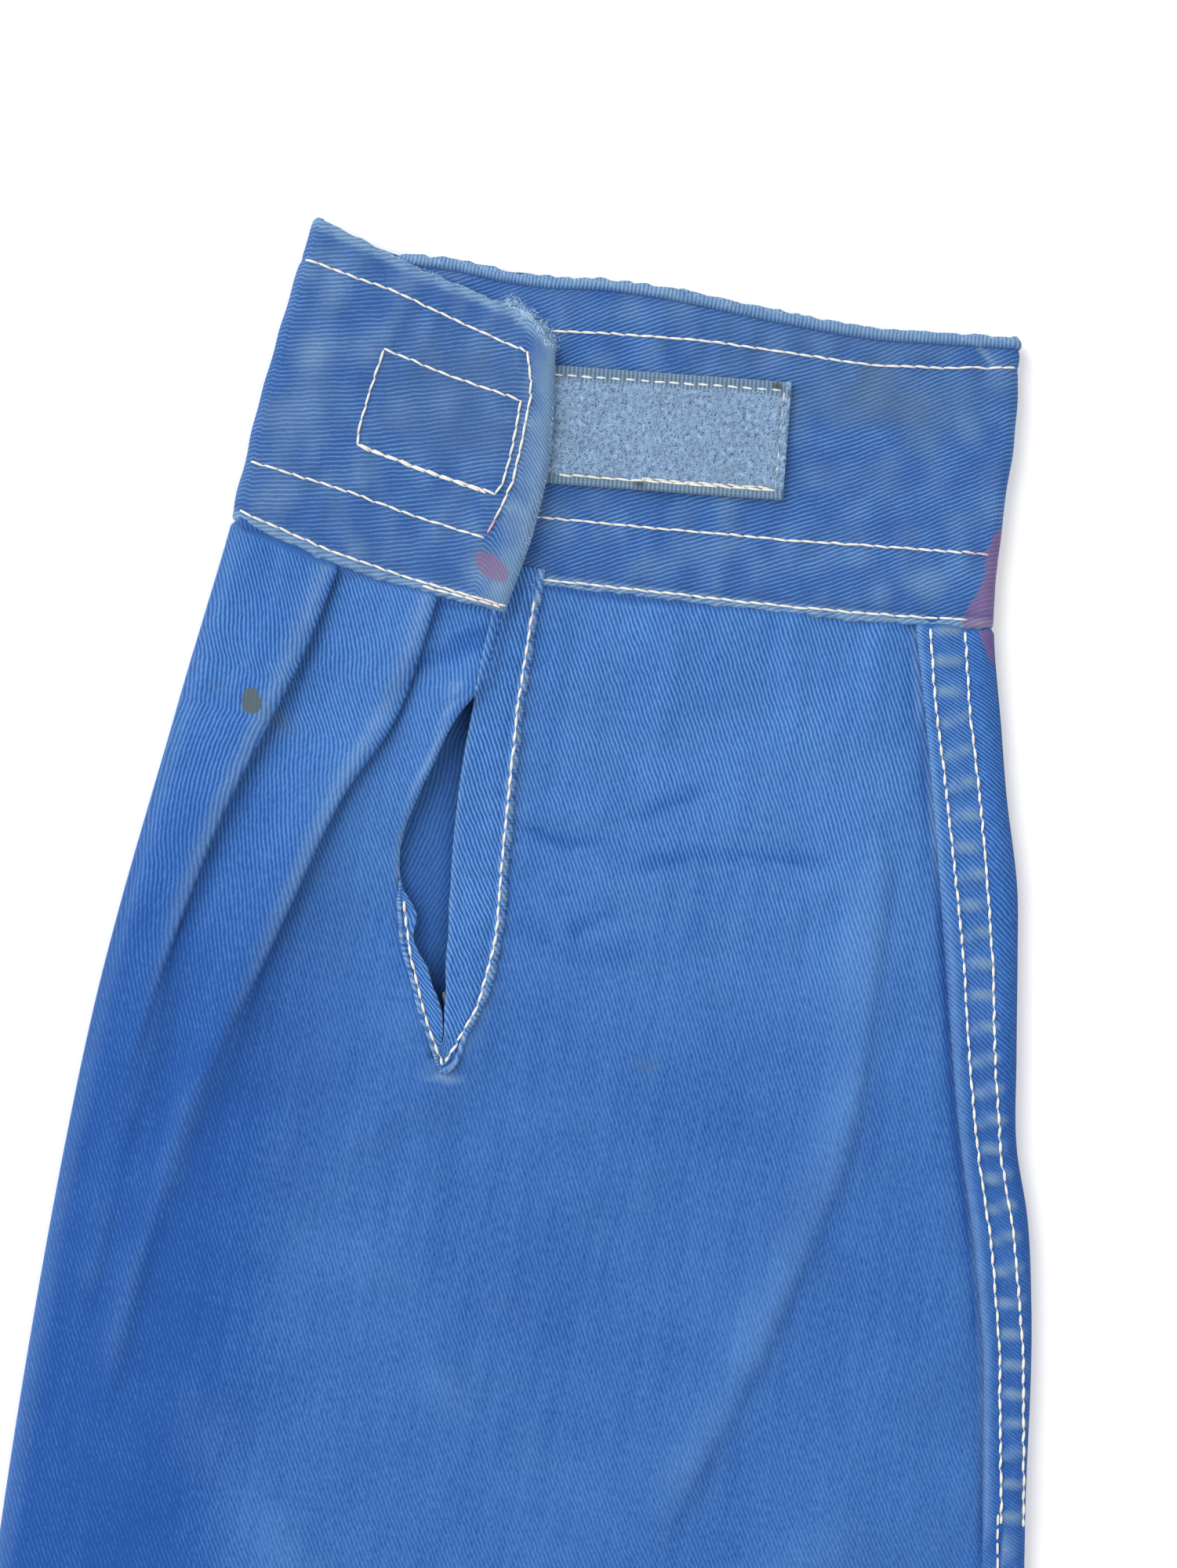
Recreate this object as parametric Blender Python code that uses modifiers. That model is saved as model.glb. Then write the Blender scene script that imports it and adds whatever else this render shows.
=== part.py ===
"""Coveralls of cotton twill, laid out flat on a surface with the back upwards.

Metres, +Z up, +Y towards the collar, +X towards the wearer's right. The fronts lie on the surface, and the
back, the collar's fall and the upper half of each sleeve lie on them. The origin is under the middle of the
whole garment, on the surface.
"""

import math
from collections import namedtuple

import bmesh
import bpy
import numpy as np

MM = 0.001

# Plies and the gap that is left at every seam.
PLY = 1.0 * MM
BAND_PLY = 1.6 * MM
CUFF_PLY = 2.0 * MM
COLLAR_PLY = 1.2 * MM
TAPE = 0.8 * MM
GAP = 0.3 * MM
ARMHOLE_GAP = 1.2 * MM

# Heights of the garment, from the hems.
CROTCH_Y = 0.800
WAIST_Y = 1.120
WAISTBAND = 0.040
NECK_Y = 1.640
SHOULDER_DROP = 0.045
SHOULDER_Y = NECK_Y - SHOULDER_DROP
FLY_BOTTOM_Y = 0.900
FRONT_NECK_DEPTH = 0.088
BACK_NECK_DEPTH = 0.018
COLLAR_RISE = 0.018
LENGTH = NECK_Y + COLLAR_RISE
MIDDLE_Y = LENGTH / 2

# Half widths of the garment.
NECK_X = 0.085
SHOULDER_X = 0.255
CENTRE_EDGE_X = -0.014

# How high the upper ply stands over the surface, at its edges and away from them.
EDGE_Z = 1.8 * MM
MIDDLE_Z = 5.0 * MM
RISE_OVER = 45 * MM

# The front closure, from the surface up: placket, hook tape, loop tape, front.
PLACKET_WIDTH = 0.045
TAPE_WIDTH = 0.025
CLOSURE_LIFT = 3.5 * MM
CLOSURE_REACH = 0.055

# The collar.
COLLAR_SIDE = 0.060
COLLAR_BACK = 0.066
COLLAR_POINT = (0.078, 0.150)
COLLAR_FRONT_X = 0.024
COLLAR_LIFT = COLLAR_PLY + GAP

# The sleeves. The cuff is turned a little further than the sleeve's own line.
SLEEVE_LENGTH = 0.600
CAP_HEIGHT = 0.125
SLEEVE_DROP = math.radians(20)
CUFF_TURN = math.radians(5)
SLIT_END = 172.7
CUFF_DEPTH = 67.0

BodyEdge = namedtuple("BodyEdge", "y outer")
BODY_EDGES = [
    BodyEdge(0.000, 0.345),
    BodyEdge(0.250, 0.337),
    BodyEdge(0.500, 0.325),
    BodyEdge(0.800, 0.305),
    BodyEdge(0.930, 0.289),
    BodyEdge(1.040, 0.272),
    BodyEdge(1.140, 0.262),
    BodyEdge(1.250, 0.268),
    BodyEdge(1.343, 0.275),
]
LegInner = namedtuple("LegInner", "y inner")
LEG_INNERS = [
    LegInner(0.000, 0.125),
    LegInner(0.250, 0.098),
    LegInner(0.500, 0.066),
    LegInner(0.700, 0.030),
    LegInner(0.770, 0.010),
    LegInner(0.800, 0.0015),
]

# The sleeve's two outlines, in millimetres across the cuff's own line, by the distance from its free edge.
SleeveEdge = namedtuple("SleeveEdge", "along left right")
SLEEVE_EDGES = [
    SleeveEdge(0, -76.5, 76.5),
    SleeveEdge(20, -79.0, 78.6),
    SleeveEdge(45, -81.8, 79.4),
    SleeveEdge(67, -83.0, 81.4),
    SleeveEdge(86, -85.2, 86.3),
    SleeveEdge(99, -86.8, 89.8),
    SleeveEdge(118, -88.9, 95.7),
    SleeveEdge(130, -90.3, 97.9),
    SleeveEdge(151, -92.6, 101.3),
    SleeveEdge(171, -94.3, 104.8),
    SleeveEdge(184, -95.0, 109.2),
    SleeveEdge(203, -95.6, 113.4),
    SleeveEdge(250, -96.0, 119.5),
    SleeveEdge(330, -94.0, 128.5),
    SleeveEdge(475, -85.0, 143.0),
    SleeveEdge(610, -75.0, 157.0),
]

# A knife pleat: where its outer fold runs, how deep the folded cloth lies under it, and how high it stands.
Pleat = namedtuple("Pleat", "along fold depth height")
PLEAT_NEAR_SLIT = [
    Pleat(67, -37.0, 10.0, 2.8),
    Pleat(100, -42.3, 7.0, 3.4),
    Pleat(118, -49.3, 3.5, 4.2),
    Pleat(141, -55.5, 0.5, 4.2),
    Pleat(164, -61.0, 0.0, 3.2),
    Pleat(189, -66.0, 0.0, 1.8),
    Pleat(230, -69.5, 0.0, 0.3),
    Pleat(300, -67.0, 0.0, 0.0),
    Pleat(610, -45.0, 0.0, 0.0),
]
PLEAT_NEAR_FOLD = [
    Pleat(67, -59.0, 10.0, 2.8),
    Pleat(90, -63.5, 7.0, 3.2),
    Pleat(110, -69.0, 3.0, 3.6),
    Pleat(130, -74.5, 0.5, 3.2),
    Pleat(153, -79.0, 0.0, 2.0),
    Pleat(185, -81.5, 0.0, 0.4),
    Pleat(230, -82.5, 0.0, 0.0),
    Pleat(300, -81.5, 0.0, 0.0),
    Pleat(610, -62.0, 0.0, 0.0),
]

# The slit: its two edges, and the height of the cloth beside it.
Slit = namedtuple("Slit", "along left right left_z right_z")
SLIT = [
    Slit(67, -22.5, -24.0, 7.2, 4.4),
    Slit(80, -23.5, -24.8, 7.2, 4.4),
    Slit(95, -26.6, -25.3, 6.6, 4.3),
    Slit(115, -32.6, -25.3, 5.2, 4.0),
    Slit(130, -34.6, -24.3, 4.4, 3.6),
    Slit(142, -31.6, -22.8, 4.2, 3.6),
    Slit(155, -25.0, -21.2, 4.6, 4.2),
    Slit(163, -20.8, -20.0, 5.2, 5.2),
    Slit(SLIT_END, -18.8, -18.8, 5.4, 5.4),
    Slit(230, -16.0, -16.0, 5.2, 5.2),
    Slit(610, 10.0, 10.0, 5.5, 5.5),
]

# The felled seam: the folded edge that shows, and the height of the sleeve's middle over the surface.
FelledSeam = namedtuple("FelledSeam", "along edge")
FELLED_SEAM = [
    FelledSeam(67, 64.6),
    FelledSeam(81, 68.5),
    FelledSeam(104, 74.9),
    FelledSeam(134, 82.8),
    FelledSeam(168, 91.5),
    FelledSeam(189, 97.9),
    FelledSeam(210, 103.7),
    FelledSeam(250, 110.0),
    FelledSeam(330, 119.5),
    FelledSeam(475, 134.5),
    FelledSeam(610, 148.5),
]
FELL_UNDERLAP = 8.0
SLEEVE_FLOOR_Z = 0.5
SLEEVE_FOLD_Z = 3.5
SLEEVE_TOP_Z = 5.0

# Rows of the sleeve by the distance from the cuff's free edge, and how each end of it slants.
SLEEVE_ROWS = (67.3, 73, 80, 86, 92, 99, 105, 111, 118, 124, 130, 136, 142, 149, 155, 163, SLIT_END)
SLEEVE_ROWS = SLEEVE_ROWS + (181, 190, 200, 212, 230, 260, 310, 370, 440, 520, 600)
CuffSlant = namedtuple("CuffSlant", "across upper_left upper_right lower")
CUFF_SLANT = [
    CuffSlant(-83, 0.4, 0.0, 0.0),
    CuffSlant(-60, 6.4, 0.0, -0.6),
    CuffSlant(-40, 8.5, 0.0, -1.2),
    CuffSlant(-20, 10.4, 3.2, -1.8),
    CuffSlant(36, 10.4, 0.2, -3.0),
    CuffSlant(82, 10.4, -4.0, -4.0),
]

# The cuff's lap, underlap and lower side: both edges of the band, in millimetres, by the place across.
Band = namedtuple("Band", "across top bottom z")
LAP = [
    Band(-76, 0.0, 66.8, 4.4),
    Band(-66, 3.0, 69.6, 4.9),
    Band(-53, 7.0, 73.2, 5.6),
    Band(-35, 11.6, 75.4, 7.0),
    Band(-26.5, 14.0, 76.3, 8.2),
    Band(-20.8, 19.5, 76.9, 8.4),
]
UNDERLAP = [
    Band(-26.0, 4.4, 69.8, 4.4),
    Band(-13, 2.8, 69.3, 4.4),
    Band(0, 2.4, 68.6, 4.4),
    Band(26, 3.3, 67.3, 4.4),
    Band(46, 3.3, 65.9, 4.4),
    Band(60, 1.9, 64.6, 4.4),
    Band(76, 0.2, 62.8, 4.4),
]
CUFF_LOWER_SIDE = [
    Band(76, 0.4, 62.8, 1.0),
    Band(46, 3.8, 63.5, 1.0),
    Band(16, 3.6, 64.2, 1.0),
    Band(-14, 3.8, 65.0, 1.0),
    Band(-38, 4.9, 65.5, 1.0),
    Band(-58, 4.6, 66.0, 1.0),
    Band(-76, 0.0, 66.8, 1.0),
]
CUFF_FOLD_Z = 4.4

# Hook and loop patches on the cuff: the middle of each, its size and its tilt across the cuff.
Patch = namedtuple("Patch", "across along length width tilt")
LOOP_PATCH = Patch(4.0, 33.2, 54.0, 25.0, math.radians(-5.5))
HOOK_PATCH = Patch(-42.0, 39.6, 32.0, 21.5, math.radians(12.0))
PATCH_PLY = 1.2

# The slit's binding: the far edge of the strip on each side.
Binding = namedtuple("Binding", "along left right")
BINDING = [
    Binding(70.8, -23.5, -14.8),
    Binding(95, -26.6, -14.4),
    Binding(128, -34.8, -12.0),
    Binding(140, -34.2, -11.0),
    Binding(146, -32.6, -10.7),
    Binding(160, -26.8, -12.3),
    Binding(174.5, -18.8, -18.0),
]
BINDING_LEFT_FROM = 138.0

# Soft folds of the back, from one end to the other: how high and how wide each stands.
Fold = namedtuple("Fold", "x0 y0 x1 y1 height width")
FOLDS = [
    Fold(-0.20, 1.30, -0.06, 1.20, 2.1, 40),
    Fold(0.22, 1.28, 0.08, 1.19, 1.8, 45),
    Fold(-0.11, 1.52, -0.16, 1.34, 1.5, 50),
    Fold(0.13, 1.54, 0.17, 1.36, 1.8, 45),
    Fold(-0.02, 1.46, 0.02, 1.26, -1.2, 60),
    Fold(-0.20, 1.05, -0.05, 0.92, 2.1, 45),
    Fold(0.19, 1.03, 0.06, 0.90, 1.8, 50),
    Fold(-0.24, 0.86, -0.08, 0.76, 2.4, 40),
    Fold(0.25, 0.84, 0.09, 0.77, 2.1, 45),
    Fold(-0.28, 0.52, -0.12, 0.47, 1.8, 40),
    Fold(0.29, 0.47, 0.13, 0.53, 2.1, 40),
    Fold(-0.24, 0.40, -0.20, 0.12, 1.5, 50),
    Fold(0.25, 0.36, 0.22, 0.10, 1.5, 50),
]

# Colours and finish, from the garment.
BLUE = (0.072, 0.190, 0.520, 1.0)
PALE_BLUE = (0.215, 0.340, 0.500, 1.0)


def smooth_step(x):
    """0 up to 0, 1 from 1 on, and an even curve between."""
    x = np.clip(x, 0.0, 1.0)
    return x * x * (3.0 - 2.0 * x)


def curve(rows, column):
    """A smooth curve through one column of a table, as a function of the table's first column."""
    known = np.array([row[0] for row in rows], float)
    values = np.array([getattr(row, column) for row in rows], float)
    order = np.argsort(known)
    known, values = known[order], values[order]
    slopes = np.gradient(values, known)

    def at(x):
        x = np.clip(np.asarray(x, float), known[0], known[-1])
        i = np.clip(np.searchsorted(known, x) - 1, 0, len(known) - 2)
        span = known[i + 1] - known[i]
        f = (x - known[i]) / span
        start = (1 + 2 * f) * (1 - f) ** 2 * values[i] + f * (1 - f) ** 2 * span * slopes[i]
        return start + f * f * (3 - 2 * f) * values[i + 1] + f * f * (f - 1) * span * slopes[i + 1]

    return at


def spread(start, end, count):
    """count + 1 evenly spaced values from start to end."""
    return [start + (end - start) * i / count for i in range(count + 1)]


# Building the solids

def material(name, colour, roughness):
    made = bpy.data.materials.new(name)
    made.use_nodes = True
    shader = made.node_tree.nodes["Principled BSDF"]
    shader.inputs["Base Color"].default_value = colour
    shader.inputs["Roughness"].default_value = roughness
    shader.inputs["Metallic"].default_value = 0.0
    return made


def grid_faces(shell, columns, rows, place):
    """Adds a grid of cloth to a shell and moves its points to place(column, row)."""
    grid = bmesh.ops.create_grid(shell, x_segments=columns, y_segments=rows, size=0.5)
    for point in grid["verts"]:
        column = round((point.co.x + 0.5) * columns)
        row = round((point.co.y + 0.5) * rows)
        point.co = place(column, row)


def cloth_object(name, shell, ply, cloth, collection):
    """An object of one ply: the shell, given its thickness on both sides."""
    bmesh.ops.recalc_face_normals(shell, faces=shell.faces)
    mesh = bpy.data.meshes.new(name)
    shell.to_mesh(mesh)
    shell.free()
    mesh.materials.append(cloth)
    mesh.shade_smooth()
    made = bpy.data.objects.new(name, mesh)
    collection.objects.link(made)
    wall = made.modifiers.new("Wall", "SOLIDIFY")
    wall.thickness = ply
    wall.offset = 0.0
    wall.use_even_offset = False
    return made


def panel(name, columns, rows, place, ply, cloth, collection):
    """A cloth panel whose points are place(column, row)."""
    shell = bmesh.new()
    grid_faces(shell, columns, rows, place)
    return cloth_object(name, shell, ply, cloth, collection)


# The sleeve's own frame: across the cuff and along from its free edge, in millimetres

LEFT_EDGE = curve(SLEEVE_EDGES, "left")
RIGHT_EDGE = curve(SLEEVE_EDGES, "right")
ALONG_ANGLE = math.pi - SLEEVE_DROP - CUFF_TURN
ALONG = np.array([math.cos(ALONG_ANGLE), math.sin(ALONG_ANGLE)])
ACROSS = np.array([-math.sin(ALONG_ANGLE), math.cos(ALONG_ANGLE)])
SLEEVE_ORIGIN = (
    np.array([SHOULDER_X, SHOULDER_Y])
    - ALONG * SLEEVE_LENGTH
    - ACROSS * float(LEFT_EDGE(SLEEVE_LENGTH / MM)) * MM
)


def from_sleeve(side, across, along, z):
    """The place in the garment of a point of the sleeve. side is 1 for the right sleeve, -1 for the left."""
    x, y = SLEEVE_ORIGIN + ACROSS * across * MM + ALONG * along * MM
    return (side * x, y - MIDDLE_Y, z * MM)


def lateral_share(across, along):
    """0 at the sleeve's shoulder fold and 1 at its underarm fold."""
    left, right = float(LEFT_EDGE(along)), float(RIGHT_EDGE(along))
    return min(max((across - left) / (right - left), 0.0), 1.0)


def armhole_slant(share):
    """How far short of the full length the armhole cuts the sleeve."""
    return -(CAP_HEIGHT / MM) * (share + 0.05 * math.sin(2 * math.pi * share))


def slanted(along, cuff_offset, share):
    """The distance along, once the cuff's and the armhole's slants are added."""
    near_cuff = 1.0 - float(smooth_step((along - CUFF_DEPTH) / 75.0))
    near_armhole = float(smooth_step((along - 210.0) / (SLEEVE_LENGTH / MM - 210.0)))
    return along + cuff_offset * near_cuff + armhole_slant(share) * near_armhole


def armhole_points(side):
    """The armhole seam in the garment, from the shoulder to the underarm."""
    points = []
    full = SLEEVE_LENGTH / MM
    for share in spread(0.0, 1.0, 24):
        across = float(LEFT_EDGE(full)) * (1 - share) + float(RIGHT_EDGE(full)) * share
        points.append(from_sleeve(side, across, slanted(full, 0.0, share), 0.0))
    return points


ARMHOLE = armhole_points(1)
UNDERARM_X, UNDERARM_Y = ARMHOLE[-1][0], ARMHOLE[-1][1] + MIDDLE_Y


# Heights of the plies of the body

BODY_OUTER = curve(BODY_EDGES, "outer")
LEG_INNER = curve(LEG_INNERS, "inner")


def armhole_x(y):
    """The half width of the body along the armhole."""
    ys = [point[1] + MIDDLE_Y for point in ARMHOLE][::-1]
    xs = [point[0] for point in ARMHOLE][::-1]
    return float(np.interp(y, ys, xs))


def half_width(y):
    """The half width of the body at a height."""
    if y > UNDERARM_Y:
        return armhole_x(min(y, SHOULDER_Y))
    share = smooth_step((y - 1.20) / (UNDERARM_Y - 1.20))
    return float(BODY_OUTER(y)) * (1 - share) + UNDERARM_X * share


def shoulder_line(x):
    """The height of the shoulder seam, a straight slope from the neck."""
    slope = SHOULDER_DROP / (SHOULDER_X - NECK_X)
    return NECK_Y - (abs(x) - NECK_X) * slope


def edge_distance(x, y):
    """How far a point of the body lies from the nearest edge that is folded or sewn flat."""
    x = abs(x)
    outer = half_width(y) - x if y < UNDERARM_Y else math.hypot(UNDERARM_X - x, y - UNDERARM_Y)
    inner = x - float(LEG_INNER(y)) if y < CROTCH_Y else math.hypot(x, y - CROTCH_Y)
    if x > NECK_X:
        top = shoulder_line(x) - y
    else:
        top = math.hypot(NECK_X - x, NECK_Y - y)
    return max(0.0, min(outer, inner, top))


def fold_relief(x, y):
    """The height that the soft folds add."""
    total = 0.0
    for fold in FOLDS:
        dx, dy = fold.x1 - fold.x0, fold.y1 - fold.y0
        length = math.hypot(dx, dy)
        along = ((x - fold.x0) * dx + (y - fold.y0) * dy) / length
        away = ((x - fold.x0) * dy - (y - fold.y0) * dx) / length
        ends = float(smooth_step((along + 0.03) / 0.08)) * float(smooth_step((length + 0.03 - along) / 0.08))
        total += fold.height * MM * ends * math.exp(-((away / (fold.width * MM / 2)) ** 2))
    return total


def fall_zone(x, y):
    """1 where the collar's fall lies on the back and holds it flat, 0 below it."""
    far = math.hypot(max(0.0, abs(x) - 0.160), max(0.0, NECK_Y - 0.054 - y))
    return 1.0 - float(smooth_step(far / 0.035))


def collar_zone(x, y):
    """1 where the collar's points lie under the fronts, 0 well away from them."""
    far = math.hypot(max(0.0, abs(x) - 0.075) * 1.0, max(0.0, NECK_Y - 0.075 - y) * 0.75)
    return 1.0 - float(smooth_step((far - 0.085) / 0.05))


def closure_share(x, y):
    """1 over the closure's tapes, 0 away from them."""
    across = 1.0 - float(smooth_step((abs(x) - 0.016) / (CLOSURE_REACH - 0.016)))
    return across * float(smooth_step((y - FLY_BOTTOM_Y + 0.035) / 0.03))


def back_z(x, y):
    """The middle of the upper ply."""
    away = edge_distance(x, y)
    rise = float(smooth_step(away / RISE_OVER)) * (1.0 - fall_zone(x, y))
    base = EDGE_Z + COLLAR_LIFT * collar_zone(x, y) + 2.2 * MM * closure_share(x, y) * rise
    return base + (MIDDLE_Z - EDGE_Z) * rise + fold_relief(x, y) * rise


def front_z(x, y):
    """The middle of the lower ply, lifted over the closure and the collar's points."""
    return PLY / 2 + max(CLOSURE_LIFT * closure_share(x, y), COLLAR_LIFT * collar_zone(x, y))


def on_back(x, y, lift=0.0):
    return (x, y - MIDDLE_Y, back_z(x, y) + lift)


def on_front(x, y, lift=0.0):
    return (x, y - MIDDLE_Y, front_z(x, y) + lift)


# The body

NECK_SHARE = NECK_X / SHOULDER_X
BACK_SHARES = (-1, -0.9, -0.8, -0.7, -0.6, -0.5, -0.4, -NECK_SHARE, -0.31, -0.26, -0.17, -0.08, 0)
BACK_SHARES = BACK_SHARES + tuple(-share for share in BACK_SHARES[-2::-1])


def bodice_top(x, neck_depth):
    """The neckline between the neck points, and the shoulder seams beyond them."""
    if abs(x) >= NECK_X:
        return shoulder_line(x)
    return NECK_Y - neck_depth * math.sqrt(max(0.0, 1 - (x / NECK_X) ** 2))


def seam_gap(y):
    """The gap at the side seam, and the wider one along the curved armhole."""
    return GAP if y < UNDERARM_Y - 0.02 else ARMHOLE_GAP


def neckline(x):
    """The back neckline as the back bodice's own points draw it."""
    xs = [share * (SHOULDER_X - ARMHOLE_GAP) for share in BACK_SHARES]
    ys = [bodice_top(share * SHOULDER_X, BACK_NECK_DEPTH) for share in BACK_SHARES]
    return float(np.interp(x, xs, ys))


def make_back_bodice(cloth, collection):
    """The whole back from the waistband to the shoulders and neck."""
    rows = (0, 0.06, 0.12, 0.19, 0.26, 0.33, 0.4, 0.47, 0.54, 0.61, 0.68, 0.75, 0.81, 0.86, 0.9, 0.94, 0.97, 1)
    bottom = WAIST_Y + WAISTBAND + GAP

    def place(column, row):
        share = BACK_SHARES[column]
        top = bodice_top(share * SHOULDER_X, BACK_NECK_DEPTH)
        y = bottom + (top - bottom) * rows[row]
        return on_back(share * (half_width(y) - seam_gap(y)), y)

    return panel("back_bodice", len(BACK_SHARES) - 1, len(rows) - 1, place, PLY, cloth, collection)


def make_front_bodices(cloth, collection):
    """The two fronts, from the waistband to the shoulders and the deeper front neck."""
    rows = 12
    bottom = WAIST_Y + WAISTBAND + GAP
    shares = (0, 0.06, 0.12, 0.2, 0.333, 0.48, 0.65, 0.82, 1)
    for side, name in ((1, "front_bodice_right"), (-1, "front_bodice_left")):
        inner = CENTRE_EDGE_X if side > 0 else CENTRE_EDGE_X - GAP

        def place(column, row, side=side, inner=inner):
            share = shares[column]
            x_top = inner + (side * SHOULDER_X - inner) * share
            top = bodice_top(x_top, FRONT_NECK_DEPTH)
            y = bottom + (top - bottom) * row / rows
            outer = side * (half_width(y) - seam_gap(y))
            return on_front(inner + (outer - inner) * share, y)

        panel(name, len(shares) - 1, rows, place, PLY, cloth, collection)


def make_waistbands(cloth, collection):
    """The band between the bodice and the legs: one piece behind, two in front."""
    def back_place(column, row):
        y = WAIST_Y + WAISTBAND * row / 2
        x = half_width(y) * (-1 + 2 * column / 18)
        return on_back(x, y, (BAND_PLY - PLY) / 2)

    panel("waistband_back", 18, 2, back_place, BAND_PLY, cloth, collection)
    for side, name in ((1, "waistband_front_right"), (-1, "waistband_front_left")):
        inner = CENTRE_EDGE_X if side > 0 else CENTRE_EDGE_X - GAP

        def front_place(column, row, side=side, inner=inner):
            y = WAIST_Y + WAISTBAND * row / 2
            x = inner + (side * half_width(y) - inner) * column / 8
            return on_front(x, y, 0.0)

        panel(name, 8, 2, front_place, PLY, cloth, collection)


def make_legs(cloth, collection):
    """Two back legs over two front legs, each pair joined at the centre seam down to the crotch."""
    even = spread(0.0, 1.0, 10)
    from_fly = (0, 0.06, 0.18, 0.4, 0.7, 1)
    heights = (0, 0.03, 0.10, 0.18, 0.26, 0.34, 0.41, 0.47, 0.53, 0.60, 0.67, 0.73, 0.77, CROTCH_Y, 0.83, 0.87)
    heights = heights + (0.92, 0.97, 1.02, 1.07, WAIST_Y - GAP)
    front_heights = (0, 0.12, 0.30, 0.50, 0.67, 0.77, CROTCH_Y, 0.86, 0.89, 0.92, 1.0, WAIST_Y - GAP)
    for side, word in ((1, "right"), (-1, "left")):
        for name, ys, shares, height in (
            ("leg_back_", heights, even, on_back),
            ("leg_front_", front_heights, from_fly, on_front),
        ):

            def place(column, row, side=side, ys=ys, shares=shares, height=height):
                y = ys[row]
                inner = max(float(LEG_INNER(y)), GAP / 2)
                x = inner + (half_width(y) - inner) * shares[column]
                return height(side * x, y)

            panel(name + word, len(shares) - 1, len(ys) - 1, place, PLY, cloth, collection)


def make_closure(cloth, tape, collection):
    """The placket that covers the front opening, and the hook and loop tapes under it."""
    top = NECK_Y - FRONT_NECK_DEPTH - 0.004
    tape_top, tape_bottom = top - 0.030, FLY_BOTTOM_Y + 0.020

    def strip(name, left, width, low, high, z, ply, finish):
        def place(column, row):
            y = low + (high - low) * row / 8
            return (left + width * column / 2, y - MIDDLE_Y, z)

        panel(name, 2, 8, place, ply, finish, collection)

    placket_left = CENTRE_EDGE_X - 0.008
    strip("front_placket", placket_left, PLACKET_WIDTH, FLY_BOTTOM_Y, top, PLY / 2, PLY, cloth)
    tape_z = PLY + GAP + TAPE / 2
    strip("front_hook_tape", -TAPE_WIDTH / 2, TAPE_WIDTH, tape_bottom, tape_top, tape_z, TAPE, tape)
    tape_z += TAPE + GAP
    strip("front_loop_tape", -TAPE_WIDTH / 2, TAPE_WIDTH, tape_bottom, tape_top, tape_z, TAPE, tape)


# The collar

def collar_sections():
    """Inner and outer ends of the collar's sections, from one front edge round the neck to the other."""
    slope = math.atan2(SHOULDER_DROP, SHOULDER_X - NECK_X)
    down = np.array([math.cos(slope), -math.sin(slope)])
    out = np.array([math.sin(slope), math.cos(slope)])
    side_top = EDGE_Z + COLLAR_LIFT + PLY / 2 + GAP + COLLAR_PLY / 2
    side_bottom = COLLAR_PLY / 2
    radius = (side_top - side_bottom) / 2
    neck = np.array([NECK_X, NECK_Y])
    tip = neck + down * COLLAR_SIDE
    point = np.array([COLLAR_POINT[0], NECK_Y - COLLAR_POINT[1]])
    sections = []
    for share in spread(1.0, 0.0, 5):
        angle = math.radians(90 * share)
        inner = np.array([
            COLLAR_FRONT_X + (NECK_X - COLLAR_FRONT_X) * math.cos(angle),
            NECK_Y - (FRONT_NECK_DEPTH - 0.002) * math.sin(angle),
        ])
        outer = tip + (point - tip) * share + np.array([0.010, -0.010]) * math.sin(math.pi * share)
        sections.append((inner, side_bottom, outer, side_bottom))
    for turn in (0.25, 0.5, 0.75):
        angle = math.pi * turn
        shift = out * (radius * math.sin(angle) + GAP + PLY / 4)
        z = side_bottom + radius * (1 - math.cos(angle))
        sections.append((neck + shift, z, tip + shift, z))
    for share in spread(0.0, 1.0, 6):
        x_in = NECK_X * (1 - share)
        inner = np.array([x_in, NECK_Y + COLLAR_RISE * (1 - (x_in / NECK_X) ** 2)])
        x_out = tip[0] * (1 - share)
        dip = math.sqrt(max(0.0, 1 - (x_out / tip[0]) ** 2))
        outer = np.array([x_out, tip[1] - (COLLAR_BACK - COLLAR_RISE - (NECK_Y - tip[1])) * dip])
        sections.append((inner, None, outer, None))
    return sections


def make_collar(cloth, collection):
    """The collar's fall, over the back and round the shoulder seams to its points under the fronts."""
    half = collar_sections()
    whole = [(section, 1) for section in half] + [(section, -1) for section in half[-2::-1]]
    lift = PLY / 2 + GAP + COLLAR_PLY / 2

    def place(column, row):
        (inner, inner_z, outer, outer_z), side = whole[column]
        share = row / 5
        x, y = inner + (outer - inner) * share
        if inner_z is None:
            z = back_z(x, min(y, NECK_Y - BACK_NECK_DEPTH * 0.3)) + lift
        else:
            z = inner_z + (outer_z - inner_z) * share
        return (side * x, y - MIDDLE_Y, z)

    panel("collar", len(whole) - 1, 5, place, COLLAR_PLY, cloth, collection)


def make_collar_stand(cloth, collection):
    """The stand, from the back neckline up to the fold of the collar, under its fall."""
    shares = [share for share in BACK_SHARES if abs(share) < NECK_SHARE - 0.01]

    def place(column, row):
        x = shares[column] * (SHOULDER_X - ARMHOLE_GAP)
        low = neckline(x) + 2 * GAP
        high = NECK_Y + COLLAR_RISE * (1 - (x / NECK_X) ** 2) - 0.001
        y = low + (high - low) * row / 2
        return (x, y - MIDDLE_Y, back_z(x, min(y, NECK_Y - BACK_NECK_DEPTH * 0.3)))

    panel("collar_stand", len(shares) - 1, 2, place, PLY, cloth, collection)


# The sleeves

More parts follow.
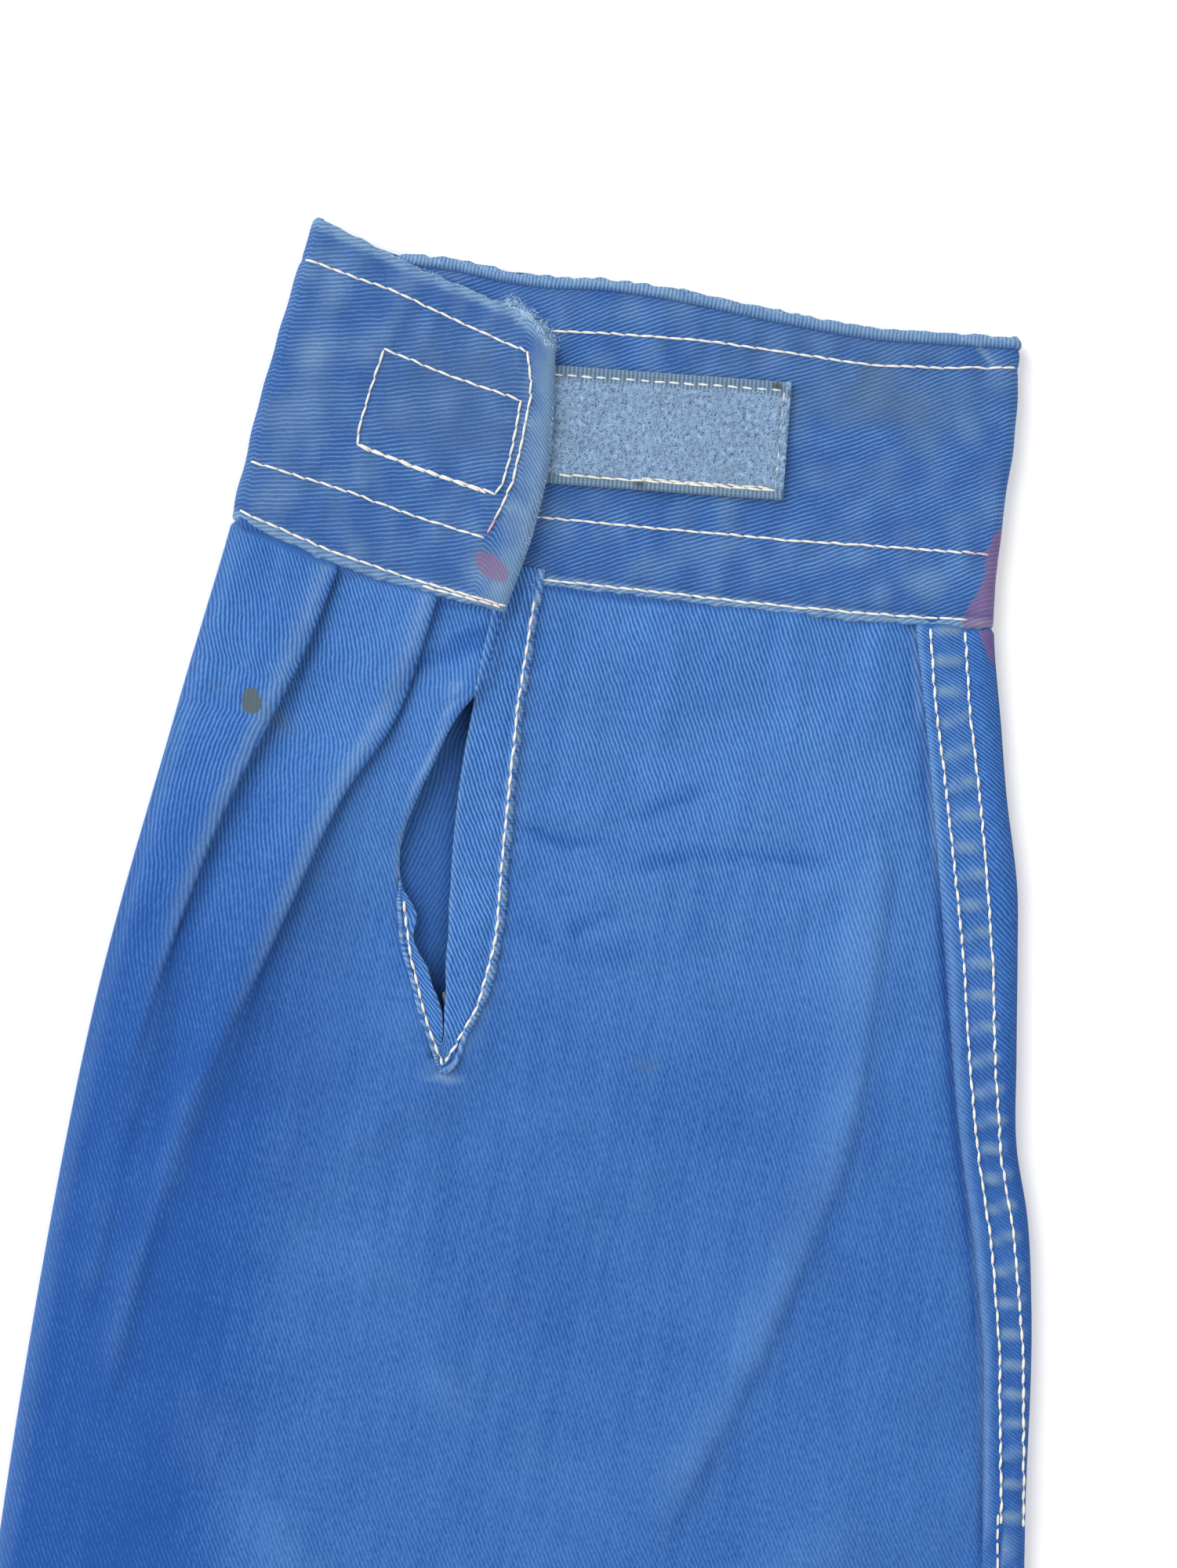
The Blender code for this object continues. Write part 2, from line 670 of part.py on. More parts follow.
FOLD_SHAPES = {
    "slit": {name: curve(PLEAT_NEAR_SLIT, name) for name in ("fold", "depth", "height")},
    "shoulder": {name: curve(PLEAT_NEAR_FOLD, name) for name in ("fold", "depth", "height")},
}
SLIT_SHAPE = {name: curve(SLIT, name) for name in ("left", "right", "left_z", "right_z")}
FELL_EDGE = curve(FELLED_SEAM, "edge")
SLANT = {name: curve(CUFF_SLANT, name) for name in ("upper_left", "upper_right", "lower")}


def sleeve_top_z(across, along):
    """The middle of the sleeve's upper ply, away from its pleats and slit."""
    left, right = float(LEFT_EDGE(along)), float(RIGHT_EDGE(along))
    away = max(0.0, min(across - left, right - across))
    full = 4.4 + (SLEEVE_TOP_Z - 4.4) * float(smooth_step((along - CUFF_DEPTH) / 120.0))
    full += 0.5 * float(smooth_step((along - 300) / 250.0))
    return SLEEVE_FOLD_Z + (full - SLEEVE_FOLD_Z) * float(smooth_step(away / 30.0))


def pleat_points(shape, along, base, reach):
    """The ten points of a pleat, from the cloth on its slit side, under its fold and on over it.

    Beyond the pleat they spread out into plain cloth.
    """
    fold, depth, height = (float(shape[name](along)) for name in ("fold", "depth", "height"))
    depth, height = max(depth, 0.0), max(height, 0.02)
    ply = height / 2
    turn = ply / 2
    under = fold - turn - depth
    over = fold - turn
    points = [
        (under, base),
        (under - turn * 0.87, base + ply * 0.25),
        (under - turn * 0.87, base + ply * 0.75),
        (under, base + ply),
        (over, base + ply),
        (over + turn * 0.87, base + ply * 1.25),
        (over + turn * 0.87, base + ply * 1.75),
        (over, base + height),
        (over - reach * 0.35, base + height * 0.86),
        (over - reach * 0.75, base + height * 0.34),
    ]
    plain = float(smooth_step((along - 140.0) / 60.0))
    return [
        (across * (1 - plain) + (fold + 4.5 - 1.3 * place) * plain, z)
        for place, (across, z) in enumerate(points)
    ]


def wrapped_path(along):
    """The sleeve's cloth from the slit's shoulder side, over the pleats, round below and up to the felled seam.

    Each point is (across, z, which cuff edge it starts from).
    """
    left, right = float(LEFT_EDGE(along)), float(RIGHT_EDGE(along))
    slit = float(SLIT_SHAPE["left"](along))
    slit_z = float(SLIT_SHAPE["left_z"](along))
    near = pleat_points(FOLD_SHAPES["slit"], along, min(slit_z, 4.2), 15.0)
    far = pleat_points(FOLD_SHAPES["shoulder"], along, 4.0, 14.0)
    under, base = near[0]
    folded = float(smooth_step((near[7][0] - under) / 6.0))
    third = near[7][0] * 0.9 + slit * 0.1 + 0.4
    third = third * folded + (under * 0.55 + slit * 0.45) * (1 - folded)
    points = [
        (slit, slit_z),
        (slit * 0.72 + near[7][0] * 0.28, slit_z * 0.8 + base * 0.2),
        (third, base + 0.05 * folded + (slit_z - base) * 0.35 * (1 - folded)),
    ]
    points += near
    points += far
    fade = float(smooth_step((along - 150) / 70.0))
    top = [(across, z * (1 - fade) + max(z, sleeve_top_z(across, along)) * fade) for across, z in points]
    top[0] = points[0]
    fold_z = SLEEVE_FOLD_Z
    radius = (fold_z - SLEEVE_FLOOR_Z) / 2
    middle = SLEEVE_FLOOR_Z + radius
    round_left = [
        (left + 0.5 + radius * (1 - math.cos(a)), middle + radius * math.sin(a))
        for a in (math.radians(d) for d in (90, 40, 0, -40, -90))
    ]
    bottom = [
        (left + (right - left) * share, SLEEVE_FLOOR_Z) for share in (0.17, 0.33, 0.5, 0.67, 0.83)
    ]
    round_right = [
        (right - 0.5 - radius * (1 - math.cos(a)), middle + (radius + lift) * math.sin(a) + lift)
        for a, lift in zip((math.radians(d) for d in (-90, -40, 0, 40, 90)), (0, 0.1, 0.5, 0.65, 0.65))
    ]
    edge = float(FELL_EDGE(along))
    over = [
        (right * 0.5 + edge * 0.5, sleeve_top_z(right * 0.5 + edge * 0.5, along) + 1.3),
        (edge, sleeve_top_z(edge, along) + 1.3),
    ]
    marked = [(a, z, "upper_left") for a, z in top + round_left[:3]]
    marked += [(a, z, "lower") for a, z in round_left[3:] + bottom + round_right[:2]]
    marked += [(a, z, "upper_right") for a, z in round_right[2:] + over]
    return marked


def underarm_path(along):
    """The sleeve's cloth from the slit's underarm side to the edge that lies inside the felled seam."""
    joined = along >= SLIT_END
    slit = float(SLIT_SHAPE["left" if joined else "right"](along))
    end = float(FELL_EDGE(along)) + FELL_UNDERLAP
    slit_z = float(SLIT_SHAPE["left_z" if joined else "right_z"](along))
    points = []
    for share in (0.0, 0.12, 0.26, 0.42, 0.58, 0.74, 0.88, 1.0):
        across = slit + (end - slit) * share
        own = sleeve_top_z(across, along)
        near = float(smooth_step(share / 0.3))
        points.append((across, slit_z * (1 - near) + own * near, "upper_right"))
    return points


def sleeve_point(side, point, along):
    across, z, cuff_edge = point
    offset = float(SLANT[cuff_edge](across))
    share = lateral_share(across, along)
    return from_sleeve(side, across, slanted(along, offset, share), z)


def sleeve_shell(side):
    """Both parts of the sleeve, joined beyond the end of its slit."""
    rows = [(along, wrapped_path(along), underarm_path(along)) for along in SLEEVE_ROWS]
    shell = bmesh.new()
    for part in (1, 2):
        columns = len(rows[0][part]) - 1
        grid_faces(
            shell,
            columns,
            len(rows) - 1,
            lambda column, row, part=part: sleeve_point(side, rows[row][part][column], rows[row][0]),
        )
    joined = [
        point
        for point in shell.verts
        if len(point.link_faces) < 4
    ]
    bmesh.ops.remove_doubles(shell, verts=joined, dist=0.02 * MM)
    return shell


def make_sleeve(side, word, cloth, collection):
    """One piece of cloth, wrapped round and felled to itself at the underarm, slit at the cuff."""
    shell = sleeve_shell(side)
    return cloth_object("sleeve_" + word, shell, PLY, cloth, collection)


# The cuffs

def band_curves(rows):
    return {name: curve(rows, name) for name in ("top", "bottom", "z")}


LAP_SHAPE = band_curves(LAP)
UNDERLAP_SHAPE = band_curves(UNDERLAP)
LOWER_SHAPE = band_curves(CUFF_LOWER_SIDE)


def cuff_path():
    """Stations round the cuff: (across at the top, across at the bottom, which table, turn of the fold)."""
    stations = [("under", across, None) for across in (-26, -13, 0, 13, 26, 36, 46, 56, 66, 74)]
    stations += [("right", None, turn) for turn in (1 / 6, 1 / 3, 1 / 2, 2 / 3, 5 / 6)]
    stations += [("lower", across, None) for across in (74, 60, 46, 16, -14, -38, -58, -68, -74)]
    stations += [("left", None, turn) for turn in (1 / 6, 1 / 3, 1 / 2, 2 / 3, 5 / 6)]
    stations += [("lap", across, None) for across in (-74, -64, -53, -44, -35, -29, -26.5, -23.5, -20.8)]
    return stations


def cuff_edge_across(across, along):
    """A place across the cuff, moved with the cuff's slanting sides."""
    side = LEFT_EDGE(along) / -76.5 if across < 0 else RIGHT_EDGE(along) / 76.5
    return across * (1 + (float(side) - 1) * min(1.0, abs(across) / 76.0) ** 2)


def lap_end(share):
    """How far the lap's end stands off a straight cut, by the place down its end."""
    return 3.4 * math.sin(math.pi * share) - 1.0 * share


def cuff_point(station, share):
    """A point of the cuff's middle surface, share 0 at the free edge and 1 at the sleeve."""
    kind, across, turn = station
    if kind in ("under", "lower", "lap"):
        shape = {"under": UNDERLAP_SHAPE, "lower": LOWER_SHAPE, "lap": LAP_SHAPE}[kind]
        along = float(shape["top"](across)) * (1 - share) + float(shape["bottom"](across)) * share
        z = float(shape["z"](across))
        placed = cuff_edge_across(across, along)
        if kind == "lap" and across > -30:
            placed += lap_end(share) * (across + 30) / 9.2
        return placed, along, z
    side = 1 if kind == "right" else -1
    top_shape = UNDERLAP_SHAPE if side > 0 else LAP_SHAPE
    upper = {name: float(top_shape[name](76 * side)) for name in ("top", "bottom")}
    lower = {name: float(LOWER_SHAPE[name](76 * side)) for name in ("top", "bottom")}
    blend = turn if side > 0 else 1 - turn
    along_top = upper["top"] * (1 - blend) + lower["top"] * blend
    along_bottom = upper["bottom"] * (1 - blend) + lower["bottom"] * blend
    along = along_top * (1 - share) + along_bottom * share
    radius = (CUFF_FOLD_Z - 1.0) / 2
    angle = math.pi * turn
    edge = float(RIGHT_EDGE(along)) if side > 0 else float(LEFT_EDGE(along))
    across = edge - side * (CUFF_PLY / MM / 2 + radius * (1 - math.sin(angle)))
    z = 1.0 + radius + radius * (math.cos(angle) if side > 0 else -math.cos(angle))
    return across, along, z


def make_cuff(side, word, cloth, collection):
    """The cuff: one doubled band from the end of its underlap round to the end of its lap."""
    stations = cuff_path()

    def place(column, row):
        across, along, z = cuff_point(stations[column], row / 4)
        return from_sleeve(side, across, along, z)

    panel("cuff_" + word, len(stations) - 1, 4, place, CUFF_PLY, cloth, collection)


def patch_place(side, patch, height):
    """The points of a patch, which follow the ply that it is sewn to."""
    def place(column, row):
        a = (column / 6 - 0.5) * patch.length
        b = (row / 3 - 0.5) * patch.width
        across = patch.across + a * math.cos(patch.tilt) - b * math.sin(patch.tilt)
        along = patch.along + a * math.sin(patch.tilt) + b * math.cos(patch.tilt)
        return from_sleeve(side, across, along, height(across))

    return place


def make_patches(side, word, tape, collection):
    """The loop patch on the underlap, and the hook patch on the inner side of the lap."""
    step = CUFF_PLY / MM / 2 + GAP / MM + PATCH_PLY / 2

    def over_underlap(across):
        return float(UNDERLAP_SHAPE["z"](across)) + step

    def under_lap(across):
        return float(LAP_SHAPE["z"](across)) - step

    loop = patch_place(side, LOOP_PATCH, over_underlap)
    hook = patch_place(side, HOOK_PATCH, under_lap)
    panel("loop_patch_" + word, 6, 3, loop, PATCH_PLY * MM, tape, collection)
    panel("hook_patch_" + word, 6, 3, hook, PATCH_PLY * MM, tape, collection)


# The binding of the slit

BINDING_SHAPE = {name: curve(BINDING, name) for name in ("left", "right")}


def binding_sections():
    """Inner and outer ends of the strip, down its underarm side, round the end and up its shoulder side."""
    lift = (PLY / 2 + GAP + PLY / 2) / MM
    sections = []
    for along in (71.2, 80, 92, 105, 118, 130, 142, 152, 160, 166):
        inner = (float(SLIT_SHAPE["right"](along)), along)
        outer = (float(BINDING_SHAPE["right"](along)), along)
        sections.append((inner, outer))
    tip_inner = (-19.7, 168.5)
    sections.append((tip_inner, (-16.6, 171.5)))
    sections.append((tip_inner, (-18.4, 175.0)))
    sections.append((tip_inner, (-21.2, 171.0)))
    for along in (165, 159, 152, 146, 141):
        inner = (float(SLIT_SHAPE["left"](along)), along)
        outer = (float(BINDING_SHAPE["left"](along)) - 1.5, along)
        sections.append((inner, outer))
    return sections, lift


def upper_ply_z(across, along):
    """The middle of the sleeve's upper ply beside the slit."""
    if across > float(SLIT_SHAPE["right"](along)) - 0.3:
        path = underarm_path(along)
    else:
        path = wrapped_path(along)[:4]
    path = sorted((point[0], point[1]) for point in path)
    return float(np.interp(across, [p[0] for p in path], [p[1] for p in path]))


def make_binding(side, word, cloth, collection):
    """The strip that binds the slit, on the outside of the sleeve."""
    sections, lift = binding_sections()

    def place(column, row):
        inner, outer = sections[column]
        share = row / 2
        across = inner[0] + (outer[0] - inner[0]) * share
        along = inner[1] + (outer[1] - inner[1]) * share
        return from_sleeve(side, across, along, upper_ply_z(across, along) + lift)

    panel("slit_binding_" + word, len(sections) - 1, 2, place, PLY, cloth, collection)


def main():
    for old in list(bpy.data.objects):
        bpy.data.objects.remove(old)
    garment = bpy.data.collections.new("coveralls")
    bpy.context.scene.collection.children.link(garment)
    cloth = material("blue_twill", BLUE, 0.85)
    tape = material("loop_tape", PALE_BLUE, 0.9)
    make_back_bodice(cloth, garment)
    make_front_bodices(cloth, garment)
    make_waistbands(cloth, garment)
    make_legs(cloth, garment)
    make_closure(cloth, tape, garment)
    make_collar(cloth, garment)
    make_collar_stand(cloth, garment)
    for side, word in ((1, "right"), (-1, "left")):
        make_sleeve(side, word, cloth, garment)
        make_cuff(side, word, cloth, garment)
        make_patches(side, word, tape, garment)
        make_binding(side, word, cloth, garment)


main()
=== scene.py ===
"""Coveralls of blue cotton twill, laid flat with the back upwards and seen close at the right cuff.

Each sheet of cloth follows the form of the solid that it stands for, with finer rows, soft creases, puckers
along its seams, twill, sewing thread, hook-and-loop tape and the marks of wear.
"""

import math
from collections import namedtuple

import bmesh
import bpy
import numpy as np
from bpy.props import FloatProperty, FloatVectorProperty, IntProperty, PointerProperty
from mathutils import Matrix, Vector
from mathutils.bvhtree import BVHTree


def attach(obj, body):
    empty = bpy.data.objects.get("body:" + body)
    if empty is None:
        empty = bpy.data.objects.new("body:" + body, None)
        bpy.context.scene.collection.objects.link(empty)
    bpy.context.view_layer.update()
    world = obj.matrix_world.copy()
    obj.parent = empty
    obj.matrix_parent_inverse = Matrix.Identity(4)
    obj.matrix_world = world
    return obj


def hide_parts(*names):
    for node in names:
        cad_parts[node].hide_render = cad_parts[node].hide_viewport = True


bl_info = {
    "name": "Coveralls laid flat",
    "version": (1, 0, 0),
    "blender": (4, 5, 0),
    "location": "View3D > Sidebar > Coveralls",
    "description": "Dresses the solids of a pair of twill coveralls as worn cloth",
    "category": "Object",
}

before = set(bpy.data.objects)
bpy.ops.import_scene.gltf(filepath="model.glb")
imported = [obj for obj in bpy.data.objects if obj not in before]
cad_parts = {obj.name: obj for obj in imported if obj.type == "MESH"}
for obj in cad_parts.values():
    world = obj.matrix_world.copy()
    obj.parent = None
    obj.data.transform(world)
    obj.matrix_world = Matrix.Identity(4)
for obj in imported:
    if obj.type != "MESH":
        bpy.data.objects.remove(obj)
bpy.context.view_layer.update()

MM = 0.001
SIDES = ((1, "right"), (-1, "left"))

# Plies and the gap that is left at every seam.
PLY = 1.0 * MM
BAND_PLY = 1.6 * MM
CUFF_PLY = 2.0 * MM
COLLAR_PLY = 1.2 * MM
TAPE = 0.8 * MM
GAP = 0.3 * MM
ARMHOLE_GAP = 1.2 * MM

# Heights of the garment, from the hems.
CROTCH_Y = 0.800
WAIST_Y = 1.120
WAISTBAND = 0.040
NECK_Y = 1.640
SHOULDER_DROP = 0.045
SHOULDER_Y = NECK_Y - SHOULDER_DROP
FLY_BOTTOM_Y = 0.900
FRONT_NECK_DEPTH = 0.088
BACK_NECK_DEPTH = 0.018
COLLAR_RISE = 0.018
LENGTH = NECK_Y + COLLAR_RISE
MIDDLE_Y = LENGTH / 2

# Half widths of the garment.
NECK_X = 0.085
SHOULDER_X = 0.255
CENTRE_EDGE_X = -0.014

# How high the upper ply stands over the surface, at its edges and away from them.
EDGE_Z = 1.8 * MM
MIDDLE_Z = 5.0 * MM
RISE_OVER = 45 * MM

# The front closure, from the surface up: placket, hook tape, loop tape, front.
PLACKET_WIDTH = 0.045
TAPE_WIDTH = 0.025
CLOSURE_LIFT = 3.5 * MM
CLOSURE_REACH = 0.055

# The collar.
COLLAR_SIDE = 0.060
COLLAR_BACK = 0.066
COLLAR_POINT = (0.078, 0.150)
COLLAR_FRONT_X = 0.024
COLLAR_LIFT = COLLAR_PLY + GAP

# The sleeves. The cuff is turned a little further than the sleeve's own line.
SLEEVE_LENGTH = 0.600
CAP_HEIGHT = 0.125
SLEEVE_DROP = math.radians(20)
CUFF_TURN = math.radians(5)
SLIT_END = 172.7
CUFF_DEPTH = 67.0

BodyEdge = namedtuple("BodyEdge", "y outer")
BODY_EDGES = [
    BodyEdge(0.000, 0.345),
    BodyEdge(0.250, 0.337),
    BodyEdge(0.500, 0.325),
    BodyEdge(0.800, 0.305),
    BodyEdge(0.930, 0.289),
    BodyEdge(1.040, 0.272),
    BodyEdge(1.140, 0.262),
    BodyEdge(1.250, 0.268),
    BodyEdge(1.343, 0.275),
]
LegInner = namedtuple("LegInner", "y inner")
LEG_INNERS = [
    LegInner(0.000, 0.125),
    LegInner(0.250, 0.098),
    LegInner(0.500, 0.066),
    LegInner(0.700, 0.030),
    LegInner(0.770, 0.010),
    LegInner(0.800, 0.0015),
]

# The sleeve's two outlines, in millimetres across the cuff's own line, by the distance from its free edge.
SleeveEdge = namedtuple("SleeveEdge", "along left right")
SLEEVE_EDGES = [
    SleeveEdge(0, -76.5, 76.5),
    SleeveEdge(20, -79.0, 78.6),
    SleeveEdge(45, -81.8, 79.4),
    SleeveEdge(67, -83.0, 81.4),
    SleeveEdge(86, -85.2, 86.3),
    SleeveEdge(99, -86.8, 89.8),
    SleeveEdge(118, -88.9, 95.7),
    SleeveEdge(130, -90.3, 97.9),
    SleeveEdge(151, -92.6, 101.3),
    SleeveEdge(171, -94.3, 104.8),
    SleeveEdge(184, -95.0, 109.2),
    SleeveEdge(203, -95.6, 113.4),
    SleeveEdge(250, -96.0, 119.5),
    SleeveEdge(330, -94.0, 128.5),
    SleeveEdge(475, -85.0, 143.0),
    SleeveEdge(610, -75.0, 157.0),
]

# A knife pleat: where its outer fold runs, how deep the folded cloth lies under it, and how high it stands.
Pleat = namedtuple("Pleat", "along fold depth height")
PLEAT_NEAR_SLIT = [
    Pleat(67, -37.0, 10.0, 2.8),
    Pleat(100, -42.3, 7.0, 3.4),
    Pleat(118, -49.3, 3.5, 4.2),
    Pleat(141, -55.5, 0.5, 4.2),
    Pleat(164, -61.0, 0.0, 3.2),
    Pleat(189, -66.0, 0.0, 1.8),
    Pleat(230, -69.5, 0.0, 0.3),
    Pleat(300, -67.0, 0.0, 0.0),
    Pleat(610, -45.0, 0.0, 0.0),
]
PLEAT_NEAR_FOLD = [
    Pleat(67, -59.0, 10.0, 2.8),
    Pleat(90, -63.5, 7.0, 3.2),
    Pleat(110, -69.0, 3.0, 3.6),
    Pleat(130, -74.5, 0.5, 3.2),
    Pleat(153, -79.0, 0.0, 2.0),
    Pleat(185, -81.5, 0.0, 0.4),
    Pleat(230, -82.5, 0.0, 0.0),
    Pleat(300, -81.5, 0.0, 0.0),
    Pleat(610, -62.0, 0.0, 0.0),
]

# The slit: its two edges, and the height of the cloth beside it.
Slit = namedtuple("Slit", "along left right left_z right_z")
SLIT = [
    Slit(67, -22.5, -24.0, 7.2, 4.4),
    Slit(80, -23.5, -24.8, 7.2, 4.4),
    Slit(95, -26.6, -25.3, 6.6, 4.3),
    Slit(115, -32.6, -25.3, 5.2, 4.0),
    Slit(130, -34.6, -24.3, 4.4, 3.6),
    Slit(142, -31.6, -22.8, 4.2, 3.6),
    Slit(155, -25.0, -21.2, 4.6, 4.2),
    Slit(163, -20.8, -20.0, 5.2, 5.2),
    Slit(SLIT_END, -18.8, -18.8, 5.4, 5.4),
    Slit(230, -16.0, -16.0, 5.2, 5.2),
    Slit(610, 10.0, 10.0, 5.5, 5.5),
]

# The felled seam: the folded edge that shows, and the height of the sleeve's middle over the surface.
FelledSeam = namedtuple("FelledSeam", "along edge")
FELLED_SEAM = [
    FelledSeam(67, 64.6),
    FelledSeam(81, 68.5),
    FelledSeam(104, 74.9),
    FelledSeam(134, 82.8),
    FelledSeam(168, 91.5),
    FelledSeam(189, 97.9),
    FelledSeam(210, 103.7),
    FelledSeam(250, 110.0),
    FelledSeam(330, 119.5),
    FelledSeam(475, 134.5),
    FelledSeam(610, 148.5),
]
FELL_UNDERLAP = 8.0
SLEEVE_FLOOR_Z = 0.5
SLEEVE_FOLD_Z = 3.5
SLEEVE_TOP_Z = 5.0

# How the sleeve's end slants under the cuff, by the place across.
CuffSlant = namedtuple("CuffSlant", "across upper_left upper_right lower")
CUFF_SLANT = [
    CuffSlant(-83, 0.4, 0.0, 0.0),
    CuffSlant(-60, 6.4, 0.0, -0.6),
    CuffSlant(-40, 8.5, 0.0, -1.2),
    CuffSlant(-20, 10.4, 3.2, -1.8),
    CuffSlant(36, 10.4, 0.2, -3.0),
    CuffSlant(82, 10.4, -4.0, -4.0),
]

# The cuff's lap, underlap and lower side: both edges of the band, in millimetres, by the place across.
Band = namedtuple("Band", "across top bottom z")
LAP = [
    Band(-76, 0.0, 66.8, 4.4),
    Band(-66, 3.0, 69.6, 4.9),
    Band(-53, 7.0, 73.2, 5.6),
    Band(-35, 11.6, 75.4, 7.0),
    Band(-26.5, 14.0, 76.3, 8.2),
    Band(-20.8, 19.5, 76.9, 8.4),
]
UNDERLAP = [
    Band(-26.0, 4.4, 69.8, 4.4),
    Band(-13, 2.8, 69.3, 4.4),
    Band(0, 2.4, 68.6, 4.4),
    Band(26, 3.3, 67.3, 4.4),
    Band(46, 3.3, 65.9, 4.4),
    Band(60, 1.9, 64.6, 4.4),
    Band(76, 0.2, 62.8, 4.4),
]
CUFF_LOWER_SIDE = [
    Band(76, 0.4, 62.8, 1.0),
    Band(46, 3.8, 63.5, 1.0),
    Band(16, 3.6, 64.2, 1.0),
    Band(-14, 3.8, 65.0, 1.0),
    Band(-38, 4.9, 65.5, 1.0),
    Band(-58, 4.6, 66.0, 1.0),
    Band(-76, 0.0, 66.8, 1.0),
]
CUFF_FOLD_Z = 4.4
HALF_CUFF = 76.5
# The sleeve's first row that shows below the cuff.
FIRST_ROW = 67.3

# Hook and loop patches on the cuff: the middle of each, its size and its tilt across the cuff.
Patch = namedtuple("Patch", "across along length width tilt")
LOOP_PATCH = Patch(4.0, 33.2, 54.0, 25.0, math.radians(-5.5))
HOOK_PATCH = Patch(-42.0, 39.6, 32.0, 21.5, math.radians(12.0))
PATCH_PLY = 1.2

# The slit's binding: the far edge of the strip on each side.
Binding = namedtuple("Binding", "along left right")
BINDING = [
    Binding(70.8, -23.5, -14.8),
    Binding(95, -26.6, -14.4),
    Binding(128, -34.8, -12.0),
    Binding(140, -34.2, -11.0),
    Binding(146, -32.6, -10.7),
    Binding(160, -26.8, -12.3),
    Binding(174.5, -18.8, -18.0),
]

# Soft folds of the back, from one end to the other: how high and how wide each stands.
Fold = namedtuple("Fold", "x0 y0 x1 y1 height width")
FOLDS = [
    Fold(-0.20, 1.30, -0.06, 1.20, 2.1, 40),
    Fold(0.22, 1.28, 0.08, 1.19, 1.8, 45),
    Fold(-0.11, 1.52, -0.16, 1.34, 1.5, 50),
    Fold(0.13, 1.54, 0.17, 1.36, 1.8, 45),
    Fold(-0.02, 1.46, 0.02, 1.26, -1.2, 60),
    Fold(-0.20, 1.05, -0.05, 0.92, 2.1, 45),
    Fold(0.19, 1.03, 0.06, 0.90, 1.8, 50),
    Fold(-0.24, 0.86, -0.08, 0.76, 2.4, 40),
    Fold(0.25, 0.84, 0.09, 0.77, 2.1, 45),
    Fold(-0.28, 0.52, -0.12, 0.47, 1.8, 40),
    Fold(0.29, 0.47, 0.13, 0.53, 2.1, 40),
    Fold(-0.24, 0.40, -0.20, 0.12, 1.5, 50),
    Fold(0.25, 0.36, 0.22, 0.10, 1.5, 50),
]


# Curves and soft shapes that the whole file uses

def smooth_step(x):
    """0 up to 0, 1 from 1 on, and an even curve between."""
    x = np.clip(x, 0.0, 1.0)
    return x * x * (3.0 - 2.0 * x)


def bump(distance, width, power=2):
    """1 at a distance of 0, and close to 0 from twice the width on, to either side."""
    return np.exp(-((distance / width) ** power))


def summed(steps):
    """The running total of a row of steps, from 0."""
    return np.concatenate([[0.0], np.cumsum(steps)])


def curve(rows, column):
    """A smooth curve through one column of a table, as a function of the table's first column."""
    known = np.array([row[0] for row in rows], float)
    values = np.array([getattr(row, column) for row in rows], float)
    order = np.argsort(known)
    known, values = known[order], values[order]
    slopes = np.gradient(values, known)

    def at(x):
        x = np.clip(np.asarray(x, float), known[0], known[-1])
        i = np.clip(np.searchsorted(known, x) - 1, 0, len(known) - 2)
        span = known[i + 1] - known[i]
        f = (x - known[i]) / span
        start = (1 + 2 * f) * (1 - f) ** 2 * values[i] + f * (1 - f) ** 2 * span * slopes[i]
        return start + f * f * (3 - 2 * f) * values[i + 1] + f * f * (f - 1) * span * slopes[i + 1]

    return at


def spread(start, end, count):
    """count + 1 evenly spaced values from start to end."""
    return [start + (end - start) * i / count for i in range(count + 1)]


def ripple(x, y, size, seed):
    """Soft uneven relief between about -1 and 1, of hollows and rises about size across."""
    turns = np.random.default_rng(seed).uniform(0, 2 * math.pi, (7, 3))
    total = np.zeros(np.broadcast(x, y).shape)
    for turn, phase, stretch in turns:
        reach = 2 * math.pi / (size * (1.3 + 0.5 * math.sin(stretch)))
        total += np.sin((x * math.cos(turn) + y * math.sin(turn)) * reach + phase)
    return total / 3.2


def line_distance(x, y, points):
    """Signed distance from a polyline, and how far along it, from 0 to its length."""
    best = np.full(np.broadcast(x, y).shape, 1e9)
    side = np.zeros(best.shape)
    along = np.zeros(best.shape)
    travelled = 0.0
    for (x0, y0), (x1, y1) in zip(points[:-1], points[1:]):
        dx, dy = x1 - x0, y1 - y0
        length = math.hypot(dx, dy)
        share = ((x - x0) * dx + (y - y0) * dy) / (length * length)
        held = np.clip(share, 0, 1)
        gap = np.hypot(x - x0 - held * dx, y - y0 - held * dy)
        across = ((x - x0) * dy - (y - y0) * dx) / length
        nearer = gap < best
        best = np.where(nearer, gap, best)
        side = np.where(nearer, np.where(across >= 0, 1.0, -1.0), side)
        along = np.where(nearer, travelled + share * length, along)
        travelled += length
    return best * side, along, travelled


# The sleeve's own frame: across the cuff and along from its free edge, in millimetres

LEFT_EDGE = curve(SLEEVE_EDGES, "left")
RIGHT_EDGE = curve(SLEEVE_EDGES, "right")
ALONG_ANGLE = math.pi - SLEEVE_DROP - CUFF_TURN
ALONG = np.array([math.cos(ALONG_ANGLE), math.sin(ALONG_ANGLE)])
ACROSS = np.array([-math.sin(ALONG_ANGLE), math.cos(ALONG_ANGLE)])
SLEEVE_ORIGIN = (
    np.array([SHOULDER_X, SHOULDER_Y])
    - ALONG * SLEEVE_LENGTH
    - ACROSS * float(LEFT_EDGE(SLEEVE_LENGTH / MM)) * MM
)


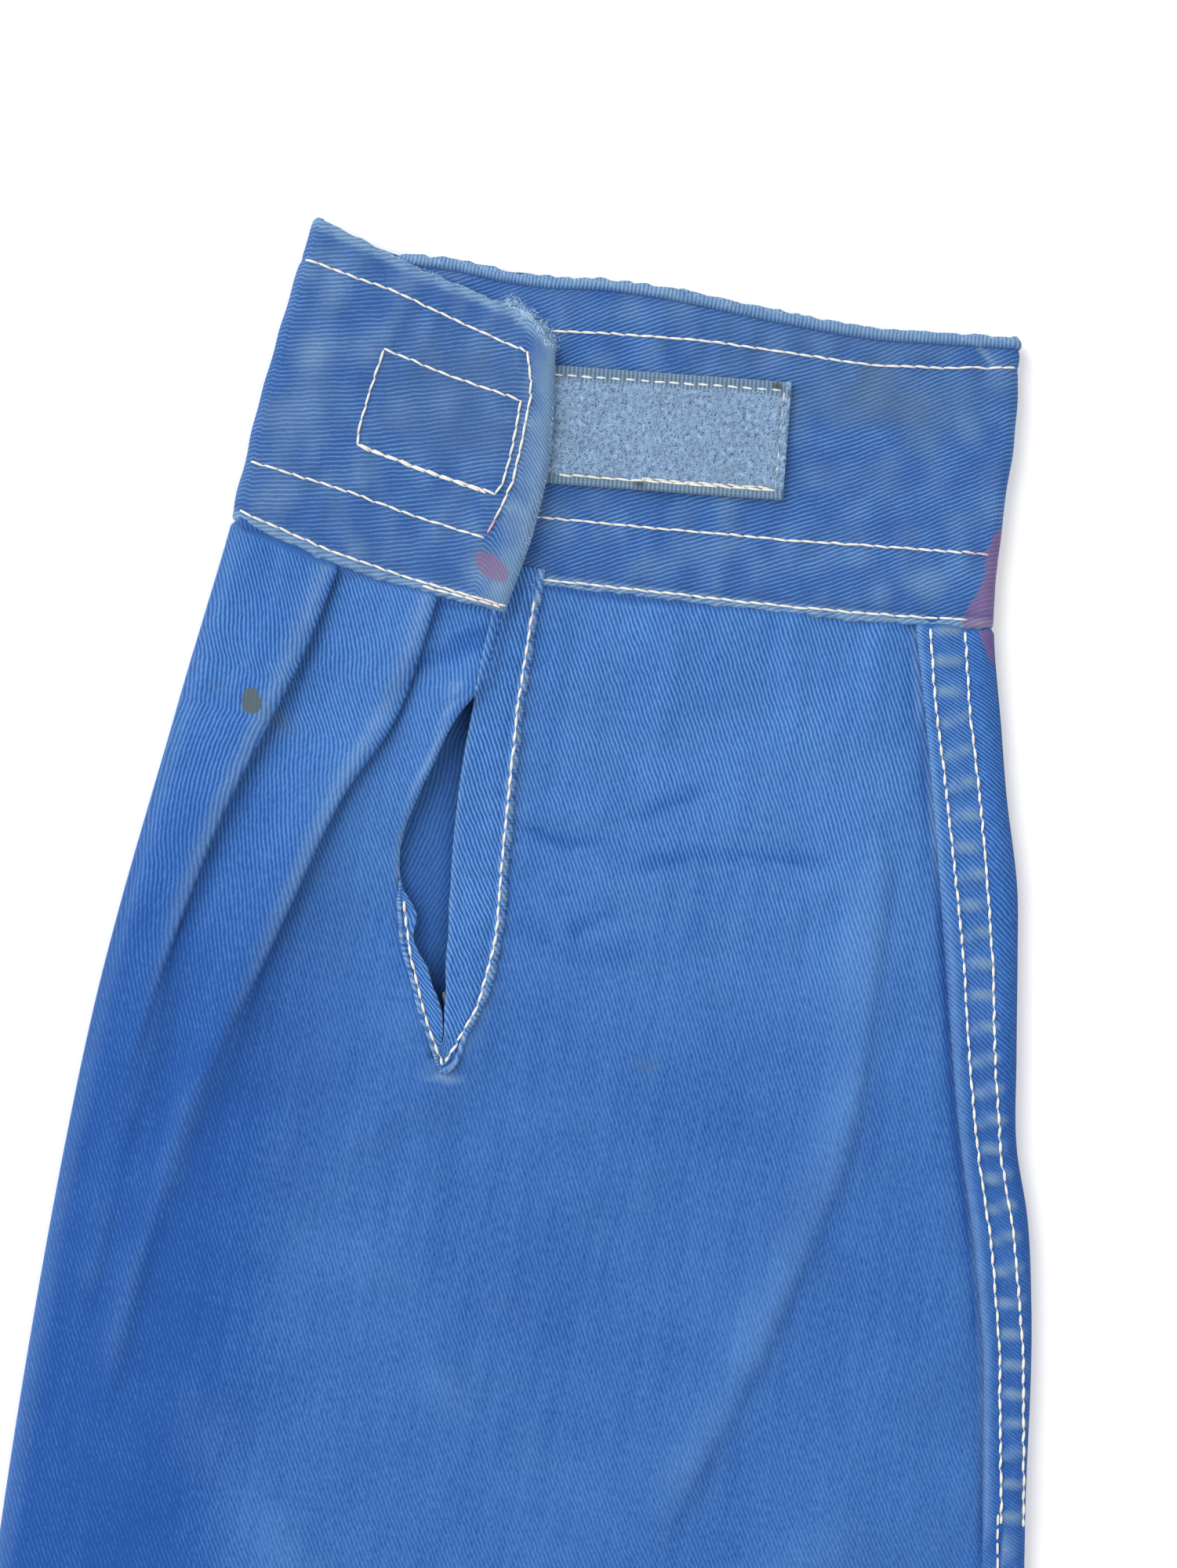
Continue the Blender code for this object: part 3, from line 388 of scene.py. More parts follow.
def from_sleeve(side, across, along, z):
    """The places in the garment of points of a sleeve. side is 1 for the right sleeve, -1 for the left."""
    across, along, z = np.broadcast_arrays(across, along, z)
    x = SLEEVE_ORIGIN[0] + (ACROSS[0] * across + ALONG[0] * along) * MM
    y = SLEEVE_ORIGIN[1] + (ACROSS[1] * across + ALONG[1] * along) * MM
    return np.stack([side * x, y - MIDDLE_Y, z * MM], axis=-1)


def armhole_slant(share):
    """How far short of the full length the armhole cuts the sleeve."""
    return -(CAP_HEIGHT / MM) * (share + 0.05 * np.sin(2 * math.pi * share))


def slanted(along, cuff_offset, share):
    """The distance along, once the cuff's and the armhole's slants are added."""
    near_cuff = 1.0 - smooth_step((along - CUFF_DEPTH) / 75.0)
    near_armhole = smooth_step((along - 210.0) / (SLEEVE_LENGTH / MM - 210.0))
    return along + cuff_offset * near_cuff + armhole_slant(share) * near_armhole


def armhole_points():
    """The armhole seam in the garment, from the shoulder to the underarm."""
    full = SLEEVE_LENGTH / MM
    shares = np.linspace(0.0, 1.0, 25)
    across = LEFT_EDGE(full) * (1 - shares) + RIGHT_EDGE(full) * shares
    return from_sleeve(1, across, slanted(full, 0.0, shares), 0.0)


ARMHOLE = armhole_points()
UNDERARM_X, UNDERARM_Y = ARMHOLE[-1][0], ARMHOLE[-1][1] + MIDDLE_Y


# Heights of the plies of the body

BODY_OUTER = curve(BODY_EDGES, "outer")
LEG_INNER = curve(LEG_INNERS, "inner")


def half_width(y):
    """The half width of the body at a height."""
    armhole = np.interp(np.minimum(y, SHOULDER_Y), ARMHOLE[::-1, 1] + MIDDLE_Y, ARMHOLE[::-1, 0])
    share = smooth_step((y - 1.20) / (UNDERARM_Y - 1.20))
    return np.where(y > UNDERARM_Y, armhole, BODY_OUTER(y) * (1 - share) + UNDERARM_X * share)


def shoulder_line(x):
    """The height of the shoulder seam, a straight slope from the neck."""
    slope = SHOULDER_DROP / (SHOULDER_X - NECK_X)
    return NECK_Y - (np.abs(x) - NECK_X) * slope


def edge_distance(x, y):
    """How far a point of the body lies from the nearest edge that is folded or sewn flat."""
    x = np.abs(x)
    outer = np.where(y < UNDERARM_Y, half_width(y) - x, np.hypot(UNDERARM_X - x, y - UNDERARM_Y))
    inner = np.where(y < CROTCH_Y, x - LEG_INNER(y), np.hypot(x, y - CROTCH_Y))
    top = np.where(x > NECK_X, shoulder_line(x) - y, np.hypot(NECK_X - x, NECK_Y - y))
    return np.maximum(0.0, np.minimum(np.minimum(outer, inner), top))


def fold_relief(x, y):
    """The height that the soft folds add."""
    total = np.zeros(np.broadcast(x, y).shape)
    for fold in FOLDS:
        dx, dy = fold.x1 - fold.x0, fold.y1 - fold.y0
        length = math.hypot(dx, dy)
        along = ((x - fold.x0) * dx + (y - fold.y0) * dy) / length
        away = ((x - fold.x0) * dy - (y - fold.y0) * dx) / length
        ends = smooth_step((along + 0.03) / 0.08) * smooth_step((length + 0.03 - along) / 0.08)
        total += fold.height * MM * ends * bump(away, fold.width * MM / 2)
    return total


def fall_zone(x, y):
    """1 where the collar's fall lies on the back and holds it flat, 0 below it."""
    far = np.hypot(np.maximum(0.0, np.abs(x) - 0.160), np.maximum(0.0, NECK_Y - 0.054 - y))
    return 1.0 - smooth_step(far / 0.035)


def collar_zone(x, y):
    """1 where the collar's points lie under the fronts, 0 well away from them."""
    below = np.maximum(0.0, NECK_Y - 0.075 - y) * 0.75
    far = np.hypot(np.maximum(0.0, np.abs(x) - 0.075), below)
    return 1.0 - smooth_step((far - 0.085) / 0.05)


def closure_share(x, y):
    """1 over the closure's tapes, 0 away from them."""
    across = 1.0 - smooth_step((np.abs(x) - 0.016) / (CLOSURE_REACH - 0.016))
    return across * smooth_step((y - FLY_BOTTOM_Y + 0.035) / 0.03)


def back_z(x, y):
    """The middle of the upper ply."""
    away = edge_distance(x, y)
    rise = smooth_step(away / RISE_OVER) * (1.0 - fall_zone(x, y))
    base = EDGE_Z + COLLAR_LIFT * collar_zone(x, y) + 2.2 * MM * closure_share(x, y) * rise
    return base + (MIDDLE_Z - EDGE_Z) * rise + fold_relief(x, y) * rise


def front_z(x, y):
    """The middle of the lower ply, lifted over the closure and the collar's points."""
    return PLY / 2 + np.maximum(CLOSURE_LIFT * closure_share(x, y), COLLAR_LIFT * collar_zone(x, y))


def worn_back_z(x, y):
    """The upper ply with the small uneven creases of worn cloth."""
    away = edge_distance(x, y)
    loose = smooth_step(away / 0.05) * (1.0 - fall_zone(x, y))
    creases = np.abs(ripple(x, y, 0.11, 3)) ** 0.7 * 1.1 + ripple(x, y, 0.045, 5) * 0.35
    return back_z(x, y) + creases * MM * loose


def place(x, y, z):
    """Points of the body, from the hems, as points of the row."""
    x, y, z = np.broadcast_arrays(x, y, z)
    return np.stack([x, y - MIDDLE_Y, z], axis=-1)


# Making a sheet of cloth

def grid_sheet(points, cut, masks, slit_after=None, joined_from=None):
    """A mesh of cloth through rows and columns of points.

    cut is each point's place in the flat cut, in metres, and masks are named values for the finish.
    The cloth is open between column slit_after and the next, up to row joined_from.
    """
    rows, columns = points.shape[:2]
    shell = bmesh.new()
    laid = shell.loops.layers.uv.new("Cut")
    for name in masks:
        shell.verts.layers.float.new(name)
    layers = {name: shell.verts.layers.float[name] for name in masks}
    grid = bmesh.ops.create_grid(shell, x_segments=columns - 1, y_segments=rows - 1, size=0.5)
    spot = {}
    for point in grid["verts"]:
        column = round((point.co.x + 0.5) * (columns - 1))
        row = round((point.co.y + 0.5) * (rows - 1))
        spot[point] = (row, column)
        point.co = points[row, column]
        for name, layer in layers.items():
            point[layer] = float(masks[name][row, column])
    for face in shell.faces:
        for corner in face.loops:
            corner[laid].uv = cut[spot[corner.vert]]
    if slit_after is not None:
        strip = [f for f in shell.faces if {spot[v][1] for v in f.verts} == {slit_after, slit_after + 1}]
        bmesh.ops.delete(shell, geom=strip, context="FACES_ONLY")
        beside = (slit_after, slit_after + 1)
        ends = [v for v in spot if v.is_valid and spot[v][1] in beside and spot[v][0] >= joined_from]
        bmesh.ops.remove_doubles(shell, verts=ends, dist=0.00008)
    return shell


def finish_mesh(name, shell, material, replaced=(), ply=None):
    """The piece's object, with its wall, riding on the garment."""
    mesh = bpy.data.meshes.new(name)
    shell.to_mesh(mesh)
    shell.free()
    mesh.materials.append(material)
    mesh.shade_smooth()
    piece = bpy.data.objects.new(name, mesh)
    bpy.context.scene.collection.objects.link(piece)
    if ply is not None:
        wall = piece.modifiers.new("Wall", "SOLIDIFY")
        wall.thickness = ply
        wall.offset = 0.0
        wall.use_even_offset = False
    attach(piece, "root")
    if replaced:
        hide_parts(*replaced)
    return piece


def surface_tree(*pieces):
    """The finished surfaces of pieces, to set thread and pile on."""
    bpy.context.view_layer.update()
    graph = bpy.context.evaluated_depsgraph_get()
    gathered = bmesh.new()
    for piece in pieces:
        gathered.from_mesh(piece.evaluated_get(graph).to_mesh())
        piece.evaluated_get(graph).to_mesh_clear()
    tree = BVHTree.FromBMesh(gathered)
    gathered.free()
    return tree


# Surfaces are looked for from this height, above all the cloth. Below the second height lies the lower ply.
FROM_ABOVE = 0.05
UPPER_SIDE_Z = 0.003


def top_of(tree, x, y, start=FROM_ABOVE):
    """The height of the highest surface below start at a place."""
    hit = tree.ray_cast(Vector((x, y, start)), Vector((0, 0, -1)))
    return None if hit[0] is None else hit[0].z


def flowed(path, counts):
    """A path's points with counts extra steps between each pair, on a smooth curve through them all."""
    steps = np.diff(path[:, :3], axis=0)
    lengths = np.maximum(np.linalg.norm(steps, axis=1), 1e-6)[:, None]
    slopes = np.diff(path, axis=0) / lengths
    tangents = np.vstack([
        slopes[:1],
        (slopes[:-1] * lengths[1:] + slopes[1:] * lengths[:-1]) / (lengths[:-1] + lengths[1:]),
        slopes[-1:],
    ])
    out = []
    for i, count in enumerate(counts):
        f = (np.arange(count) / count)[:, None]
        reach = lengths[i]
        out.append(
            (1 + 2 * f) * (1 - f) ** 2 * path[i]
            + f * (1 - f) ** 2 * reach * tangents[i]
            + f * f * (3 - 2 * f) * path[i + 1]
            + f * f * (f - 1) * reach * tangents[i + 1]
        )
    out.append(path[-1:])
    return np.vstack(out)


# The sleeve's cloth

FOLD_SHAPES = {
    "slit": {name: curve(PLEAT_NEAR_SLIT, name) for name in ("fold", "depth", "height")},
    "shoulder": {name: curve(PLEAT_NEAR_FOLD, name) for name in ("fold", "depth", "height")},
}
SLIT_SHAPE = {name: curve(SLIT, name) for name in ("left", "right", "left_z", "right_z")}
FELL_EDGE = curve(FELLED_SEAM, "edge")
SLANT = {name: curve(CUFF_SLANT, name) for name in ("upper_left", "upper_right", "lower")}

# Creases of the sleeve near the cuff: where each runs, its height, and how wide it is to either side.
Crease = namedtuple("Crease", "points height left right")
SLEEVE_CREASES = [
    Crease(
        ((62.0, 104.0), (66.5, 118.0), (67.1, 131.0), (68.3, 150.0), (68.5, 168.0), (67.3, 183.0),
         (63.8, 196.0), (57.3, 223.0), (44.0, 262.0)),
        1.9, 9.0, 1.5,
    ),
    Crease(((13.8, 126.0), (25.3, 120.8), (42.6, 118.5), (63.0, 117.1)), -0.5, 1.5, 2.6),
    Crease(((-12.0, 120.1), (-1.2, 122.9), (5.7, 120.7), (17.6, 111.9), (26.0, 106.8)), -0.55, 1.3, 2.2),
    Crease(((-8.5, 129.3), (-1.5, 133.3), (3.5, 133.8)), -0.5, 1.3, 2.0),
    Crease(((3.1, 141.8), (7.5, 137.5), (12.3, 135.1)), -0.45, 1.4, 2.2),
    Crease(((46.0, 140.0), (50.0, 128.0), (58.0, 119.0)), 0.45, 2.2, 3.0),
    Crease(((-19.0, 174.0), (-17.6, 190.0), (-15.5, 208.0)), 0.7, 2.4, 2.4),
    Crease(((-23.8, 180.3), (-34.0, 192.0), (-45.0, 203.5), (-54.0, 222.0)), 0.8, 3.0, 3.0),
    Crease(((-11.3, 71.0), (-9.6, 80.0), (-8.7, 92.0)), 1.0, 2.2, 1.4),
    Crease(((14.0, 70.0), (15.5, 80.0), (15.0, 96.0)), 0.6, 2.5, 2.0),
    Crease(((38.0, 68.0), (40.5, 78.0), (43.0, 92.0)), 0.65, 2.5, 1.8),
    Crease(((56.0, 66.0), (57.5, 76.0), (59.0, 88.0)), 0.6, 2.2, 1.8),
    Crease(((-76.5, 150.0), (-80.0, 175.0), (-84.0, 205.0), (-85.0, 240.0)), 1.0, 4.0, 2.5),
    Crease(((-64.0, 172.0), (-70.5, 198.0), (-76.0, 226.0), (-78.0, 262.0)), 1.3, 4.5, 2.6),
    Crease(((-21.8, 140.3), (-17.5, 143.2), (-12.5, 144.0)), -0.6, 1.3, 1.7),
    Crease(((-21.2, 151.8), (-17.0, 153.6), (-12.0, 153.4)), -0.6, 1.2, 1.6),
    Crease(((-10.0, 128.0), (0.0, 133.0), (12.0, 131.0)), 0.35, 3.0, 4.0),
    Crease(((-9.0, 141.0), (3.0, 146.0), (18.0, 143.0)), -0.35, 3.0, 4.0),
    Crease(((-44.0, 101.0), (-38.0, 90.5), (-30.0, 84.5), (-23.5, 81.0)), -0.9, 2.6, 2.2),
    Crease(((-41.0, 108.0), (-34.0, 96.5), (-27.0, 91.0)), 0.7, 2.6, 3.2),
    Crease(((-30.0, 75.0), (-33.0, 84.0), (-38.0, 96.0)), 0.5, 2.4, 2.0),
    Crease(((-28.0, 215.0), (-8.0, 240.0), (20.0, 262.0)), 1.0, 9.0, 6.0),
    Crease(((-60.0, 250.0), (-20.0, 300.0), (0.0, 350.0)), 1.6, 12.0, 7.0),
    Crease(((80.0, 255.0), (50.0, 305.0), (35.0, 360.0)), 1.8, 12.0, 8.0),
    Crease(((-50.0, 380.0), (10.0, 400.0), (70.0, 385.0)), 1.8, 12.0, 9.0),
    Crease(((90.0, 420.0), (60.0, 470.0), (80.0, 530.0)), 1.6, 14.0, 9.0),
    Crease(((-30.0, 440.0), (-10.0, 500.0), (-20.0, 560.0)), 1.5, 12.0, 10.0),
]
# Short pinches across the flap between the slit and its stitching.
SLIT_PINCHES = [
    Crease(((-24.0, 140.5), (-19.0, 143.0), (-14.5, 142.0)), 0.8, 1.4, 1.6),
    Crease(((-22.5, 152.0), (-18.0, 153.6), (-14.5, 156.0)), 0.8, 1.2, 1.6),
    Crease(((-25.0, 104.0), (-20.0, 109.0), (-15.0, 110.5)), 0.6, 2.0, 2.0),
    Crease(((-12.0, 118.0), (-2.0, 115.5), (16.0, 119.0)), 0.7, 2.2, 2.6),
    Crease(((-10.0, 131.0), (4.0, 128.0), (22.0, 130.0)), 0.5, 2.2, 3.0),
    Crease(((-8.0, 176.0), (10.0, 181.0), (30.0, 178.0)), 0.45, 2.5, 3.0),
]
# The rows of stitching of the felled seam and beside the slit, as across and along, and the distance from
# one bump of the felled strip to the next.
FELL_PITCH = 6.5
FELL_LEFT_ROW = (
    (67.6, 64.6), (71.4, 80.6), (76.5, 97.2), (80.3, 110.7), (86.4, 132.5), (91.2, 153.5), (95.8, 171.0),
    (102.5, 191.8), (108.0, 213.5), (114.5, 250.0),
)
FELL_RIGHT_ROW = (
    (75.0, 64.0), (78.5, 79.4), (83.4, 96.0), (87.0, 109.6), (92.5, 131.5), (96.6, 152.6), (101.1, 172.3),
    (106.4, 187.4), (113.0, 212.7), (119.4, 250.0),
)
SLIT_RIGHT_ROW = (
    (-16.3, 73.0), (-16.0, 95.4), (-13.7, 128.8), (-12.2, 145.5), (-13.5, 159.2), (-16.2, 167.0),
    (-18.5, 172.7),
)
SLIT_LEFT_ROW = ((-33.0, 140.5), (-29.4, 151.8), (-23.9, 164.3), (-18.6, 173.6))


def crease_relief(across, along, creases):
    """The height that a list of creases adds, in millimetres."""
    total = np.zeros(np.broadcast(across, along).shape)
    for crease in creases:
        away, travelled, length = line_distance(across, along, crease.points)
        width = np.where(away > 0, crease.right, crease.left)
        taper = smooth_step((travelled + 0.12 * length) / (0.25 * length))
        taper = taper * smooth_step((1.15 * length - travelled) / (0.3 * length))
        wander = 0.8 + 0.2 * np.sin(travelled / 7.0 + crease.height * 9)
        total += crease.height * wander * taper * bump(away, width)
    return total


def pucker(across, along, line, pitch, reach, seed):
    """The small puckers that a row of stitching draws up, between -1 and 1."""
    away, travelled, length = line_distance(across, along, line)
    phase = travelled / pitch + 0.35 * np.sin(travelled / 11.0 + seed)
    phase = phase + 0.2 * np.sin(travelled / 4.7 + 2 * seed)
    beside_row = (travelled > -4) * (travelled < length + 4)
    return np.sin(2 * math.pi * phase) * bump(away, reach) * beside_row


def stitched_dip(across, along, line, depth, width):
    """The groove that a row of stitching presses into the cloth."""
    away, travelled, length = line_distance(across, along, line)
    inside = smooth_step((travelled + 1.5) / 1.5) * smooth_step((length + 1.5 - travelled) / 1.5)
    return -depth * bump(away, width) * inside


def ladder_wave(fell_along):
    """The bumps along the felled strip, one for each FELL_PITCH, between -1 and 1."""
    return np.sin(fell_along * 2 * math.pi / FELL_PITCH + 0.8 + 0.5 * np.sin(fell_along / 9.0))


def sleeve_relief(across, along):
    """The relief of the sleeve's upper ply over its plain form, in millimetres."""
    total = crease_relief(across, along, SLEEVE_CREASES)
    total += 0.45 * ripple(across, along, 38.0, 11) + 0.22 * ripple(across, along, 15.0, 12)
    cuff_line = ((-84, 68.0), (-60, 74.5), (-22, 79.0), (0, 70.0), (36, 68.0), (80, 63.8))
    away, travelled, _ = line_distance(across, along, cuff_line)
    gathers = np.sin(travelled / 1.25 + 1.2 * np.sin(travelled / 6.1)) * bump(away, 6.0)
    total += 0.24 * gathers
    total += 0.7 * crease_relief(across, along, SLIT_PINCHES)
    total += 0.30 * pucker(across, along, SLIT_RIGHT_ROW, 5.2, 3.6, 1.0)
    total += 0.34 * pucker(across, along, SLIT_LEFT_ROW, 4.6, 3.2, 2.0)
    total += 0.30 * pucker(across, along, FELL_LEFT_ROW, FELL_PITCH, 4.6, 3.0)
    total += stitched_dip(across, along, FELL_LEFT_ROW, 0.30, 0.9)
    total += stitched_dip(across, along, FELL_RIGHT_ROW, 0.30, 0.9)
    total += 0.34 * pucker(across, along, FELL_RIGHT_ROW, FELL_PITCH, 3.4, 4.2)
    fell, fell_along, _ = line_distance(across, along, FELL_LEFT_ROW)
    total += 0.34 * ladder_wave(fell_along) * bump(fell - 3.4, 2.6, 4)
    total -= 0.70 * bump(fell + 4.6, 1.2)
    return total


def sleeve_top_z(across, along):
    """The middle of the sleeve's upper ply, away from its pleats and slit."""
    left, right = LEFT_EDGE(along), RIGHT_EDGE(along)
    away = np.maximum(0.0, np.minimum(across - left, right - across))
    full = 4.4 + (SLEEVE_TOP_Z - 4.4) * smooth_step((along - CUFF_DEPTH) / 120.0)
    full = full + 0.5 * smooth_step((along - 300) / 250.0)
    return SLEEVE_FOLD_Z + (full - SLEEVE_FOLD_Z) * smooth_step(away / 30.0)


def pleat_points(shape, along, base, reach):
    """The ten points of a pleat, from the cloth on its slit side, under its fold and on over it.

    Beyond the pleat they spread out into plain cloth.
    """
    fold, depth, height = (float(shape[name](along)) for name in ("fold", "depth", "height"))
    depth = min(max(depth, 0.0), 6.0)
    height = max(0.02, height * 0.62 + 0.26 * min(1.0, height))
    reach = reach + 4.0 * float(smooth_step((110 - along) / 40.0))
    ply = height / 2
    turn = ply / 2
    under = fold - turn - depth
    over = fold - turn
    points = [
        (under, base),
        (under - turn * 0.87, base + ply * 0.25),
        (under - turn * 0.87, base + ply * 0.75),
        (under, base + ply),
        (over, base + ply),
        (over + turn * 0.87, base + ply * 1.25),
        (over + turn * 0.87, base + ply * 1.75),
        (over, base + height),
        (over - reach * 0.35, base + height * 0.86),
        (over - reach * 0.75, base + height * 0.34),
    ]
    plain = float(smooth_step((along - 140.0) / 60.0))
    return [
        (across * (1 - plain) + (fold + 4.5 - 1.3 * number) * plain, z)
        for number, (across, z) in enumerate(points)
    ]


# How many steps the fine cloth takes between the points of the wrapped path, and of the underarm path.
WRAPPED_STEPS = [3, 3, 4]
WRAPPED_STEPS += [1, 1, 1, 4, 2, 2, 2, 4, 4, 8]
WRAPPED_STEPS += [1, 1, 1, 4, 2, 2, 2, 4, 4, 7]
WRAPPED_STEPS += [2, 2, 2, 2, 3, 3, 3, 3, 3, 3, 2, 2, 2, 2, 6, 6]
UNDERARM_STEPS = [9, 10, 11, 11, 11, 10, 8]
# 1 where a point of the wrapped path lies open on top and takes the sleeve's relief; where it is less, the
# point lies in a fold, and near the cuff its cloth gets painted shade.
WRAPPED_OPEN = [1, 1, 0.6] + [0.2, 0, 0, 0, 0, 0.4, 0.8, 1, 1, 1] * 2 + [0.8, 0.3, 0, 0, 0] + [0] * 5
WRAPPED_OPEN += [0, 0, 0, 0.4, 0.7, 1, 1]


def slit_left(along):
    """The slit's shoulder edge, as the worn cloth hangs open."""
    held = float(smooth_step((along - 84) / 8.0) * smooth_step((158 - along) / 10.0))
    pulled = 0.9 * held + 1.4 * math.exp(-(((along - 96.5) / 9.0) ** 2))
    turned = 2.3 * math.exp(-(((along - 142.5) / 3.4) ** 2))
    turned += 0.5 * math.exp(-(((along - 153.0) / 2.2) ** 2))
    return float(SLIT_SHAPE["left"](along)) - pulled + turned


def wrapped_path(along):
    """The sleeve's cloth from the slit over the pleats, round below and up to the felled seam.

    Each row is across, z, the cuff's slant there and how open it lies.
    """
    left, right = float(LEFT_EDGE(along)), float(RIGHT_EDGE(along))
    slit = slit_left(along)
    slit_z = float(SLIT_SHAPE["left_z"](along))
    near = pleat_points(FOLD_SHAPES["slit"], along, min(slit_z, 4.2), 15.0)
    far = pleat_points(FOLD_SHAPES["shoulder"], along, 4.0, 14.0)
    under, base = near[0]
    folded = float(smooth_step((near[7][0] - under) / 6.0))
    third = near[7][0] * 0.9 + slit * 0.1 + 0.4
    third = third * folded + (under * 0.55 + slit * 0.45) * (1 - folded)
    points = [
        (slit, slit_z),
        (slit * 0.72 + near[7][0] * 0.28, slit_z * 0.8 + base * 0.2),
        (third, base + 0.05 * folded + (slit_z - base) * 0.35 * (1 - folded)),
    ]
    points += near
    points += far
    fade = float(smooth_step((along - 150) / 70.0))
    top = [(a, z * (1 - fade) + max(z, float(sleeve_top_z(a, along))) * fade) for a, z in points]
    top[0] = points[0]
    radius = (SLEEVE_FOLD_Z - SLEEVE_FLOOR_Z) / 2
    middle = SLEEVE_FLOOR_Z + radius
    angles = [math.radians(d) for d in (90, 40, 0, -40, -90)]
    round_left = [(left + 0.5 + radius * (1 - math.cos(a)), middle + radius * math.sin(a)) for a in angles]
    bottom = [(left + (right - left) * share, SLEEVE_FLOOR_Z) for share in (0.17, 0.33, 0.5, 0.67, 0.83)]
    lifts = (0, 0.1, 0.5, 0.65, 0.65)
    round_right = [
        (right - 0.5 - radius * (1 - math.cos(a)), middle + (radius + lift) * math.sin(a) + lift)
        for a, lift in zip(angles[::-1], lifts)
    ]
    edge = float(FELL_EDGE(along))
    half = right * 0.5 + edge * 0.5
    over = [(a, float(sleeve_top_z(a, along)) + 1.3) for a in (half, edge)]
    shown_there = np.array(WRAPPED_OPEN, float)
    shown_there[3:23] += (1 - shown_there[3:23]) * float(smooth_step((along - 150.0) / 60.0))
    marked = [(a, z, "upper_left") for a, z in top + round_left[:3]]
    marked += [(a, z, "lower") for a, z in round_left[3:] + bottom + round_right[:2]]
    marked += [(a, z, "upper_right") for a, z in round_right[2:] + over]
    return np.array([
        (a, z, float(SLANT[kind](a)), shown) for (a, z, kind), shown in zip(marked, shown_there)
    ])


def underarm_path(along):
    """The sleeve's cloth from the slit's underarm side to the edge that lies inside the felled seam."""
    joined = along >= SLIT_END
    slit = float(SLIT_SHAPE["left" if joined else "right"](along))
    slit_z = float(SLIT_SHAPE["left_z" if joined else "right_z"](along))
    end = float(FELL_EDGE(along)) + FELL_UNDERLAP
    rows = []
    for share in (0.0, 0.12, 0.26, 0.42, 0.58, 0.74, 0.88, 1.0):
        across = slit + (end - slit) * share
        near = float(smooth_step(share / 0.3))
        z = slit_z * (1 - near) + float(sleeve_top_z(across, along)) * near
        rows.append((across, z, float(SLANT["upper_right"](across)), 1.0))
    return np.array(rows)


# The lower ply lies below the first of these heights and the upper ply above the second.
LOWER_PLY_Z = 1.2
UPPER_PLY_Z = 2.6


def tucked_in(path, band):
    """Presses the end of the sleeve flat, to lie between the two plies of the cuff's band."""
    upper = path[:, 1] > UPPER_PLY_Z
    over = np.where(path[:, 0] < -20.5, BANDS[band]["z"](path[:, 0]), 4.4)
    middle = np.where(upper, over, 1.0)
    pressed = middle + np.clip(path[:, 1] - middle, -2.0, 2.0) * 0.06
    turned = 1.0 + (path[:, 1] - SLEEVE_FLOOR_Z) * 1.15
    at_fold = smooth_step((np.abs(path[:, 0] + 0.8) - 74.5) / 4.0)
    path[:, 1] = pressed * (1 - at_fold) + np.minimum(turned, 4.2) * at_fold
    path[:, 0] = np.clip(path[:, 0], -81.0, 79.4)
    path[:, 3] = 0.0


def sleeve_rows(coarse):
    """The distances along the sleeve at which the fine cloth has a row."""
    near = [64.2, 65.8] + list(np.arange(FIRST_ROW, SLIT_END - 0.5, 1.6 * coarse)) + [SLIT_END]
    near += list(np.arange(SLIT_END + 1.6 * coarse, 252.0, 1.6 * coarse))
    return near + list(np.linspace(254.0, 600.0, 58 // coarse))


# How far the twill turns on the felled strip and on the cuff's rolled edge.
STRIP_TURN = math.radians(24)
ROLL_TURN = math.radians(63)
# The steps of the wrapped path before the felled strip begins.
STRIP_STARTS = 29


def turned_cut(cut, turn):
    """Places in the flat cut, turned, so that the twill runs another way there."""
    return np.stack([
        cut[..., 0] * np.cos(turn) + cut[..., 1] * np.sin(turn),
        cut[..., 1] * np.cos(turn) - cut[..., 0] * np.sin(turn),
    ], axis=-1)


def sleeve_line(along, wrapped_counts, underarm_counts):
    """One row of the sleeve's cloth, from its edge in the felled seam, past the slit and round again."""
    wrapped, underarm = wrapped_path(max(along, FIRST_ROW)), underarm_path(max(along, FIRST_ROW))
    if along < FIRST_ROW:
        tucked_in(wrapped, "lap")
        tucked_in(underarm, "under")
    split = sum(underarm_counts)
    if along >= SLIT_END:
        line = flowed(np.vstack([underarm[::-1], wrapped[1:]]), underarm_counts[::-1] + wrapped_counts)
        return np.insert(line, split, line[split], axis=0)
    return np.vstack([flowed(underarm[::-1], underarm_counts[::-1]), flowed(wrapped, wrapped_counts)])


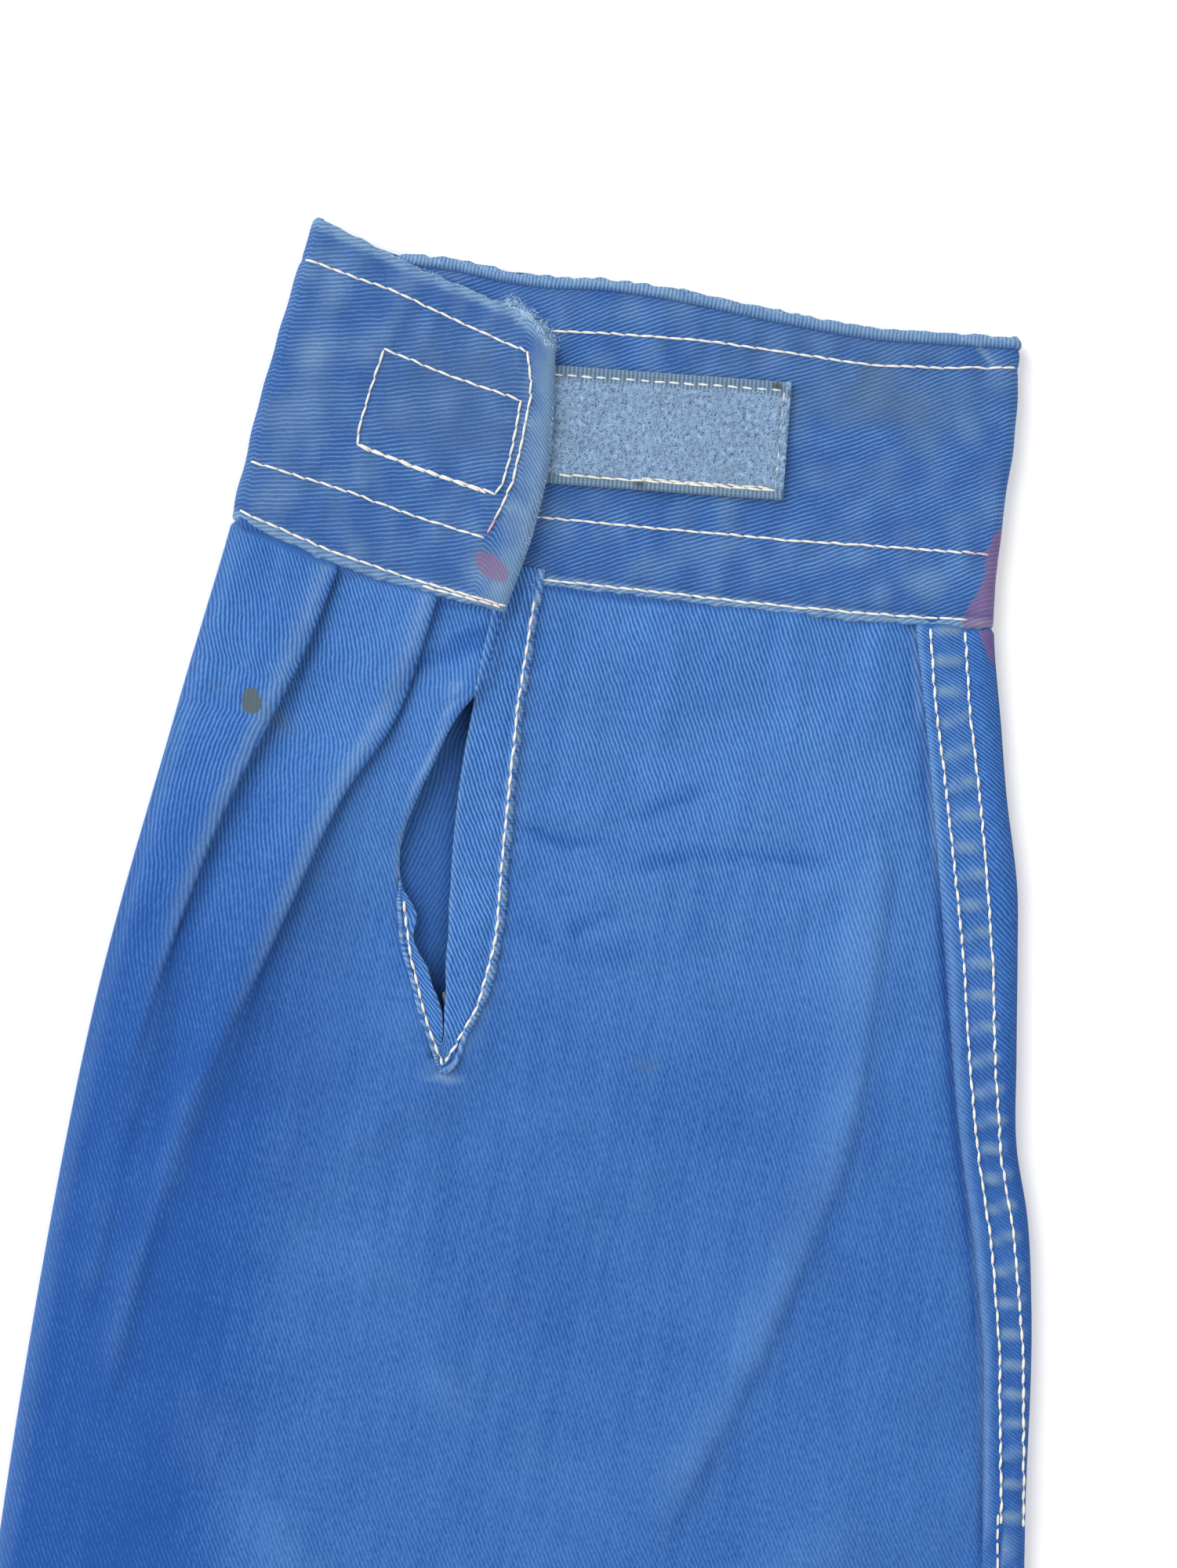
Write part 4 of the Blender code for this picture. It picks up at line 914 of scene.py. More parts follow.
def sleeve_cloth(side, coarse):
    """The sleeve's fine sheet, ready for its wall."""
    rows = sleeve_rows(coarse)
    wrapped_counts = [max(1, count // coarse) for count in WRAPPED_STEPS]
    underarm_counts = [max(1, count // coarse) for count in UNDERARM_STEPS]
    split = sum(underarm_counts)
    strip_from = split + sum(wrapped_counts[:STRIP_STARTS])
    line = np.stack([sleeve_line(along, wrapped_counts, underarm_counts) for along in rows])
    cuts = []
    for along, row in zip(rows, line):
        travelled = summed(np.hypot(np.diff(row[:, 0]), np.diff(row[:, 1])))
        round_it = travelled - travelled[split] - row[split, 0]
        cuts.append(np.stack([round_it * side, np.full(len(row), along)], axis=1))
    cut = np.stack(cuts) * MM
    along = np.broadcast_to(np.array(rows)[:, None], line.shape[:2])
    across, z, slant, shown = (line[..., k] for k in range(4))
    left, right = LEFT_EDGE(along), RIGHT_EDGE(along)
    share = np.clip((across - left) / (right - left), 0, 1)
    true_along = slanted(along, slant, share)
    edges = smooth_step((across - left - 1.0) / 5.0)
    relief = sleeve_relief(across, true_along) * np.clip(shown, 0, 1) * edges
    below = (shown <= 0) & (z < LOWER_PLY_Z)
    relief = relief + below * 1.5 * blot(across, along, (-27.0, 128.0), (13.0, 36.0))
    points = from_sleeve(side, across, true_along, np.maximum(z + relief, SLEEVE_FLOOR_Z))
    masks = sleeve_masks(across, true_along, relief, np.clip(shown, 0, 1))
    # The painted shade of the lower ply is kept only where it shows through the slit.
    seen = bump(across + 22.0, 17.0, 4) * bump(true_along - 118.0, 62.0, 4)
    masks["inside"] = masks["inside"] * np.where(z < UPPER_PLY_Z, seen, 1.0)
    if side < 0:
        masks = {name: mask * (name not in ("pink", "blot")) for name, mask in masks.items()}
    # The lower ply keeps only its painted shade and its softer twill.
    kept_below = ("painted_shade_and_tone", "inside", "soft")
    masks = {name: mask * ((z > LOWER_PLY_Z) | (name in kept_below)) for name, mask in masks.items()}
    on_strip = smooth_step((z - 2.4) / 1.2) * (np.arange(line.shape[1]) > strip_from)[None, :]
    drawn = turned_cut(cut, on_strip * STRIP_TURN * side)
    return grid_sheet(points, drawn, masks, split, rows.index(SLIT_END)), cut


def blot(across, along, middle, size, turn=0.0):
    """1 inside a soft oval spot and 0 outside it."""
    a, b = across - middle[0], along - middle[1]
    u = (a * math.cos(turn) + b * math.sin(turn)) / size[0]
    v = (b * math.cos(turn) - a * math.sin(turn)) / size[1]
    return 1.0 - smooth_step(np.hypot(u, v) - 0.4)


def cone(across, along, middle, reach):
    """1 at a spot's middle, falling evenly to 0 at its reach, for an edge that the finish sharpens."""
    return np.clip(1.0 - np.hypot(across - middle[0], along - middle[1]) / reach, 0, 1)


def sleeve_masks(across, along, relief, shown):
    """Where the sleeve is worn, pink or soiled, from 0 to 1, and where shade and light are painted on it:
    shade on cloth hidden in folds or below, towards its far end and its left fold, over and beside the
    felled seam, beside the slit and in the troughs of creases, and a highlight on their crests.
    """
    fell, fell_along, _ = line_distance(across, along, FELL_LEFT_ROW)
    ladder = 0.5 + 0.5 * ladder_wave(fell_along)
    strip = bump(fell - 3.4, 3.0, 6) * (ladder ** 9 * 1.6 + 0.08)
    edge = bump(fell + 3.0, 0.8) * 1.4
    slit_away, _, _ = line_distance(across, along, SLIT_RIGHT_ROW)
    beside = bump(slit_away, 3.0) * np.clip(relief + 0.2, 0, 1) * 0.3
    wear = np.clip(strip * 0.70 + edge * 0.35 + beside + np.clip(relief - 0.55, 0, 1) * 0.08, 0, 1) * shown
    for fold in (FOLD_SHAPES["slit"]["fold"](along), FOLD_SHAPES["shoulder"]["fold"](along)):
        wear = wear + 0.40 * bump(across - fold + 1.0, 1.5) * smooth_step((190 - along) / 60.0) * shown
    fold_edge = np.clip(1.0 - (across - LEFT_EDGE(along)) / 5.0, 0, 1)
    opened = np.vectorize(slit_left)(along) - across
    beside = bump(opened - 0.3, 0.6) * (along > 92) * (along < 168) * (across < -19)
    wear = wear + 0.6 * beside * (shown > 0.15)
    wear = wear + 0.6 * blot(across, along, (-18.5, 175.6), (4.2, 1.2), 0.1)
    wear = np.clip(wear + fold_edge * 0.25, 0, 1)
    beyond = across - 77.2 - 0.55 * (along - 62.7)
    pink = np.clip(0.5 + beyond / 3.0, 0, 1) * np.clip((71.5 - along) / 3.0, 0, 1)
    pink = pink * (shown > 0.15)
    grime = 0.30 * blot(across, along, (-79.0, 102.4), (1.4, 1.2))
    grime += 0.42 * blot(across, along, (24.0, 166.3), (2.4, 1.5))
    grime += 0.30 * blot(across, along, (-66.0, 107.0), (5.0, 2.4), 0.4)
    grime += 0.3 * strip * ladder ** 6
    # Painted shade: cloth that lies hidden in a fold or below, up to about 235 mm along, is painted darker.
    fold_shade = np.clip(1.0 - shown, 0, 1) * smooth_step((235 - along) / 60.0)
    # Painted shade and highlight: darker towards the far end and the left fold, over the felled strip and
    # beyond it, in a shadow line beside the strip's folded edge, beside the slit's stitching and in crease
    # troughs; lighter on crease crests.
    low = smooth_step((along - 95.0) / 95.0)
    painted_shade_and_tone = 0.10 + 0.75 * low + (0.35 + 0.45 * low) * smooth_step((-38 - across) / 30.0)
    painted_shade_and_tone = painted_shade_and_tone + 0.55 * smooth_step((fell + 2.0) / 2.0) * (across > 40)
    painted_shade_and_tone = painted_shade_and_tone + 1.5 * bump(fell + 4.1, 0.7) * (across > 40)
    painted_shade_and_tone = painted_shade_and_tone + 0.25 * bump(slit_away, 9.0) * smooth_step((175 - along) / 30.0) * (slit_away > 0)
    creased = crease_relief(across, along, SLEEVE_CREASES) + crease_relief(across, along, SLIT_PINCHES)
    painted_shade_and_tone = painted_shade_and_tone + 1.9 * np.clip(-creased - 0.06, 0, 0.5) * (fell < -5.5) - 0.5 * np.clip(creased - 0.7, 0, 1)
    soft = 0.28 + 0.60 * smooth_step((along - 80.0) / 110.0)
    spot = np.maximum(cone(across, along, (-71.5, 104.6), 4.9), cone(across, along, (-72.0, 102.9), 4.1))
    return {
        "wear": wear,
        "pink": pink,
        "grime": np.clip(grime, 0, 1) * shown,
        "blot": spot * shown,
        "inside": np.clip(fold_shade, 0, 1),
        "painted_shade_and_tone": np.clip(painted_shade_and_tone, 0, 1.8),
        "soft": np.clip(soft, 0, 1),
    }


# The cuff's band

def band_curves(rows):
    """Smooth curves through the columns of a table of the band."""
    return {name: curve(rows, name) for name in ("top", "bottom", "z")}


# The underlap's end runs on under the lap as a tongue that narrows towards its upper corner.
TONGUE = [Band(-58.5, 5.6, 14.5, 3.0), Band(-55.5, 4.7, 16.0, 3.15), Band(-50.0, 4.05, 18.0, 3.35)]
TONGUE += [Band(-45.0, 3.85, 21.0, 3.5), Band(-34.0, 4.5, 45.0, 4.0)]
BANDS = {
    "under": band_curves(TONGUE + UNDERLAP),
    "lap": band_curves(LAP),
    "lower": band_curves(CUFF_LOWER_SIDE),
}
LAP_TOP_ROW = ((-76.4, 9.6), (-57.1, 13.1), (-39.3, 18.2), (-26.6, 21.5))
LAP_END_ROW = ((-26.6, 21.5), (-24.2, 29.1), (-24.4, 39.0), (-24.9, 49.5), (-28.6, 61.8))
LAP_MIDDLE_ROW = ((-80.6, 53.8), (-60.0, 56.6), (-44.0, 59.6), (-28.6, 61.8))
LAP_BOTTOM_ROW = ((-81.2, 64.6), (-60.6, 69.8), (-44.0, 72.6), (-21.9, 75.2))
HOOK_BOX = ((-56.6, 25.7), (-41.0, 29.2), (-26.0, 31.9), (-26.2, 42.0), (-27.2, 52.4), (-43.0, 49.8),
            (-59.3, 46.5), (-58.3, 36.0), (-56.6, 25.7))
UNDERLAP_TOP_ROW = (
    (-22.0, 15.8), (-11.3, 14.3), (10.4, 12.3), (27.2, 11.9), (44.1, 11.6), (60.6, 9.6), (76.3, 6.8),
)
UNDERLAP_MIDDLE_ROW = ((-21.0, 55.4), (6.0, 53.4), (36.0, 51.0), (60.0, 48.6), (77.4, 46.9))
UNDERLAP_BOTTOM_ROW = ((-20.5, 68.4), (0.0, 67.2), (36.0, 65.1), (60.0, 63.1), (75.8, 61.2))
LAP_ROWS = (LAP_TOP_ROW, LAP_END_ROW, LAP_MIDDLE_ROW, LAP_BOTTOM_ROW, HOOK_BOX)
UNDERLAP_ROWS = (UNDERLAP_TOP_ROW, UNDERLAP_MIDDLE_ROW, UNDERLAP_BOTTOM_ROW)
CUFF_CREASES = [
    Crease(((46.0, 10.0), (45.0, 20.0), (46.5, 34.0)), -0.5, 4.5, 4.5),
    Crease(((59.0, 8.0), (60.0, 24.0), (58.0, 40.0)), -0.4, 5.0, 4.0),
    Crease(((-70.0, 8.0), (-68.5, 30.0), (-69.0, 52.0)), 0.35, 3.5, 3.5),
    Crease(((-8.0, 56.0), (12.0, 60.0), (34.0, 57.0)), 0.3, 4.0, 4.0),
    Crease(((20.0, 4.0), (24.0, 8.0), (30.0, 10.0)), -0.3, 3.0, 3.0),
    Crease(((-60.0, 6.5), (-58.4, 11.0), (-59.0, 17.0)), -0.45, 1.2, 1.6),
    Crease(((-41.0, 8.5), (-39.5, 12.0), (-38.0, 15.0)), -0.4, 1.2, 1.8),
    Crease(((-31.5, 11.5), (-29.5, 17.0), (-30.5, 24.0)), -0.4, 1.6, 1.2),
    Crease(((2.0, 5.0), (1.5, 9.0), (3.0, 14.0)), -0.35, 1.4, 1.8),
    Crease(((23.0, 4.5), (22.0, 9.0), (23.5, 14.0)), -0.3, 1.3, 1.6),
    Crease(((-14.0, 50.0), (-13.0, 56.0), (-14.5, 61.0)), -0.35, 1.6, 1.4),
    Crease(((8.0, 52.0), (9.0, 57.0), (8.0, 62.0)), -0.3, 1.5, 1.8),
]


def cuff_stations(coarse):
    """Stations round the cuff: the side that each lies on, its place across and its turn in a fold."""
    turns = spread(0.0, 1.0, 10)[1:-1]
    stations = [("under", across, None) for across in np.linspace(-58.5, -27.0, 24 // coarse)]
    stations += [("under", across, None) for across in np.linspace(-26.0, 74.0, 78 // coarse)]
    stations += [("right", None, turn) for turn in turns]
    stations += [("lower", across, None) for across in np.linspace(74.0, -74.0, 26)]
    stations += [("left", None, turn) for turn in turns]
    stations += [("lap", across, None) for across in np.linspace(-74.0, -20.8, 43 // coarse)]
    return stations


def cuff_edge_across(across, along):
    """A place across the cuff, moved with the cuff's slanting sides."""
    side = LEFT_EDGE(along) / -HALF_CUFF if across < 0 else RIGHT_EDGE(along) / HALF_CUFF
    return across * (1 + (side - 1) * min(1.0, abs(across) / 76.0) ** 2)


def lap_end(share):
    """How far the lap's end stands off a straight cut, by the place down its end."""
    return 3.4 * np.sin(math.pi * share) - 1.0 * share


# The band's plain depth, the depth beside each edge that is kept true to size, and how far from the free
# edge the way round the cuff is measured.
BAND_DEPTH = 65.0
KEPT_DEPTH = 3.6
MEASURED_DEPTH = 14.8
# The free edge is rolled on these sides of the band, this far down.
ROLLED_SIDES = ("under", "right")
ROLL_DEPTH = 2.7


def cuff_depths(top, bottom, share):
    """The places down the cuff, true to size near both edges and spread evenly between."""
    deep = bottom - top
    plain = (0.0, KEPT_DEPTH, BAND_DEPTH - KEPT_DEPTH, BAND_DEPTH)
    return top + np.interp(share * BAND_DEPTH, plain, (0.0, KEPT_DEPTH, deep - KEPT_DEPTH, deep))


def cuff_line(station, share):
    """The cuff's middle line at one station, from the free edge to the sleeve, as across, along and z."""
    kind, across, turn = station
    if turn is None:
        shape = BANDS[kind]
        along = cuff_depths(float(shape["top"](across)), float(shape["bottom"](across)), share)
        placed = cuff_edge_across(across, along)
        if kind == "lap" and across > -30:
            placed = placed + lap_end(share) * (across + 30) / 9.2
        return np.stack([placed, along, np.full(len(share), float(shape["z"](across)))], axis=1)
    side = 1 if kind == "right" else -1
    upper, lower = BANDS["under" if side > 0 else "lap"], BANDS["lower"]
    blend = turn if side > 0 else 1 - turn
    top = upper["top"](76 * side) * (1 - blend) + lower["top"](76 * side) * blend
    bottom = upper["bottom"](76 * side) * (1 - blend) + lower["bottom"](76 * side) * blend
    along = cuff_depths(float(top), float(bottom), share)
    radius = (CUFF_FOLD_Z - 1.0) / 2
    edge = RIGHT_EDGE(along) if side > 0 else LEFT_EDGE(along)
    across = edge - side * (CUFF_PLY / MM / 2 + radius * (1 - math.sin(math.pi * turn)))
    z = 1.0 + radius + radius * side * math.cos(math.pi * turn)
    return np.stack([across, along, np.full(len(share), z)], axis=1)


def end_row_reach(line, kinds, travelled, measured):
    """The places along of the row near the lap's end, and how far round the cuff each lies."""
    lap = [i for i, kind in enumerate(kinds) if kind == "lap"]
    heights = np.array([spot[1] for spot in LAP_END_ROW])
    offsets = np.array([spot[0] for spot in LAP_END_ROW])
    return heights, np.interp(offsets, line[lap, measured, 0], travelled[lap]) + 0.8


def cuff_relief(across, along, rows):
    """The relief of the cuff's outer face, in millimetres."""
    total = crease_relief(across, along, CUFF_CREASES)
    total += 0.16 * ripple(across, along, 22.0, 21) + 0.10 * ripple(across, along, 7.0, 22)
    for number, row in enumerate(rows):
        total += stitched_dip(across, along, row, 0.34, 0.85)
        total += 0.13 * pucker(across, along, row, 3.1, 1.6, number + 5.0)
        total += 0.26 * pucker(across, along, row, 8.3, 6.0, number + 9.0)
    return total


# How far in from its edges the band is rounded off.
EDGE_ROUND = 1.3


def rounded_off(distance):
    """The share of its thickness that the band has at a distance from its rounded edge."""
    return np.sqrt(np.clip(1 - (1 - np.minimum(distance / EDGE_ROUND, 1)) ** 2, 0, 1))


def one_of(kinds, wanted):
    """1 for the stations that lie on the wanted sides of the band and 0 for the others, as a column."""
    return np.array([kind in wanted for kind in kinds], float)[:, None]


def band_relief(across, along, kinds, distances, edge_fade):
    """The outer face's relief, with the underlap's rolled edge and the lap's turned-in end."""
    rows = {"under": UNDERLAP_ROWS, "lap": LAP_ROWS, "right": UNDERLAP_ROWS, "left": LAP_ROWS}
    relief = np.zeros(across.shape)
    for kind, stitched in rows.items():
        chosen = [i for i, k in enumerate(kinds) if k == kind]
        relief[chosen] = cuff_relief(across[chosen], along[chosen], stitched)
    relief = relief * edge_fade
    turned_in = one_of(kinds, ("lap",))
    relief += 0.22 * smooth_step((across + 27.0) / 3.0) * turned_in
    waver = 0.16 * np.sin(along / 1.9 + 1.3 * np.sin(along / 5.3))
    relief += waver * smooth_step((across + 24.5) / 2.0) * turned_in
    roll = one_of(kinds, ROLLED_SIDES)
    relief -= 0.45 * bump(distances - 2.8, 0.42)[None, :] * roll
    relief += 0.18 * bump(distances - 1.5, 0.7)[None, :] * roll
    relief += 0.10 * np.sin(across / 0.16 + 0.6 * np.sin(across / 1.9)) * bump(distances, 1.9)[None, :]
    return relief


def band_cut(line, kinds, distances, side):
    """The band's places in the flat cut, and the same with the twill turned at the lap's end and roll."""
    deep = np.linalg.norm(np.diff(line, axis=1), axis=2)
    deep = np.concatenate([np.zeros((len(kinds), 1)), np.cumsum(deep, axis=1)], axis=1)
    measured = int(np.argmin(np.abs(distances - MEASURED_DEPTH)))
    travelled = summed(np.linalg.norm(np.diff(line[:, measured], axis=0), axis=1))
    beyond = travelled[:, None] - np.interp(line[..., 1], *end_row_reach(line, kinds, travelled, measured))
    drawn_deep = deep - 0.85 * np.maximum(beyond, 0.0)
    turned = np.concatenate([deep, 2 * BAND_DEPTH - deep[:, ::-1]], axis=1) * side
    drawn = np.concatenate([drawn_deep, 2 * BAND_DEPTH - drawn_deep[:, ::-1]], axis=1) * side
    cut = np.stack([turned, np.broadcast_to(travelled[:, None], turned.shape)], axis=-1) * MM
    drawn = np.stack([drawn * MM, cut[..., 1]], axis=-1)
    outer_roll = np.concatenate([distances < ROLL_DEPTH, distances < 0])[None, :]
    rolled = (one_of(kinds, ROLLED_SIDES) * outer_roll).astype(bool)
    return cut, np.where(rolled[..., None], turned_cut(drawn, ROLL_TURN), drawn)


def cuff_cloth(side, coarse):
    """The cuff's doubled band as one closed form with rounded, worn edges."""
    stations = cuff_stations(coarse)
    kinds = [station[0] for station in stations]
    edge_steps = np.array([0.0, 0.03, 0.12, 0.30, 0.55, 0.9, 1.4, 1.9, 2.3, 2.6, 2.8, 3.3])
    inner = np.linspace(4.3, 60.7, 44 // coarse)
    distances = np.concatenate([edge_steps, inner, BAND_DEPTH - edge_steps[::-1]])
    line = np.stack([cuff_line(station, distances / BAND_DEPTH) for station in stations])
    normal = np.cross(np.gradient(line, axis=0), np.gradient(line, axis=1))
    normal /= np.maximum(np.linalg.norm(normal, axis=2, keepdims=True), 1e-9)
    from_edge = np.minimum(distances, BAND_DEPTH - distances)
    order = np.arange(len(stations))
    ends = np.minimum(order, order[::-1]) * (1.3 * coarse)
    width = CUFF_PLY / MM / 2 * rounded_off(from_edge)
    width = np.maximum(width[None, :] * rounded_off(ends)[:, None], 0.02)
    across, along = line[..., 0], line[..., 1]
    edge_fade = smooth_step(from_edge / 1.2)[None, :] * smooth_step(ends / 1.2)[:, None]
    relief = band_relief(across, along, kinds, distances, edge_fade)
    fray = 0.20 * (ripple(across, along, 4.2, 31) + ripple(across, along, 1.7, 32)) * (1 - edge_fade)
    fray = fray + 0.14 * ripple(across, along, 0.7, 33) * (1 - edge_fade)
    outer = line + normal * (width + relief)[..., None]
    inner_face = line - normal * width[..., None]
    outer[..., 1] += fray
    inner_face[..., 1] += fray
    ring = np.concatenate([outer, inner_face[:, ::-1]], axis=1)
    points = from_sleeve(side, ring[..., 0], ring[..., 1], ring[..., 2])
    masks = cuff_masks(across, along, from_edge, ends, relief, kinds)
    masks = {name: np.concatenate([mask, mask[:, ::-1] * 0.3], axis=1) for name, mask in masks.items()}
    if side < 0:
        masks["pink"] = masks["pink"] * 0
    cut, drawn = band_cut(line, kinds, distances, side)
    shell = grid_sheet(points, drawn, masks)
    bmesh.ops.remove_doubles(shell, verts=[v for v in shell.verts if v.is_boundary], dist=0.00007)
    bmesh.ops.holes_fill(shell, edges=[e for e in shell.edges if e.is_boundary], sides=0)
    bmesh.ops.recalc_face_normals(shell, faces=shell.faces)
    return shell, cut


def cuff_masks(across, along, from_edge, ends, relief, kinds):
    """Where the cuff is worn, pink or soiled, from 0 to 1, how much darker its tone is, and a painted
    shadow just below its rolled free edge.
    """
    upper = one_of(kinds, ("under", "right", "left", "lap"))
    lap = one_of(kinds, ("lap", "left"))
    edge = bump(from_edge, 2.3, 4)[None, :] * 1.15 + bump(ends, 2.0)[:, None] * lap * 1.2
    fuzz = 0.75 + 0.25 * ripple(across, along, 3.0, 41)
    band = 0.30 * bump(across + 69.0 + 0.09 * along, 3.2) * lap
    scratch = 0.8 * blot(across, along, (68.5, 4.4), (4.6, 0.8), 0.75)
    crest = np.clip(relief - 0.12, 0, 0.5) * 0.9
    corner = 1.2 * blot(across, along, (-26.0, 14.8), (5.5, 2.6), 0.45) * lap
    turned_in = 0.35 * smooth_step((across + 26.5) / 2.0) * lap
    wear = edge * fuzz + band + scratch + crest + corner + turned_in + 0.05
    wear = wear + 0.16 * ripple(across, along, 11.0, 47) * (1 - edge)
    starts = np.interp(
        along, (30, 36.5, 42, 46, 53, 58.7, 60.9, 64.0), (84, 80.6, 77.2, 76.6, 76.9, 74.8, 73.8, 74.6),
    )
    pink = np.clip(0.5 + (across - starts) / 5.0, 0, 1)
    off_middle = np.hypot((across + 26.6 - 0.6 * (along - 67)) / 5.2, (along - 67.6) / 4.6)
    lap_pink = 0.85 * np.clip(1.25 - off_middle, 0, 1)
    pink = np.where(lap > 0, lap_pink, pink)
    # How much darker the cuff's cloth is in tone: all over, more on the lap, unevenly, and more in a band
    # about 4 mm in from each edge; less where the edges are worn.
    painted_shade_and_tone = 0.90 + 0.40 * lap + 0.40 * ripple(across, along, 9.0, 48)
    painted_shade_and_tone = painted_shade_and_tone + 0.35 * bump(from_edge - 4.2, 1.6)[None, :]
    wear = wear + 0.26 * blot(across, along, (65.5, 55.5), (5.6, 3.4), -0.1) * (1 - lap)
    wear = wear + 0.4 * blot(across, along, (-27.0, 67.5), (7.0, 5.0), 0.4) * lap
    grime = 0.26 * blot(across, along, (48.3, 16.8), (7.0, 7.0), 0.2) * (1 - lap)
    grime += 0.2 * blot(across, along, (59.0, 21.6), (6.0, 7.0), 0.0) * (1 - lap)
    grime += 0.16 * blot(across, along, (40.0, 12.0), (40.0, 12.0), 0.0) * (1 - lap) + 0.20 + 0.07 * lap
    grime += 0.15 * blot(across, along, (-40.0, 33.0), (17.0, 14.0), 0.0) * lap
    return {
        "wear": np.clip(wear, 0, 1) * upper,
        "pink": pink * upper,
        "grime": np.clip(grime, 0, 1) * upper,
        "painted_shade_and_tone": np.clip(painted_shade_and_tone * (1 - 0.7 * edge), 0, 1.8),
        # Painted shadow: a dark line just below the rolled free edge.
        "inside": 0.8 * bump(from_edge - 2.95, 0.45)[None, :] * (1 - lap) * upper,
    }


# The slit's binding

BINDING_SHAPE = {name: curve(BINDING, name) for name in ("left", "right")}


def binding_line():
    """The strip's inner and outer edges, down its underarm side, round the end and up the other side."""
    inner, outer = [], []
    for along in np.arange(66.0, 166.5, 0.4):
        inner.append((float(SLIT_SHAPE["right"](along)), along))
        outer.append((float(BINDING_SHAPE["right"](along)) - 0.4, along))
    for turn in spread(0.0, 1.0, 25)[1:-1]:
        inner.append((-19.7, 168.4))
        outer.append((-15.6 - 5.6 * turn, 171.0 + 3.9 * math.sin(math.pi * turn)))
    for along in np.arange(165.0, 135.8, -0.4):
        wide = max(0.1, float(smooth_step((along - 134.5) / 6.0)))
        inner.append((slit_left(along), along))
        edge = float(BINDING_SHAPE["left"](along)) - 0.2
        outer.append((slit_left(along) * (1 - wide) + edge * wide, along))
    return np.array(inner), np.array(outer)


def binding_cloth(side, tree):
    """The strip, laid on the sleeve's fine surface, with a puckered folded edge."""
    inner, outer = binding_line()
    share = np.array([0.0, 0.03, 0.10, 0.3, 0.5, 0.68, 0.76, 0.81, 0.85, 0.89, 0.93, 0.97, 1.0])
    flat = inner[:, None] * (1 - share)[None, :, None] + outer[:, None] * share[None, :, None]
    travelled = summed(np.hypot(*np.diff(outer, axis=0).T))[:, None]
    wander = 0.07 * np.sin(travelled / 0.15 + 1.6 * np.sin(travelled / 5.2))
    wander = wander + 0.16 * np.sin(travelled / 2.7)
    outward = outer - inner
    outward /= np.maximum(np.linalg.norm(outward, axis=1, keepdims=True), 1e-6)
    flat = flat + outward[:, None] * (wander * share[None, :] ** 2)[..., None]
    outside = smooth_step((share[None, :] - 0.82) / 0.08)
    puck = 0.16 * np.sin(travelled / 0.15 + 7.0 * share[None, :] + 1.6 * np.sin(travelled / 5.2)) * outside
    broad = 0.18 * np.sin(travelled / 0.9 + 1.1 * np.sin(travelled / 7.0))
    puck = puck + broad * smooth_step((share - 0.3) / 0.5)
    ridge = 0.45 * outside * (1 - smooth_step((share[None, :] - 0.95) / 0.05))
    ridge = ridge - 0.75 * (share[None, :] > 0.985)
    dip = -0.30 * bump(share[None, :] - 0.80, 0.06)
    z = np.zeros(flat.shape[:2])
    base = from_sleeve(side, flat[..., 0], flat[..., 1], 0.0)
    for row in range(flat.shape[0]):
        for column in range(flat.shape[1]):
            found = top_of(tree, base[row, column, 0], base[row, column, 1])
            z[row, column] = np.nan if found is None or found < UPPER_SIDE_Z else found / MM
    for row in range(flat.shape[0]):
        known = np.nonzero(~np.isnan(z[row]))[0]
        z[row] = np.interp(np.arange(len(share)), known, z[row][known]) if len(known) else 5.0
    kernel = np.hanning(15)[1:-1] / np.hanning(15).sum()
    padded = np.pad(z, ((6, 6), (0, 0)), mode="edge")
    z = sum(kernel[k] * padded[k:k + len(z)] for k in range(13))
    points = from_sleeve(side, flat[..., 0], flat[..., 1], z + 0.45 + puck + ridge + dip)
    wide = np.linalg.norm(outer - inner, axis=1)[:, None] * share[None, :]
    cut = np.stack([-wide * side, np.broadcast_to(travelled, wide.shape)], axis=-1) * MM
    wear = np.clip(outside * (0.55 + puck * 2.4), 0, 0.9) + 0.35 * bump(share[None, :], 0.05)
    shell = grid_sheet(points, cut, {"wear": wear + 0 * z})
    return shell, cut


# Hook and loop patches

def patch_points(patch, columns, rows):
    """The points of a patch, as across and along on the sleeve and as places from the patch's middle."""
    a = (np.linspace(0, 1, columns)[None, :] - 0.5) * patch.length
    b = (np.linspace(0, 1, rows)[:, None] - 0.5) * patch.width
    across = patch.across + a * math.cos(patch.tilt) - b * math.sin(patch.tilt)
    along = patch.along + a * math.sin(patch.tilt) + b * math.cos(patch.tilt)
    return across, along, a + 0 * b, b + 0 * a


# The body's sheets

NECK_SHARE = NECK_X / SHOULDER_X


def declare(cut):
    """Works out the size and area of a piece's flat cut; nothing is kept or stated."""
    low, high = cut.reshape(-1, 2).min(axis=0), cut.reshape(-1, 2).max(axis=0)
    d_row = cut[1:, :-1] - cut[:-1, :-1]
    d_column = cut[:-1, 1:] - cut[:-1, :-1]
    area = float(np.abs(d_row[..., 0] * d_column[..., 1] - d_row[..., 1] * d_column[..., 0]).sum())
    width, length = (float(s) for s in high - low)
    area = min(max(area, 0.3 * width * length), width * length)


def body_sheet(name, points, ply, material, node, swap=False, masks=None):
    """One panel of the body through rows and columns of points."""
    cut = points[..., 1::-1] if swap else points[..., :2]
    cut = np.ascontiguousarray(cut)
    blank = np.zeros(points.shape[:2])
    shell = grid_sheet(points, cut, masks or {"wear": blank})
    bmesh.ops.recalc_face_normals(shell, faces=shell.faces)
    piece = finish_mesh(name, shell, material, (node,), ply)
    declare(cut)
    return piece


